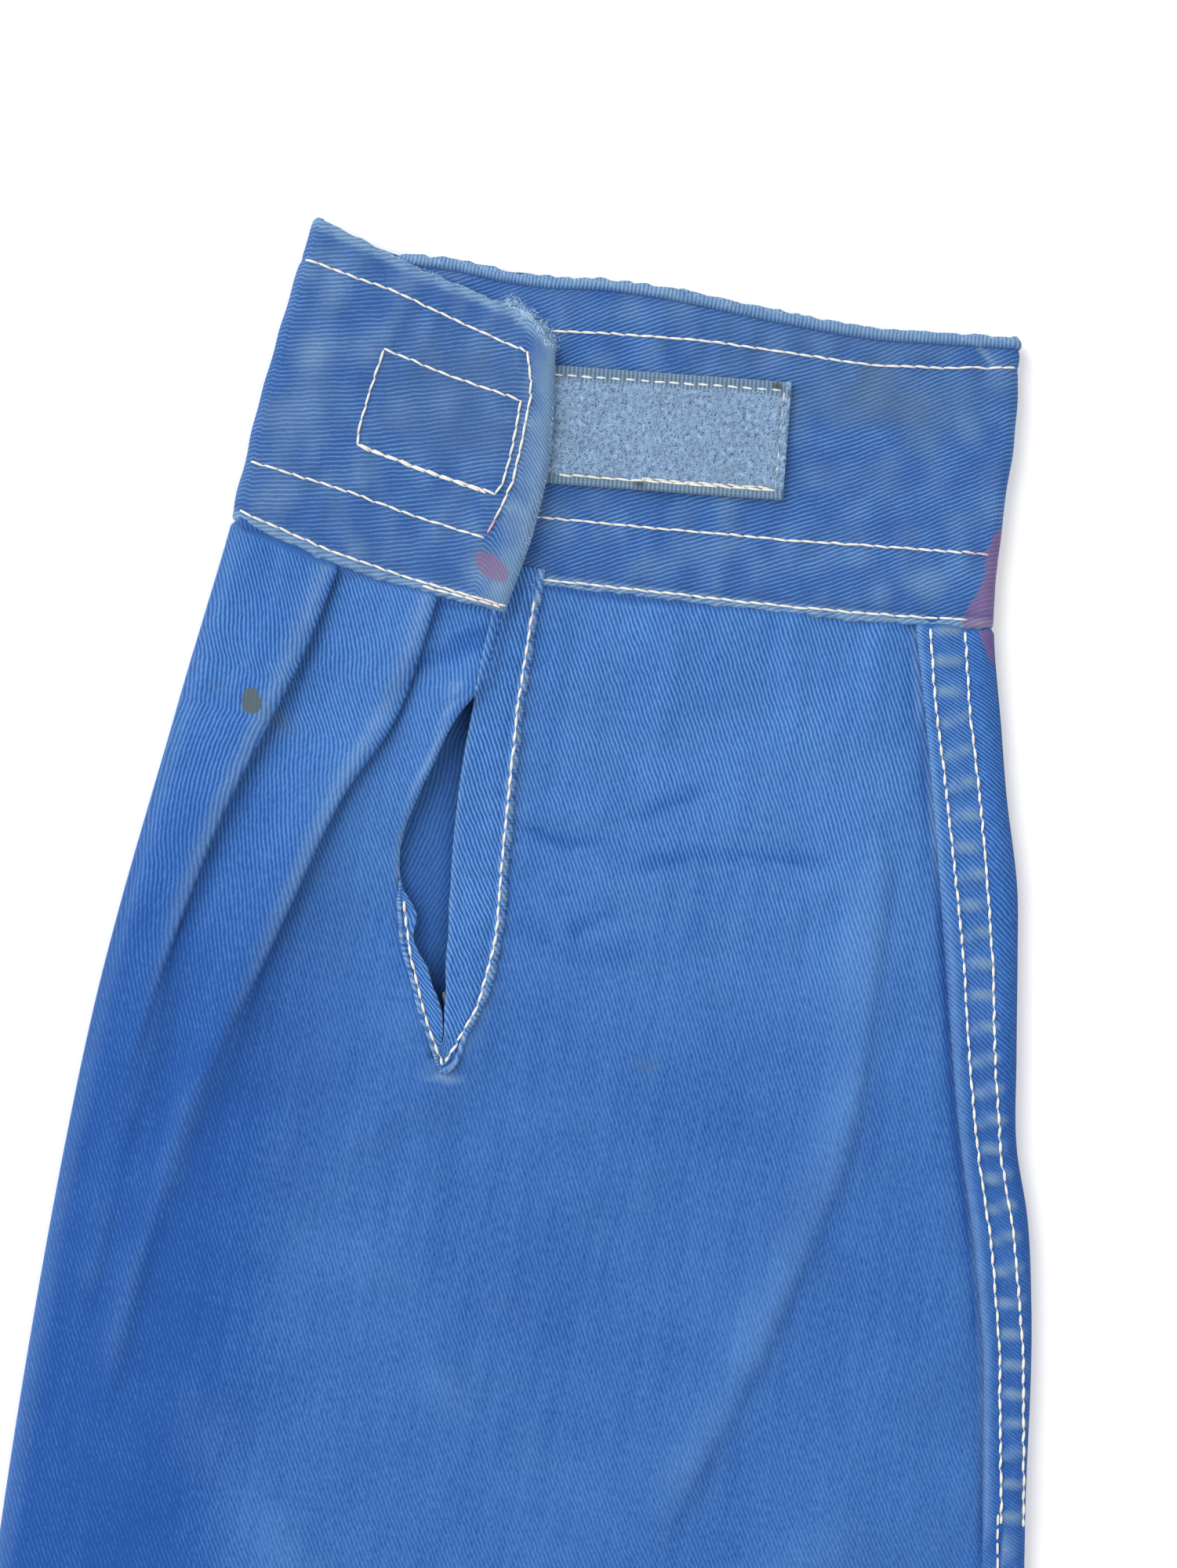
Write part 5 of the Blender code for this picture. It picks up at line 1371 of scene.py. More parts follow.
def bodice_top(x, neck_depth):
    """The neckline between the neck points, and the shoulder seams beyond them."""
    inside = NECK_Y - neck_depth * np.sqrt(np.clip(1 - (x / NECK_X) ** 2, 0, 1))
    return np.where(np.abs(x) >= NECK_X, shoulder_line(x), inside)


def seam_gap(y):
    """The gap at the side seam, and the wider one along the curved armhole."""
    return np.where(y < UNDERARM_Y - 0.02, GAP, ARMHOLE_GAP - 0.0012)


def make_back_bodice(cloth):
    """The back bodice, with a column of points at each end of the neckline."""
    shares = np.concatenate([np.linspace(-1, 1, 103), [-NECK_SHARE, NECK_SHARE]])
    share = np.unique(np.round(shares, 6))[None, :]
    up = np.linspace(0, 1, 92)[:, None]
    bottom = WAIST_Y + WAISTBAND + GAP
    top = bodice_top(share * SHOULDER_X, BACK_NECK_DEPTH)
    y = bottom + (top - bottom) * up
    x = share * (half_width(y) - seam_gap(y))
    worn = np.clip(0.7 - edge_distance(x, y) / 0.006, 0, 1) * 0.5
    points = place(x, y, worn_back_z(x, y))
    return body_sheet(
        "back_bodice_cloth", points, PLY, cloth, "back_bodice",
        masks={"wear": worn},
    )


def make_front_bodices(cloth):
    """The two fronts, which meet near the middle."""
    bottom = WAIST_Y + WAISTBAND + GAP
    share = np.linspace(0, 1, 45)[None, :]
    up = np.linspace(0, 1, 60)[:, None]
    for side, name in ((1, "front_bodice_right"), (-1, "front_bodice_left")):
        inner = CENTRE_EDGE_X if side > 0 else CENTRE_EDGE_X - GAP
        top = bodice_top(inner + (side * SHOULDER_X - inner) * share, FRONT_NECK_DEPTH)
        y = bottom + (top - bottom) * up
        outer = side * (half_width(y) - seam_gap(y))
        x = inner + (outer - inner) * share
        body_sheet(name + "_cloth", place(x, y, front_z(x, y)), PLY, cloth, name)


def make_waistbands(cloth):
    """The waistband's gathered back and its two fronts."""
    up = np.linspace(0, 1, 12)[:, None]
    y = WAIST_Y + WAISTBAND * up
    share = np.linspace(-1, 1, 121)[None, :]
    x = share * half_width(y)
    puck = 0.35 * np.sin(x / 0.0019 + 1.5 * np.sin(x / 0.011)) * np.abs(2 * up - 1) ** 2
    z = worn_back_z(x, y) + (BAND_PLY - PLY) / 2 + puck * MM * 0.6
    body_sheet("waistband_back_cloth", place(x, y, z), BAND_PLY, cloth, "waistband_back",
               swap=True)
    for side, name in ((1, "waistband_front_right"), (-1, "waistband_front_left")):
        inner = CENTRE_EDGE_X if side > 0 else CENTRE_EDGE_X - GAP
        x = inner + (side * half_width(y) - inner) * np.linspace(0, 1, 40)[None, :]
        body_sheet(name + "_cloth", place(x, y, front_z(x, y)), PLY, cloth, name, swap=True)


def leg_inner(y):
    """A leg's inner edge, which closes to the seat seam above the crotch."""
    return np.maximum(LEG_INNER(y) * (1 - smooth_step((y - CROTCH_Y + 0.004) / 0.008)), GAP / 2)


def make_legs(cloth):
    """The back and the front of each leg."""
    for side, word in SIDES:
        up = np.linspace(0, WAIST_Y - GAP, 190)[:, None]
        inner = leg_inner(up)
        x = side * (inner + (half_width(up) - inner) * np.linspace(0, 1, 46)[None, :])
        y = up + 0 * x
        worn = np.clip(0.7 - edge_distance(x, y) / 0.005, 0, 1) * 0.5 + np.clip(1 - y / 0.006, 0, 1) * 0.5
        body_sheet("leg_back_" + word + "_cloth", place(x, y, worn_back_z(x, y)), PLY, cloth,
                   "leg_back_" + word, masks={"wear": np.clip(worn, 0, 1)})
        up = np.linspace(0, WAIST_Y - GAP, 100)[:, None]
        inner = leg_inner(up)
        x = side * (inner + (half_width(up) - inner) * np.linspace(0, 1, 30)[None, :])
        body_sheet("leg_front_" + word + "_cloth", place(x, up + 0 * x, front_z(x, up + 0 * x)), PLY, cloth,
                   "leg_front_" + word)


def make_closure(cloth, tape):
    """The placket and its two tapes."""
    top = NECK_Y - FRONT_NECK_DEPTH - 0.004
    tape_top, tape_bottom = top - 0.030, FLY_BOTTOM_Y + 0.020
    tape_z = PLY + GAP + TAPE / 2
    upper_tape_z = tape_z + TAPE + GAP
    strips = (
        ("front_placket", CENTRE_EDGE_X - 0.008, PLACKET_WIDTH, FLY_BOTTOM_Y, top, PLY / 2, PLY, cloth),
        ("front_hook_tape", -TAPE_WIDTH / 2, TAPE_WIDTH, tape_bottom, tape_top, tape_z, TAPE, tape),
        ("front_loop_tape", -TAPE_WIDTH / 2, TAPE_WIDTH, tape_bottom, tape_top, upper_tape_z, TAPE, tape),
    )
    for name, left, width, low, high, z, ply, finish in strips:
        across = np.linspace(0, 1, 9)[None, :]
        up = np.linspace(low, high, 90)[:, None]
        points = place(left + width * across + 0 * up, up + 0 * across, z)
        selvedge = {"selvedge": np.where(np.abs(across - 0.5) > 0.4, 1.0, 0.0) + 0 * up}
        selvedge["spots"] = selvedge["selvedge"] * 0
        piece = body_sheet(name + "_cloth", points, ply, finish, name, masks=selvedge)


def collar_sections():
    """Inner and outer ends of the collar's sections, from one front edge round the neck to the other."""
    slope = math.atan2(SHOULDER_DROP, SHOULDER_X - NECK_X)
    down = np.array([math.cos(slope), -math.sin(slope)])
    out = np.array([math.sin(slope), math.cos(slope)])
    side_top = EDGE_Z + COLLAR_LIFT + PLY / 2 + GAP + COLLAR_PLY / 2
    side_bottom = COLLAR_PLY / 2
    radius = (side_top - side_bottom) / 2
    neck = np.array([NECK_X, NECK_Y])
    tip = neck + down * COLLAR_SIDE
    point = np.array([COLLAR_POINT[0], NECK_Y - COLLAR_POINT[1]])
    sections = []
    for share in spread(1.0, 0.0, 24):
        angle = math.radians(90 * share)
        inner = np.array([
            COLLAR_FRONT_X + (NECK_X - COLLAR_FRONT_X) * math.cos(angle),
            NECK_Y - (FRONT_NECK_DEPTH - 0.002) * math.sin(angle),
        ])
        outer = tip + (point - tip) * share + np.array([0.010, -0.010]) * math.sin(math.pi * share)
        sections.append((inner, side_bottom, outer))
    for turn in spread(0.0, 1.0, 10)[1:-1]:
        angle = math.pi * turn
        shift = out * (radius * math.sin(angle) + (GAP + PLY / 4) * min(1.0, 4 * turn, 4 - 4 * turn))
        sections.append((neck + shift, side_bottom + radius * (1 - math.cos(angle)), tip + shift))
    for share in spread(0.0, 1.0, 30):
        x_in = NECK_X * (1 - share)
        inner = np.array([x_in, NECK_Y + COLLAR_RISE * (1 - (x_in / NECK_X) ** 2)])
        x_out = tip[0] * (1 - share)
        dip = math.sqrt(max(0.0, 1 - (x_out / tip[0]) ** 2))
        outer = np.array([x_out, tip[1] - (COLLAR_BACK - COLLAR_RISE - (NECK_Y - tip[1])) * dip])
        sections.append((inner, None, outer))
    return sections


def make_collar(cloth):
    """The collar's fall and its stand."""
    half = collar_sections()
    whole = [(section, 1) for section in half] + [(section, -1) for section in half[-2::-1]]
    share = np.linspace(0, 1, 22)
    lift = PLY / 2 + GAP + COLLAR_PLY / 2
    columns = []
    for (inner, inner_z, outer), side in whole:
        flat = inner[None, :] + (outer - inner)[None, :] * share[:, None]
        if inner_z is None:
            z = back_z(flat[:, 0], np.minimum(flat[:, 1], NECK_Y - BACK_NECK_DEPTH * 0.3)) + lift
        else:
            z = np.full(len(share), inner_z)
        columns.append(np.stack([side * flat[:, 0], flat[:, 1] - MIDDLE_Y, z], axis=1))
    points = np.stack(columns, axis=1)
    around = np.linalg.norm(np.diff(points, axis=1), axis=2).mean(axis=0)
    travelled = summed(around)[None, :]
    deep = np.linalg.norm(points[-1] - points[0], axis=1).mean() * share[:, None]
    cut = np.stack([deep + 0 * travelled, travelled + 0 * deep], axis=-1)
    blank = np.zeros(points.shape[:2])
    edge = bump((1 - share) * 60, 2.0)[:, None] * 0.6 + blank
    shell = grid_sheet(points, cut, {"wear": edge})
    bmesh.ops.recalc_face_normals(shell, faces=shell.faces)
    piece = finish_mesh("collar_cloth", shell, cloth, ("collar",), COLLAR_PLY)
    declare(cut)
    x = np.linspace(-0.079, 0.079, 60)[None, :]
    low = bodice_top(x, BACK_NECK_DEPTH) + 2 * GAP + 0.0004
    high = NECK_Y + COLLAR_RISE * (1 - (x / NECK_X) ** 2) - 0.001
    y = low + (high - low) * np.linspace(0, 1, 14)[:, None]
    z = back_z(x, np.minimum(y, NECK_Y - BACK_NECK_DEPTH * 0.3))
    body_sheet("collar_stand_cloth", place(x, y, z), PLY, cloth, "collar_stand", swap=True)


def make_patches(side, word, tape, pile_material, loops):
    """The loop patch with its pile, and the hook patch inside the lap."""
    step = CUFF_PLY / MM / 2 + GAP / MM + PATCH_PLY / 2
    pieces = []
    kinds = (("loop_patch_", LOOP_PATCH, "under", 1), ("hook_patch_", HOOK_PATCH, "lap", -1))
    for name, patch, band, sign in kinds:
        coarse = 1 if word == "right" and sign > 0 else 2
        across, along, a, b = patch_points(patch, 90 // coarse, 42 // coarse)
        z = BANDS[band]["z"](across) + sign * step
        rise = 0.12 * ripple(across, along, 12.0, 55) * (sign > 0)
        for line in patch_rows():
            rise = rise + stitched_dip(across, along, line, 0.35, 0.8) * (sign > 0)
        wide = np.where(b < 0, 3.0, 2.2) + 0.25 * np.sin(a / 3.1)
        selvedge = 1.0 - smooth_step((patch.width / 2 - np.abs(b) - wide) / 0.5)
        spots = blot(across, along, (26.8, 19.3), (1.1, 0.8)) + blot(across, along, (1.6, 45.0), (1.3, 0.7))
        pale = blot(across, along, (29.2, 18.7), (1.3, 0.9))
        points = from_sleeve(side, across, along, z + rise)
        cut = np.stack([b * MM * side, a * MM], axis=-1)
        marks = {"selvedge": np.clip(selvedge - pale * 0.8, 0, 1), "spots": spots * (sign > 0)}
        shell = grid_sheet(points, cut, marks)
        bmesh.ops.recalc_face_normals(shell, faces=shell.faces)
        piece = finish_mesh(name + word + "_tape", shell, tape, (name + word,), PATCH_PLY * MM)
        declare(cut)
        pieces.append(piece)
    grow_pile(side, word, surface_tree(pieces[0]), pile_material, loops)
    return pieces[0]


def patch_corner(a, b):
    """A place on the loop patch, from its middle, in the sleeve's millimetres."""
    tilt = LOOP_PATCH.tilt
    return (
        LOOP_PATCH.across + a * math.cos(tilt) - b * math.sin(tilt),
        LOOP_PATCH.along + a * math.sin(tilt) + b * math.cos(tilt),
    )


def patch_rows():
    """The rows of stitching that hold the loop patch."""
    return (
        (patch_corner(-24.0, -10.5), patch_corner(25.6, -10.7)),
        (patch_corner(25.6, -10.7), patch_corner(25.2, 10.6)),
        (patch_corner(25.2, 10.6), patch_corner(-21.0, 10.6)),
        (patch_corner(24.0, 10.15), patch_corner(-3.5, 10.2)),
    )


def grow_pile(side, word, tree, material, loops):
    """Small loops of the pile, each an arch that leans its own way."""
    chance = np.random.default_rng(71)
    half_length, half_width = LOOP_PATCH.length / 2 - 0.8, LOOP_PATCH.width / 2 - 2.3
    strands = []
    for _ in range(loops):
        a = chance.uniform(-half_length, half_length + 0.75)
        b = chance.uniform(-half_width + 0.5, half_width)
        turn = chance.uniform(0, 2 * math.pi)
        span = chance.uniform(0.6, 1.5)
        tall = chance.uniform(0.15, 0.55)
        lean = chance.uniform(-0.5, 0.5)
        middle = patch_corner(a, b)
        strand = []
        for share, height in ((-0.5, -0.2), (-0.2, 0.9), (0.2, 0.9), (0.5, -0.2)):
            spot = (
                middle[0] + math.cos(turn) * span * share - math.sin(turn) * lean * max(height, 0),
                middle[1] + math.sin(turn) * span * share + math.cos(turn) * lean * max(height, 0),
            )
            point = from_sleeve(side, spot[0], spot[1], 0.0)
            base = top_of(tree, point[0], point[1])
            if base is None:
                break
            strand.append((point[0], point[1], base + tall * height * MM))
        if len(strand) == 4:
            strands.append(strand)
    piece = thread_piece("loop_pile_" + word, strands, 0.10 * MM, 0, material)
    return piece


# Sewing thread

def resampled(line, step):
    """A polyline's points at every step."""
    line = np.array(line, float)
    lengths = np.hypot(*np.diff(line[:, :2], axis=0).T)
    travelled = summed(lengths)
    at = np.arange(0.0, travelled[-1] + step * 0.6, step)
    return np.stack([np.interp(at, travelled, line[:, k]) for k in range(2)], axis=1)


def stitch_line(
    tree, to_place, line, pitch, thread, seed, fine=True, sunk=0.0, start=FROM_ABOVE, full=0.94,
):
    """The points of one row of lockstitch over a surface: up, over and down again for each stitch.

    line and pitch are in the units that to_place takes, and thread, its thickness, is in metres.
    full is the share of the pitch that a stitch covers before it thins and dips to the next.
    """
    starts = resampled(line, pitch)
    waver = np.random.default_rng(seed).normal(0.0, 1.0, (len(starts), 3))
    thick, thin = (1.08, 0.72) if full > 0.8 else (1.20, 0.58)
    profile = (
        (0.0, -0.16, thin), (0.10, 0.16, (thick + thin) / 2), (0.26, 0.42, thick),
        (0.52, 0.50, thick * 1.04), (0.80, 0.40, thick * 0.94), (0.93, 0.14, (thick + thin) / 2),
        (1.0, -0.16, thin),
    )
    if not fine:
        profile = ((0.0, -0.7, 0.8), (0.2, 0.45, 1.0), (0.7, 0.45, 1.0), (0.93, -0.7, 0.8))
    strand = []
    for number in range(len(starts) - 1):
        step = starts[number + 1] - starts[number]
        size = max(np.hypot(*step), 1e-6)
        normal = np.array([-step[1], step[0]]) / size
        slant = pitch * (0.022 + 0.020 * waver[number, 0])
        for share, height, radius in profile:
            spot = starts[number] + step * share * full + normal * slant * (share - 0.5) * 2
            spot = spot + normal * pitch * 0.012 * waver[number, 1]
            x, y = to_place(spot)
            base = top_of(tree, x, y, start)
            if base is None:
                continue
            strand.append((x, y, base + thread * (height - sunk + 0.06 * waver[number, 2]), radius))
    return strand


def thread_piece(name, strands, thickness, sides, material, pink_at=None):
    """All the strands of one kind of thread as one mesh of round tubes."""
    line = bpy.data.curves.new(name, "CURVE")
    line.dimensions = "3D"
    line.bevel_depth = thickness / 2
    line.bevel_resolution = sides
    line.use_fill_caps = True
    for strand in strands:
        if len(strand) < 3:
            continue
        spline = line.splines.new("POLY")
        spline.points.add(len(strand) - 1)
        strand = np.array(strand)
        flat = np.ones((len(strand), 4))
        flat[:, :3] = strand[:, :3]
        spline.points.foreach_set("co", flat.ravel())
        if strand.shape[1] == 4:
            spline.points.foreach_set("radius", strand[:, 3])
    held = bpy.data.objects.new(name + "_line", line)
    bpy.context.scene.collection.objects.link(held)
    bpy.context.view_layer.update()
    mesh = bpy.data.meshes.new_from_object(held.evaluated_get(bpy.context.evaluated_depsgraph_get()))
    bpy.data.objects.remove(held)
    mesh.name = name
    mesh.materials.clear()
    mesh.materials.append(material)
    mesh.shade_smooth()
    if pink_at is not None:
        places = np.empty(len(mesh.vertices) * 3)
        mesh.vertices.foreach_get("co", places)
        tint = mesh.attributes.new("pink", "FLOAT", "POINT")
        tint.data.foreach_set("value", pink_at(places.reshape(-1, 3)))
    piece = bpy.data.objects.new(name, mesh)
    bpy.context.scene.collection.objects.link(piece)
    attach(piece, "root")
    return piece


def sleeve_place(side):
    """Turns a place of the sleeve, in millimetres, into x and y of the garment."""
    def to_place(spot):
        point = from_sleeve(side, spot[0], spot[1], 0.0)
        return float(point[0]), float(point[1])

    return to_place


def body_place(spot):
    """Turns a place of the body, from the hems, into x and y of the row."""
    return float(spot[0]), float(spot[1]) - MIDDLE_Y


def sleeve_coordinates(points, side):
    """Across and along of points of the garment, in millimetres."""
    x = points[:, 0] * side - SLEEVE_ORIGIN[0]
    y = points[:, 1] + MIDDLE_Y - SLEEVE_ORIGIN[1]
    return (x * ACROSS[0] + y * ACROSS[1]) / MM, (x * ALONG[0] + y * ALONG[1]) / MM


def thread_pink(side):
    """Where the thread of a cuff has taken the pink stain."""
    def at(points):
        across, along = sleeve_coordinates(points, side)
        pink = blot(across, along, (77.5, 46.0), (5.0, 12.0), 0.12)
        pink += blot(across, along, (77.8, 60.9), (3.6, 1.7))
        at_corner = blot(across, along, (-27.3, 59.5), (2.6, 3.0))
        pink += at_corner + 0.5 * blot(across, along, (-26.0, 73.5), (4.0, 2.0))
        return np.clip(pink, 0, 1) if side > 0 else pink * 0

    return at


# Materials

class Value:
    """A number on a node's socket, with arithmetic that adds Math nodes."""

    def __init__(self, maker, socket):
        self.maker = maker
        self.socket = socket

    def math(self, operation, first, second=None):
        """The result of one Math node."""
        settings = {"operation": operation}
        inputs = {0: first} if second is None else {0: first, 1: second}
        return self.maker.node("ShaderNodeMath", settings, inputs)

    def __add__(self, other):
        return self.math("ADD", self, other)

    __radd__ = __add__

    def __mul__(self, other):
        return self.math("MULTIPLY", self, other)

    __rmul__ = __mul__

    def __sub__(self, other):
        return self.math("SUBTRACT", self, other)

    def __rsub__(self, other):
        return self.math("SUBTRACT", other, self)

    def __pow__(self, other):
        return self.math("POWER", self, other)

    def sine(self):
        return self.math("SINE", self)

    def held(self):
        """The value kept between 0 and 1."""
        return self.maker.node("ShaderNodeClamp", {}, {"Value": self})

    def between(self, low, high):
        """0 below low, 1 above high, and smooth between."""
        settings = {"interpolation_type": "SMOOTHSTEP"}
        inputs = {"Value": self, "From Min": low, "From Max": high}
        return self.maker.node("ShaderNodeMapRange", settings, inputs)


class Finish:
    """A material and the nodes that make it."""

    def __init__(self, name):
        self.material = bpy.data.materials.new(name)
        self.material.use_nodes = True
        self.tree = self.material.node_tree
        self.shader = self.tree.nodes["Principled BSDF"]

    def put(self, socket, value):
        """Links a node's value to a socket, or sets the socket to a plain one."""
        if isinstance(value, Value):
            self.tree.links.new(value.socket, socket)
        else:
            socket.default_value = value

    def node(self, kind, settings=None, inputs=None, output=0):
        """One node: its type, then its settings, then its sockets' values or links."""
        made = self.tree.nodes.new(kind)
        for name, value in (settings or {}).items():
            setattr(made, name, value)
        for name, value in (inputs or {}).items():
            self.put(made.inputs[name], value)
        return Value(self, made.outputs[output])

    def noise(self, where, scale, detail=2.0, roughness=0.5):
        """Soft noise, scale features to the metre."""
        inputs = {"Vector": where, "Scale": scale, "Detail": detail, "Roughness": roughness}
        return self.node("ShaderNodeTexNoise", {}, inputs, "Fac")

    def stretched(self, where, scale):
        """Coordinates that are scaled on each axis."""
        return self.node("ShaderNodeVectorMath", {"operation": "MULTIPLY"}, {0: where, 1: scale})

    def mix(self, share, first, second):
        """The first colour, with a share of the second in its place."""
        inputs = {"Factor": share, "A": first, "B": second}
        made = self.tree.nodes.new("ShaderNodeMix")
        made.data_type = "RGBA"
        sockets = {"Factor": made.inputs[0], "A": made.inputs[6], "B": made.inputs[7]}
        for name, value in inputs.items():
            self.put(sockets[name], value)
        return Value(self, made.outputs[2])

    def attribute(self, name):
        """One of the sheet's named values."""
        return self.node("ShaderNodeAttribute", {"attribute_name": name}, {}, "Fac")

    def bump(self, height, distance, strength=1.0):
        """Fine relief, by a value between 0 and 1 and the distance that 1 stands for."""
        inputs = {"Height": height, "Distance": distance, "Strength": strength}
        self.put(self.shader.inputs["Normal"], self.node("ShaderNodeBump", {}, inputs, "Normal"))

    def plain(self, **values):
        """Sets the shader's plain values by their names."""
        for name, value in values.items():
            self.shader.inputs[name.replace("_", " ")].default_value = value


def opaque(colour, gain=1.0):
    """A colour, made lighter or darker, as the four values that a node takes."""
    return tuple(min(1.0, c * gain) for c in colour) + (1.0,)


def made_once(name, maker):
    """The material of that name, made the first time that it is asked for."""
    return bpy.data.materials.get(name) or maker(name)


def twill_finish(name):
    """Piece-dyed cotton twill: slanting ridges of warp floats, fading, wear on its crests, and stains, with
    painted shade in folds, in creases, inside the slit, beside seams and below the cuff's rolled edge, and
    painted highlights on the sleeve's crease crests.
    """
    cloth = bpy.context.scene.coveralls_cloth
    finish = Finish(name)
    cut = finish.node("ShaderNodeUVMap", {"uv_map": "Cut"})
    xyz = finish.tree.nodes.new("ShaderNodeSeparateXYZ")
    finish.put(xyz.inputs[0], cut)
    u, v = Value(finish, xyz.outputs[0]), Value(finish, xyz.outputs[1])
    drift = finish.noise(cut, 160.0, 3.0, 0.6) - 0.5
    across = u * math.cos(cloth.twill_angle) + v * math.sin(cloth.twill_angle) + drift * 0.0009
    down = v * math.cos(cloth.twill_angle) - u * math.sin(cloth.twill_angle)
    turns = across * (2 * math.pi / cloth.twill_pitch)
    ridge = (turns.sine() * 0.5 + 0.5) ** 1.7
    ticks = (down * (2 * math.pi / (cloth.twill_pitch * 0.62)) + turns * 0.5).sine() * 0.5 + 0.5
    yarn = finish.noise(finish.stretched(cut, (1.0, 0.42, 1.0)), 1500.0, 2.0, 0.6)
    fuzz = finish.noise(cut, 3600.0, 2.0, 0.7)
    streaks = finish.noise(finish.stretched(cut, (1.0, 0.10, 1.0)), 330.0, 3.0, 0.6)
    fading = finish.noise(cut, 26.0, 3.0, 0.5)
    rubbed = finish.noise(cut, 95.0, 3.0, 0.6)
    soft = finish.attribute("soft")
    lines = ridge * (ticks * 0.28 + 0.65) * (rubbed * 0.7 + 0.45)
    lines = lines * (1 - soft * 0.8) + soft * 0.26
    height = lines * 0.70 + yarn * 0.40 + fuzz * 0.22
    tone = lines * 1.05 + yarn * 0.42 + streaks * 0.20 + fading * 0.22 + fuzz * 0.26 - 0.49
    # The sheet's darkening values: on the sleeve painted shade, with painted highlight on crease crests; on
    # the cuff its own darker tone.
    tone = tone - finish.attribute("painted_shade_and_tone") * 0.22
    colour = finish.mix(tone.held(), opaque(cloth.deep_blue), opaque(cloth.light_blue))
    worn = finish.attribute("wear")
    patchy = (finish.noise(cut, 700.0, 3.0, 0.7) * 1.5 - 0.25).held()
    abraded = (worn * (lines * 0.75 + patchy * 0.45 + 0.22)).held() * 0.9
    colour = finish.mix(abraded, colour, opaque(cloth.worn_blue))
    ragged = (finish.noise(cut, 420.0, 3.0, 0.65) - 0.5) * 0.30
    pink = (finish.attribute("pink") + ragged).between(0.42, 0.60) * (0.52 + patchy * 0.2 - lines * 0.12)
    colour = finish.mix(pink.held(), colour, opaque(cloth.pink_stain))
    grime = (finish.attribute("grime") * (0.55 + patchy * 0.6)).held() * 0.85
    blot = (finish.attribute("blot") + ragged * 0.25).between(0.52, 0.58)
    colour = finish.mix(grime, colour, opaque(cloth.grime))
    colour = finish.mix(blot * 0.95, colour, (0.066, 0.092, 0.098, 1.0))
    # Painted shade: cloth hidden in folds, the lower ply seen through the slit and a line just below the
    # cuff's rolled edge are mixed towards a darker deep blue.
    inside = finish.attribute("inside")
    colour = finish.mix(inside * 0.55, colour, opaque(cloth.deep_blue, 0.7))
    finish.put(finish.shader.inputs["Base Color"], colour)
    finish.put(finish.shader.inputs["Roughness"], 0.80 + abraded * 0.15)
    finish.bump(height, 0.00014, 0.85)
    finish.plain(Sheen_Weight=0.08, Sheen_Roughness=0.5, Specular_IOR_Level=0.16)
    finish.shader.inputs["Sheen Tint"].default_value = (0.62, 0.76, 1.0, 1.0)
    return finish.material


def thread_finish(name):
    """Off-white cotton thread with its twist, and the pink that it has taken up."""
    thread = bpy.context.scene.coveralls_thread
    finish = Finish(name)
    where = finish.node("ShaderNodeTexCoord", {}, {}, "Object")
    soil = finish.noise(where, 60.0, 2.0)
    twist = finish.noise(where, 5200.0, 2.0, 0.6)
    tone = (twist * 0.6 + soil * 0.5 - 0.1).held()
    shade = finish.mix(tone, (0.62, 0.60, 0.53, 1.0), opaque(thread.colour))
    pink = (finish.attribute("pink") * 0.75).held()
    finish.put(finish.shader.inputs["Base Color"], finish.mix(pink, shade, (0.56, 0.22, 0.30, 1.0)))
    finish.bump(twist, 0.00012, 0.6)
    finish.plain(Roughness=0.75, Sheen_Weight=0.2, Specular_IOR_Level=0.3)
    return finish.material


def tape_finish(name):
    """The tape's woven ground, with ribbed selvedges along both sides."""
    tape = bpy.context.scene.coveralls_tape
    finish = Finish(name)
    cut = finish.node("ShaderNodeUVMap", {"uv_map": "Cut"})
    xyz = finish.tree.nodes.new("ShaderNodeSeparateXYZ")
    finish.put(xyz.inputs[0], cut)
    u, v = Value(finish, xyz.outputs[0]), Value(finish, xyz.outputs[1])
    ribs = (v * (2 * math.pi / 0.00090)).sine() * 0.5 + 0.5
    picks = (u * (2 * math.pi / 0.0007)).sine() * 0.5 + 0.5
    fuzz = finish.noise(cut, 2600.0, 3.0, 0.7)
    edge = finish.attribute("selvedge")
    tone = (ribs ** 2 * 0.75 + picks * 0.08 + fuzz * 0.45 - 0.1).held()
    ground = finish.mix(tone, opaque(tape.selvedge, 0.50), opaque(tape.selvedge, 1.35))
    specks = finish.noise(cut, 950.0, 3.0, 0.7).between(0.40, 0.60)
    middle = finish.mix(specks, (0.085, 0.150, 0.290, 1.0), opaque(tape.pile, 1.02))
    colour = finish.mix(edge, middle, ground)
    spots = finish.attribute("spots")
    colour = finish.mix((spots * (0.4 + fuzz)).held() * 0.9, colour, (0.030, 0.034, 0.016, 1.0))
    finish.put(finish.shader.inputs["Base Color"], colour)
    finish.bump(ribs * 0.5 + picks * 0.3 + fuzz * 0.5, 0.0002, 0.8)
    finish.plain(Roughness=0.85, Sheen_Weight=0.3, Specular_IOR_Level=0.25)
    return finish.material


def pile_finish(name):
    """Fine pale loops, darker where lint and dirt have settled among them."""
    tape = bpy.context.scene.coveralls_tape
    finish = Finish(name)
    where = finish.node("ShaderNodeTexCoord", {}, {}, "Object")
    lint = finish.noise(where, 900.0, 3.0, 0.7)
    patches = finish.noise(where, 190.0, 2.0)
    tone = (lint * 0.9 + patches * 0.6 - 0.25).held()
    colour = finish.mix(tone, opaque(tape.pile, 0.75), opaque(tape.pile, 1.45))
    spots = finish.attribute("spots")
    colour = finish.mix((spots * 0.9).held(), colour, (0.035, 0.04, 0.02, 1.0))
    finish.put(finish.shader.inputs["Base Color"], colour)
    finish.plain(Roughness=0.6, Sheen_Weight=0.15, Specular_IOR_Level=0.4)
    return finish.material


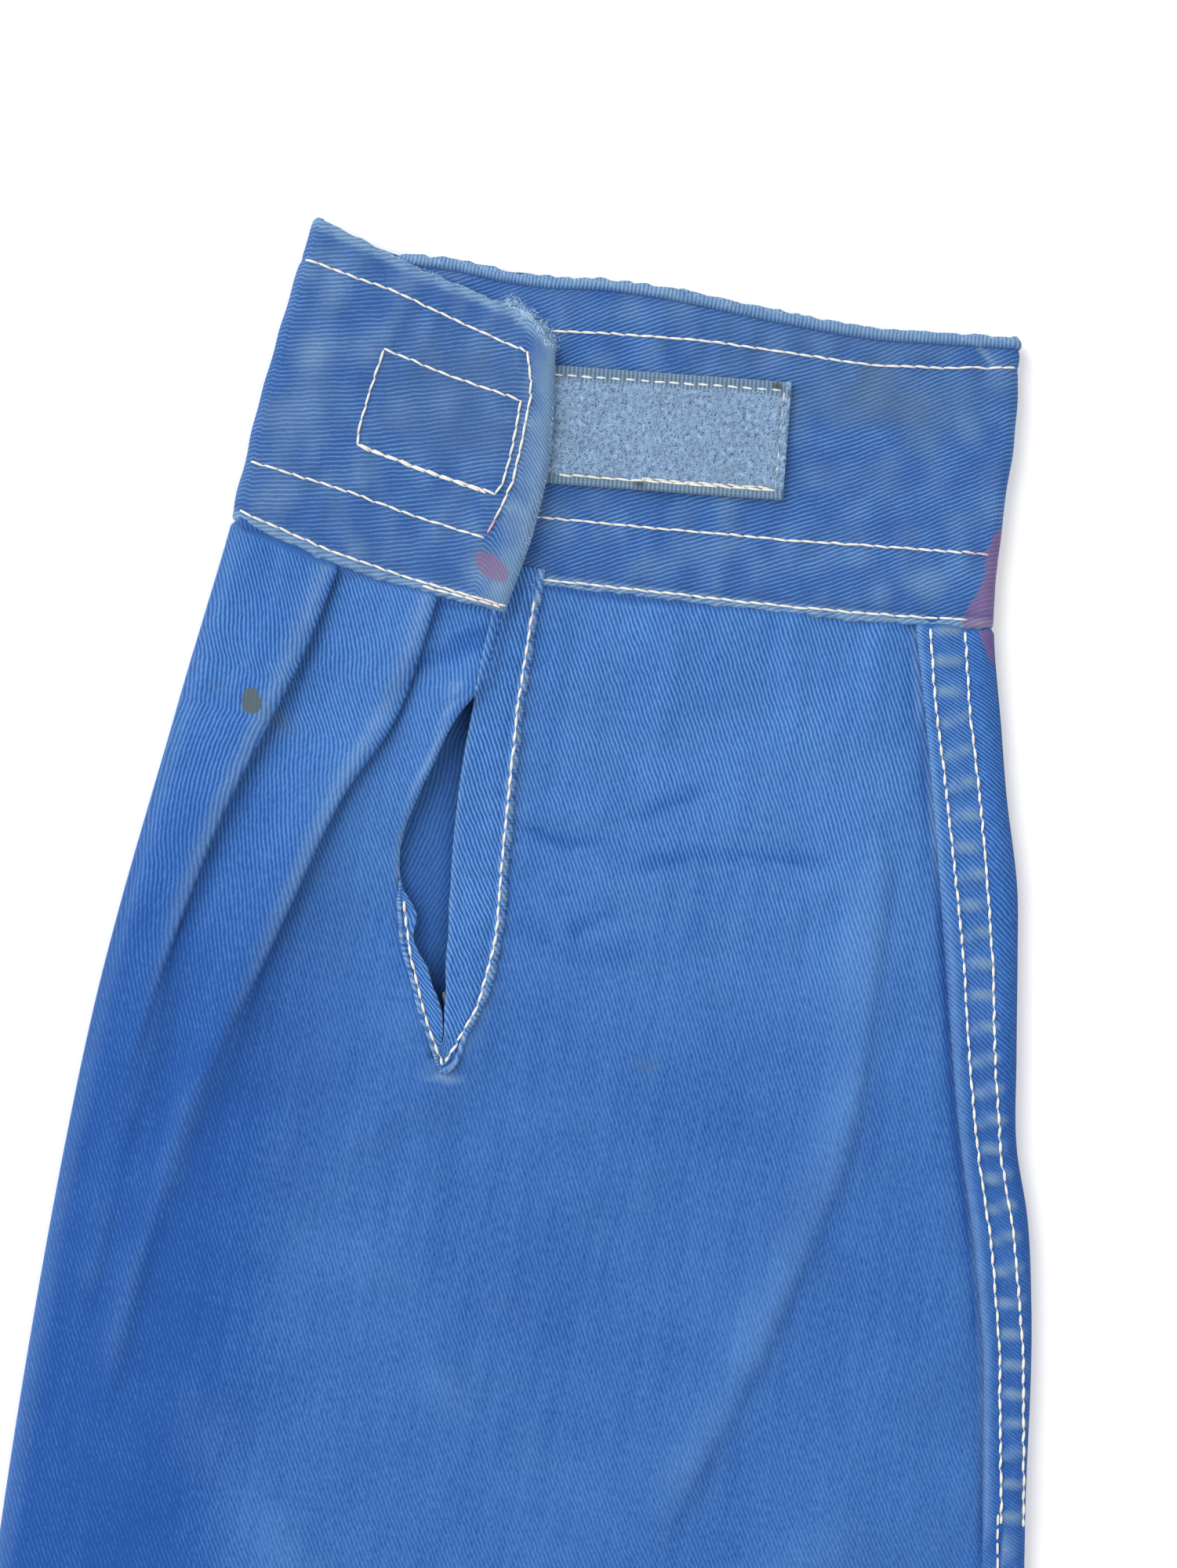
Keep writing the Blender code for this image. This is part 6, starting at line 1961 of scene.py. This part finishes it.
def fibre_finish(name):
    """Loose cotton fibres, paler than the cloth."""
    finish = Finish(name)
    finish.shader.inputs["Base Color"].default_value = (0.48, 0.68, 0.86, 1.0)
    finish.plain(Roughness=0.8, Specular_IOR_Level=0.2)
    return finish.material


# What a user can change

def colour_setting(name, description, default):
    """A colour that a user can change."""
    return FloatVectorProperty(
        name=name, description=description, default=default, size=3, subtype="COLOR", min=0, max=1,
    )


class CoverallsCloth(bpy.types.PropertyGroup):
    """The twill and its marks of wear."""

    twill_pitch: FloatProperty(
        name="Twill pitch", description="Distance between two ridges of the twill", default=0.00086,
        min=0.0005, max=0.003, unit="LENGTH", precision=5,
    )
    twill_angle: FloatProperty(
        name="Twill angle", description="Turn of the ridges from the warp", default=math.radians(27),
        subtype="ANGLE",
    )
    deep_blue: colour_setting("Deep blue", "Cloth between the ridges", (0.008, 0.060, 0.255))
    light_blue: colour_setting("Light blue", "Cloth on the ridges, faded a little", (0.125, 0.312, 0.640))
    worn_blue: colour_setting("Worn blue", "Cloth rubbed pale on edges and puckers", (0.225, 0.360, 0.500))
    pink_stain: colour_setting("Pink stain", "The pink that has run into the cuff", (0.210, 0.075, 0.165))
    grime: colour_setting("Grime", "Grey-green dirt", (0.085, 0.125, 0.135))


class CoverallsThread(bpy.types.PropertyGroup):
    """The sewing thread."""

    pitch: FloatProperty(
        name="Stitch length", description="Distance from one stitch to the next", default=0.0031,
        min=0.001, max=0.008, unit="LENGTH", precision=5,
    )
    thickness: FloatProperty(
        name="Thread thickness", description="Width of the thread", default=0.00051, min=0.0002, max=0.002,
        unit="LENGTH", precision=5,
    )
    colour: colour_setting("Thread colour", "Off-white cotton", (0.76, 0.745, 0.69))


class CoverallsTape(bpy.types.PropertyGroup):
    """The hook-and-loop tape."""

    pile: colour_setting("Pile colour", "The loops, pale with lint", (0.285, 0.420, 0.580))
    selvedge: colour_setting("Selvedge colour", "The ribbed edges of the tape", (0.120, 0.200, 0.300))
    loops: IntProperty(
        name="Loops", description="Loops in the pile of the nearer patch", default=5200, min=0, max=8000,
    )


class CoverallsStage(bpy.types.PropertyGroup):
    """The floor, the light and the camera."""

    floor: colour_setting("Floor colour", "Pale plain floor", (0.93, 0.93, 0.93))
    key_power: FloatProperty(
        name="Key light", description="Power of the large soft light", default=190.0, min=0, unit="POWER",
    )
    fill_power: FloatProperty(
        name="Fill light", description="Power of the light on the other side", default=66.0, min=0,
        unit="POWER",
    )
    sky: FloatProperty(name="Sky", description="Strength of the light from all round", default=0.62, min=0)
    field: FloatProperty(
        name="Field width", description="Width of cloth that the view takes in", default=0.2502, min=0.05,
        unit="LENGTH",
    )
    height: FloatProperty(
        name="Camera height", description="Height of the camera over the cuff", default=0.62, min=0.1,
        unit="LENGTH",
    )


# One operator for each piece or group of like pieces

class CoverallsStep(bpy.types.Operator):
    """The common base of the steps."""

    bl_options = {"REGISTER", "UNDO"}

    def make(self, context):
        raise NotImplementedError

    def execute(self, context):
        self.make(context)
        return {"FINISHED"}


def cloth_material():
    """The twill that every panel has."""
    return made_once("worn_twill", twill_finish)


class MakeSleeves(CoverallsStep):
    """Lays both sleeves, with their pleats, slits and felled seams"""

    bl_idname = "coveralls.sleeves"
    bl_label = "Sleeves"

    def make(self, context):
        for side, word, coarse in ((1, "right", 1), (-1, "left", 2)):
            shell, cut = sleeve_cloth(side, coarse)
            name = "sleeve_" + word
            piece = finish_mesh(name + "_cloth", shell, cloth_material(), (name,), PLY)
            declare(cut)


class MakeCuffs(CoverallsStep):
    """Makes both cuffs as doubled bands with rounded, worn edges"""

    bl_idname = "coveralls.cuffs"
    bl_label = "Cuffs"

    def make(self, context):
        for side, word, coarse in ((1, "right", 1), (-1, "left", 2)):
            shell, cut = cuff_cloth(side, coarse)
            name = "cuff_" + word
            piece = finish_mesh(name + "_cloth", shell, cloth_material(), (name,))
            declare(cut[:, :cut.shape[1] // 2])


class MakePatches(CoverallsStep):
    """Sews the loop patch on each underlap and the hook patch inside each lap"""

    bl_idname = "coveralls.patches"
    bl_label = "Hook and loop patches"

    def make(self, context):
        tape = made_once("patch_tape", tape_finish)
        pile = made_once("loop_pile", pile_finish)
        loops = context.scene.coveralls_tape.loops
        make_patches(1, "right", tape, pile, loops)
        make_patches(-1, "left", tape, pile, loops // 2)


class MakeBindings(CoverallsStep):
    """Lays the puckered strip round each slit"""

    bl_idname = "coveralls.bindings"
    bl_label = "Slit bindings"

    def make(self, context):
        for side, word in SIDES:
            tree = surface_tree(bpy.data.objects["sleeve_" + word + "_cloth"])
            shell, cut = binding_cloth(side, tree)
            name = "slit_binding_" + word
            bmesh.ops.recalc_face_normals(shell, faces=shell.faces)
            piece = finish_mesh(name + "_cloth", shell, cloth_material(), (name,), 0.7 * MM)
            declare(cut)


class MakeBodice(CoverallsStep):
    """Lays the back over the two fronts"""

    bl_idname = "coveralls.bodice"
    bl_label = "Bodice"

    def make(self, context):
        make_front_bodices(cloth_material())
        make_back_bodice(cloth_material())


class MakeWaistband(CoverallsStep):
    """Makes the waistband, behind and in front"""

    bl_idname = "coveralls.waistband"
    bl_label = "Waistband"

    def make(self, context):
        make_waistbands(cloth_material())


class MakeLegs(CoverallsStep):
    """Lays the four panels of the legs"""

    bl_idname = "coveralls.legs"
    bl_label = "Legs"

    def make(self, context):
        make_legs(cloth_material())


class MakeClosure(CoverallsStep):
    """Lays the placket and its hook and loop tapes under the fronts"""

    bl_idname = "coveralls.closure"
    bl_label = "Front closure"

    def make(self, context):
        make_closure(cloth_material(), made_once("patch_tape", tape_finish))


class MakeCollar(CoverallsStep):
    """Folds the collar over the back and round the shoulders"""

    bl_idname = "coveralls.collar"
    bl_label = "Collar"

    def make(self, context):
        make_collar(cloth_material())


class MakeStitching(CoverallsStep):
    """Sews the visible seams of the sleeves, cuffs, patches and body"""

    bl_idname = "coveralls.stitching"
    bl_label = "Stitching"

    def make(self, context):
        thread = context.scene.coveralls_thread
        material = made_once("cotton_thread", thread_finish)
        for side, word in SIDES:
            sew_cuff(side, word, thread, material)
        sew_body(thread, material)


class MakeFray(CoverallsStep):
    """Sets the loose fibres on the rubbed corner and edges of the cuff"""

    bl_idname = "coveralls.fray"
    bl_label = "Frayed edges"

    def make(self, context):
        cuff = bpy.data.objects["cuff_right_cloth"]
        grow_fray(surface_tree(cuff), made_once("loose_fibre", fibre_finish))
        tree = surface_tree(bpy.data.objects["sleeve_right_cloth"])
        loose = stitch_line(tree, sleeve_place(1), ((-21.4, 158.4), (-20.5, 161.2)), 2.9, 0.00075, 8)
        thread_piece("loose_thread_end", [loose], 0.00075, 1, made_once("cotton_thread", thread_finish))


class MakeStage(CoverallsStep):
    """Sets the floor, the light and the camera over the right cuff"""

    bl_idname = "coveralls.stage"
    bl_label = "Stage"

    def make(self, context):
        set_stage(context.scene.coveralls_stage)


def sew_cuff(side, word, thread, material):
    """The rows of stitching on one cuff and the end of its sleeve."""
    fine = side > 0
    pitch, size = thread.pitch / MM, thread.thickness
    to_place = sleeve_place(side)
    cuff = surface_tree(bpy.data.objects["cuff_" + word + "_cloth"])
    patch = surface_tree(bpy.data.objects["loop_patch_" + word + "_tape"])
    binding = surface_tree(bpy.data.objects["slit_binding_" + word + "_cloth"])
    sleeve = surface_tree(bpy.data.objects["sleeve_" + word + "_cloth"])
    below_lap = 6.9 * MM
    # On the sleeve the thread dips between stitches, so a stitch covers less of its pitch there.
    beaded, plain = 0.74, 0.88
    rows = [(cuff, line, 0.0, FROM_ABOVE) for line in LAP_ROWS]
    rows += [(cuff, line, 0.0, below_lap) for line in UNDERLAP_ROWS]
    rows += [(cuff, ((-58.8, 46.8), (-43.0, 50.1), (-30.0, 52.3)), 0.1, FROM_ABOVE)]
    rows += [(cuff, ((-40.0, 73.9), (-23.0, 75.6)), 0.1, FROM_ABOVE)]
    rows += [(patch, line, depth, below_lap) for line, depth in zip(patch_rows(), (0.72, 0.80, 0.0, 0.1))]
    rows += [(binding, line, 0.0, FROM_ABOVE) for line in (SLIT_RIGHT_ROW, SLIT_LEFT_ROW)]
    rows += [(sleeve, line, 0.0, FROM_ABOVE) for line in (FELL_LEFT_ROW, FELL_RIGHT_ROW)]
    strands = [
        stitch_line(tree, to_place, line, pitch, size, 100 + number, fine, sunk, start,
                    beaded if tree in (binding, sleeve) else plain)
        for number, (tree, line, sunk, start) in enumerate(rows)
    ]
    sides = 1 if fine else 0
    return thread_piece("thread_cuff_" + word, strands, size, sides, material, thread_pink(side))


# How far the two rows of a felled seam lie from its edge, in metres.
NEAR_INSET = 0.0025
FAR_INSET = 0.0090


def double_row(side, edge, insets, heights):
    """Rows of stitching beside an edge of the body, one for each inset from it."""
    return [[(side * (float(edge(y)) + inset), y) for y in heights] for inset in insets]


def body_seams():
    """The rows of stitching that show on the back of the body, in metres from the hems."""
    rows = []
    for side in (1, -1):
        heights = np.linspace(0.004, WAIST_Y - 0.004, 60)
        rows += double_row(side, half_width, (-NEAR_INSET, -FAR_INSET), heights)
        crotch = [y for y in heights if y < CROTCH_Y - 0.012]
        rows += double_row(side, LEG_INNER, (NEAR_INSET, FAR_INSET), crotch)
        low, high = float(LEG_INNER(0.018)) + 0.002, float(half_width(0.018)) - 0.002
        rows.append([(side * x, 0.018) for x in np.linspace(low, high, 20)])
        up = np.linspace(WAIST_Y + WAISTBAND + 0.004, UNDERARM_Y - 0.004, 20)
        rows += double_row(side, half_width, (-NEAR_INSET, -FAR_INSET), up)
        arm = np.linspace(UNDERARM_Y + 0.004, SHOULDER_Y - 0.004, 20)
        rows += double_row(side, half_width, (-0.0035, -0.0100), arm)
        shoulder = np.linspace(0.150, SHOULDER_X - 0.004, 14)
        rows.append([(side * x, float(shoulder_line(x)) - 0.003) for x in shoulder])
    for inset in (0.0022, 0.0088):
        rows.append([(inset, y) for y in np.linspace(CROTCH_Y + 0.004, WAIST_Y - 0.003, 30)])
    for y in (WAIST_Y + 0.0022, WAIST_Y + WAISTBAND - 0.0022):
        reach = float(half_width(y)) - 0.003
        rows.append([(x, y) for x in np.linspace(-reach, reach, 40)])
    return rows


def sleeve_seams():
    """The rows that run on from the photographed end of the sleeve to the armhole, in millimetres."""
    along = np.linspace(251.0, 596.0, 30)
    rows = []
    for inset in (3.2, 9.9):
        row = []
        for s in along:
            slant = armhole_slant(0.95) * smooth_step((s - 210) / 390)
            row.append((float(FELL_EDGE(s)) + inset, float(s + slant)))
        rows.append(row)
    return rows


def collar_seams():
    """The row inside the edge of the collar's fall, in metres from the hems."""
    outer = [section[2] for section in collar_sections()[-31:]]
    half = [(float(p[0]), float(p[1]) + 0.005) for p in outer]
    return [half + [(-x, y) for x, y in half[-2::-1]]]


def sew_body(thread, material):
    """The rows of stitching on the body and the rest of the sleeves."""
    pitch, size = thread.pitch, thread.thickness
    names = ["back_bodice_cloth", "waistband_back_cloth", "leg_back_right_cloth", "leg_back_left_cloth",
             "collar_cloth"]
    tree = surface_tree(*[bpy.data.objects[name] for name in names])
    strands = []
    for number, line in enumerate(body_seams() + collar_seams()):
        strands.append(stitch_line(tree, body_place, line, pitch, size, 200 + number, False))
    thread_piece("thread_body", strands, size, 0, material)
    for side, word in SIDES:
        tree = surface_tree(bpy.data.objects["sleeve_" + word + "_cloth"])
        strands = [
            stitch_line(tree, sleeve_place(side), line, pitch / MM, size, 300 + number, False)
            for number, line in enumerate(sleeve_seams())
        ]
        thread_piece("thread_sleeve_" + word, strands, size, 0, material)


def grow_fray(tree, material):
    """Fine fibres that stand up along the cuff's rubbed corner and free edges."""
    chance = np.random.default_rng(91)
    lines = (
        (((-33.0, 10.8), (-30.4, 12.0), (-26.6, 13.8), (-23.2, 16.2), (-21.2, 19.5)), 620, 0.75, 1.3),
        (((-60.0, 5.2), (-46.0, 9.0), (-32.0, 12.4)), 110, 0.4, 0.5),
        (((-54.0, 4.8), (-30.0, 4.6), (0.0, 2.6), (30.0, 3.4), (50.0, 3.3), (75.0, 0.6)), 420, 0.5, 0.8),
        (((-19.2, 30.0), (-17.6, 45.0), (-20.0, 64.0)), 90, 0.4, 0.5),
    )
    strands = []
    for line, count, reach, spread_over in lines:
        places = resampled(line, 0.1)
        for _ in range(count):
            spot = places[chance.integers(len(places))] + chance.normal(0, spread_over * 0.5, 2)
            step = chance.normal(0, reach * 0.5, (2, 2))
            strand = []
            for part, rise in ((0.0, 0.0), (0.5, 0.30), (1.0, 0.42)):
                moved = spot + step[0] * part + step[1] * part * part * 0.6
                x, y = sleeve_place(1)(moved)
                base = top_of(tree, x, y)
                if base is None or base < UPPER_SIDE_Z:
                    base = strand[-1][2] - 0.0002 if strand else None
                if base is None:
                    break
                strand.append((x, y, base + rise * reach * chance.uniform(0.2, 0.8) * MM))
            if len(strand) == 3:
                strands.append(strand)
    thread_piece("frayed_edges", strands, 0.075 * MM, 0, material)


# How far the picture is turned from the sleeve's own directions, the camera's sensor in millimetres, and
# the floor's half size and how far it lies below the cloth, in metres.
VIEW_TURN = math.radians(9.7)
SENSOR_WIDTH = 36.0
FLOOR_REACH = 8.0
FLOOR_DROP = 0.0004


def set_stage(stage):
    """A pale floor, soft light from the upper left of the view, and the camera square above the cuff."""
    t = Vector((ACROSS[0], ACROSS[1], 0.0))
    s = Vector((ALONG[0], ALONG[1], 0.0))
    right = (t * math.cos(VIEW_TURN) - s * math.sin(VIEW_TURN)).normalized()
    down = (t * math.sin(VIEW_TURN) + s * math.cos(VIEW_TURN)).normalized()
    middle = Vector(from_sleeve(1, 1.6, 109.3, 4.6).tolist())
    camera = bpy.data.cameras.new("view_of_cuff")
    camera.sensor_fit = "HORIZONTAL"
    camera.sensor_width = SENSOR_WIDTH
    camera.lens = SENSOR_WIDTH * stage.height / stage.field
    seen = bpy.data.objects.new("view_of_cuff", camera)
    bpy.context.scene.collection.objects.link(seen)
    turned = Matrix((right, -down, Vector((0, 0, 1)))).transposed().to_4x4()
    turned.translation = middle + Vector((0, 0, stage.height))
    seen.matrix_world = turned
    bpy.context.scene.camera = seen
    shell = bmesh.new()
    bmesh.ops.create_grid(shell, x_segments=1, y_segments=1, size=FLOOR_REACH)
    bmesh.ops.translate(shell, vec=(0, 0, -FLOOR_DROP), verts=shell.verts)
    mesh = bpy.data.meshes.new("floor")
    shell.to_mesh(mesh)
    shell.free()
    floor = bpy.data.objects.new("floor", mesh)
    bpy.context.scene.collection.objects.link(floor)
    plain = Finish("pale_floor")
    plain.shader.inputs["Base Color"].default_value = opaque(stage.floor)
    plain.plain(Roughness=0.9, Specular_IOR_Level=0.1)
    mesh.materials.append(plain.material)
    for name, power, size, aim in (
        ("key", stage.key_power, 4.5, (right * -1.0 - down * 0.62) * 2.6 + Vector((0, 0, 2.1))),
        ("fill", stage.fill_power, 3.4, (right * 0.9 + down * 0.5) * 2.6 + Vector((0, 0, 3.1))),
    ):
        lamp = bpy.data.lights.new(name, "AREA")
        lamp.energy = power
        lamp.shape = "DISK"
        lamp.size = size
        held = bpy.data.objects.new(name, lamp)
        bpy.context.scene.collection.objects.link(held)
        held.visible_camera = False
        facing = aim.to_track_quat("Z", "Y").to_matrix().to_4x4()
        held.matrix_world = Matrix.Translation(middle + aim) @ facing
    bpy.context.scene.view_settings.view_transform = "Standard"
    world = bpy.data.worlds.new("studio")
    bpy.context.scene.world = world
    world.use_nodes = True
    sky = world.node_tree.nodes["Background"]
    sky.inputs["Color"].default_value = (1.0, 1.0, 1.0, 1.0)
    sky.inputs["Strength"].default_value = stage.sky


class CoverallsPanel(bpy.types.Panel):
    """Lists the sizes and colours, and the steps in their order."""

    bl_idname = "VIEW3D_PT_coveralls"
    bl_label = "Coveralls"
    bl_space_type = "VIEW_3D"
    bl_region_type = "UI"
    bl_category = "Coveralls"

    def draw(self, context):
        for group in GROUPS:
            box = self.layout.box()
            settings = getattr(context.scene, group)
            for name in settings.bl_rna.properties.keys():
                if name not in ("rna_type", "name"):
                    box.prop(settings, name)
        for step in STEPS:
            self.layout.operator(step.bl_idname)


GROUPS = {
    "coveralls_cloth": CoverallsCloth,
    "coveralls_thread": CoverallsThread,
    "coveralls_tape": CoverallsTape,
    "coveralls_stage": CoverallsStage,
}
STEPS = (
    MakeSleeves, MakeCuffs, MakePatches, MakeBindings, MakeBodice, MakeWaistband, MakeLegs, MakeClosure,
    MakeCollar, MakeStitching, MakeFray, MakeStage,
)


def register():
    """Adds the settings, the steps and the panel to Blender."""
    for kind in tuple(GROUPS.values()) + STEPS + (CoverallsPanel,):
        bpy.utils.register_class(kind)
    for name, group in GROUPS.items():
        setattr(bpy.types.Scene, name, PointerProperty(type=group))


def unregister():
    """Takes them out again."""
    for name in GROUPS:
        delattr(bpy.types.Scene, name)
    for kind in (tuple(GROUPS.values()) + STEPS + (CoverallsPanel,))[::-1]:
        bpy.utils.unregister_class(kind)


def main():
    """Runs every step in turn."""
    register()
    for step in STEPS:
        group, name = step.bl_idname.split(".")
        getattr(getattr(bpy.ops, group), name)()


if __name__ == "__main__":
    main()
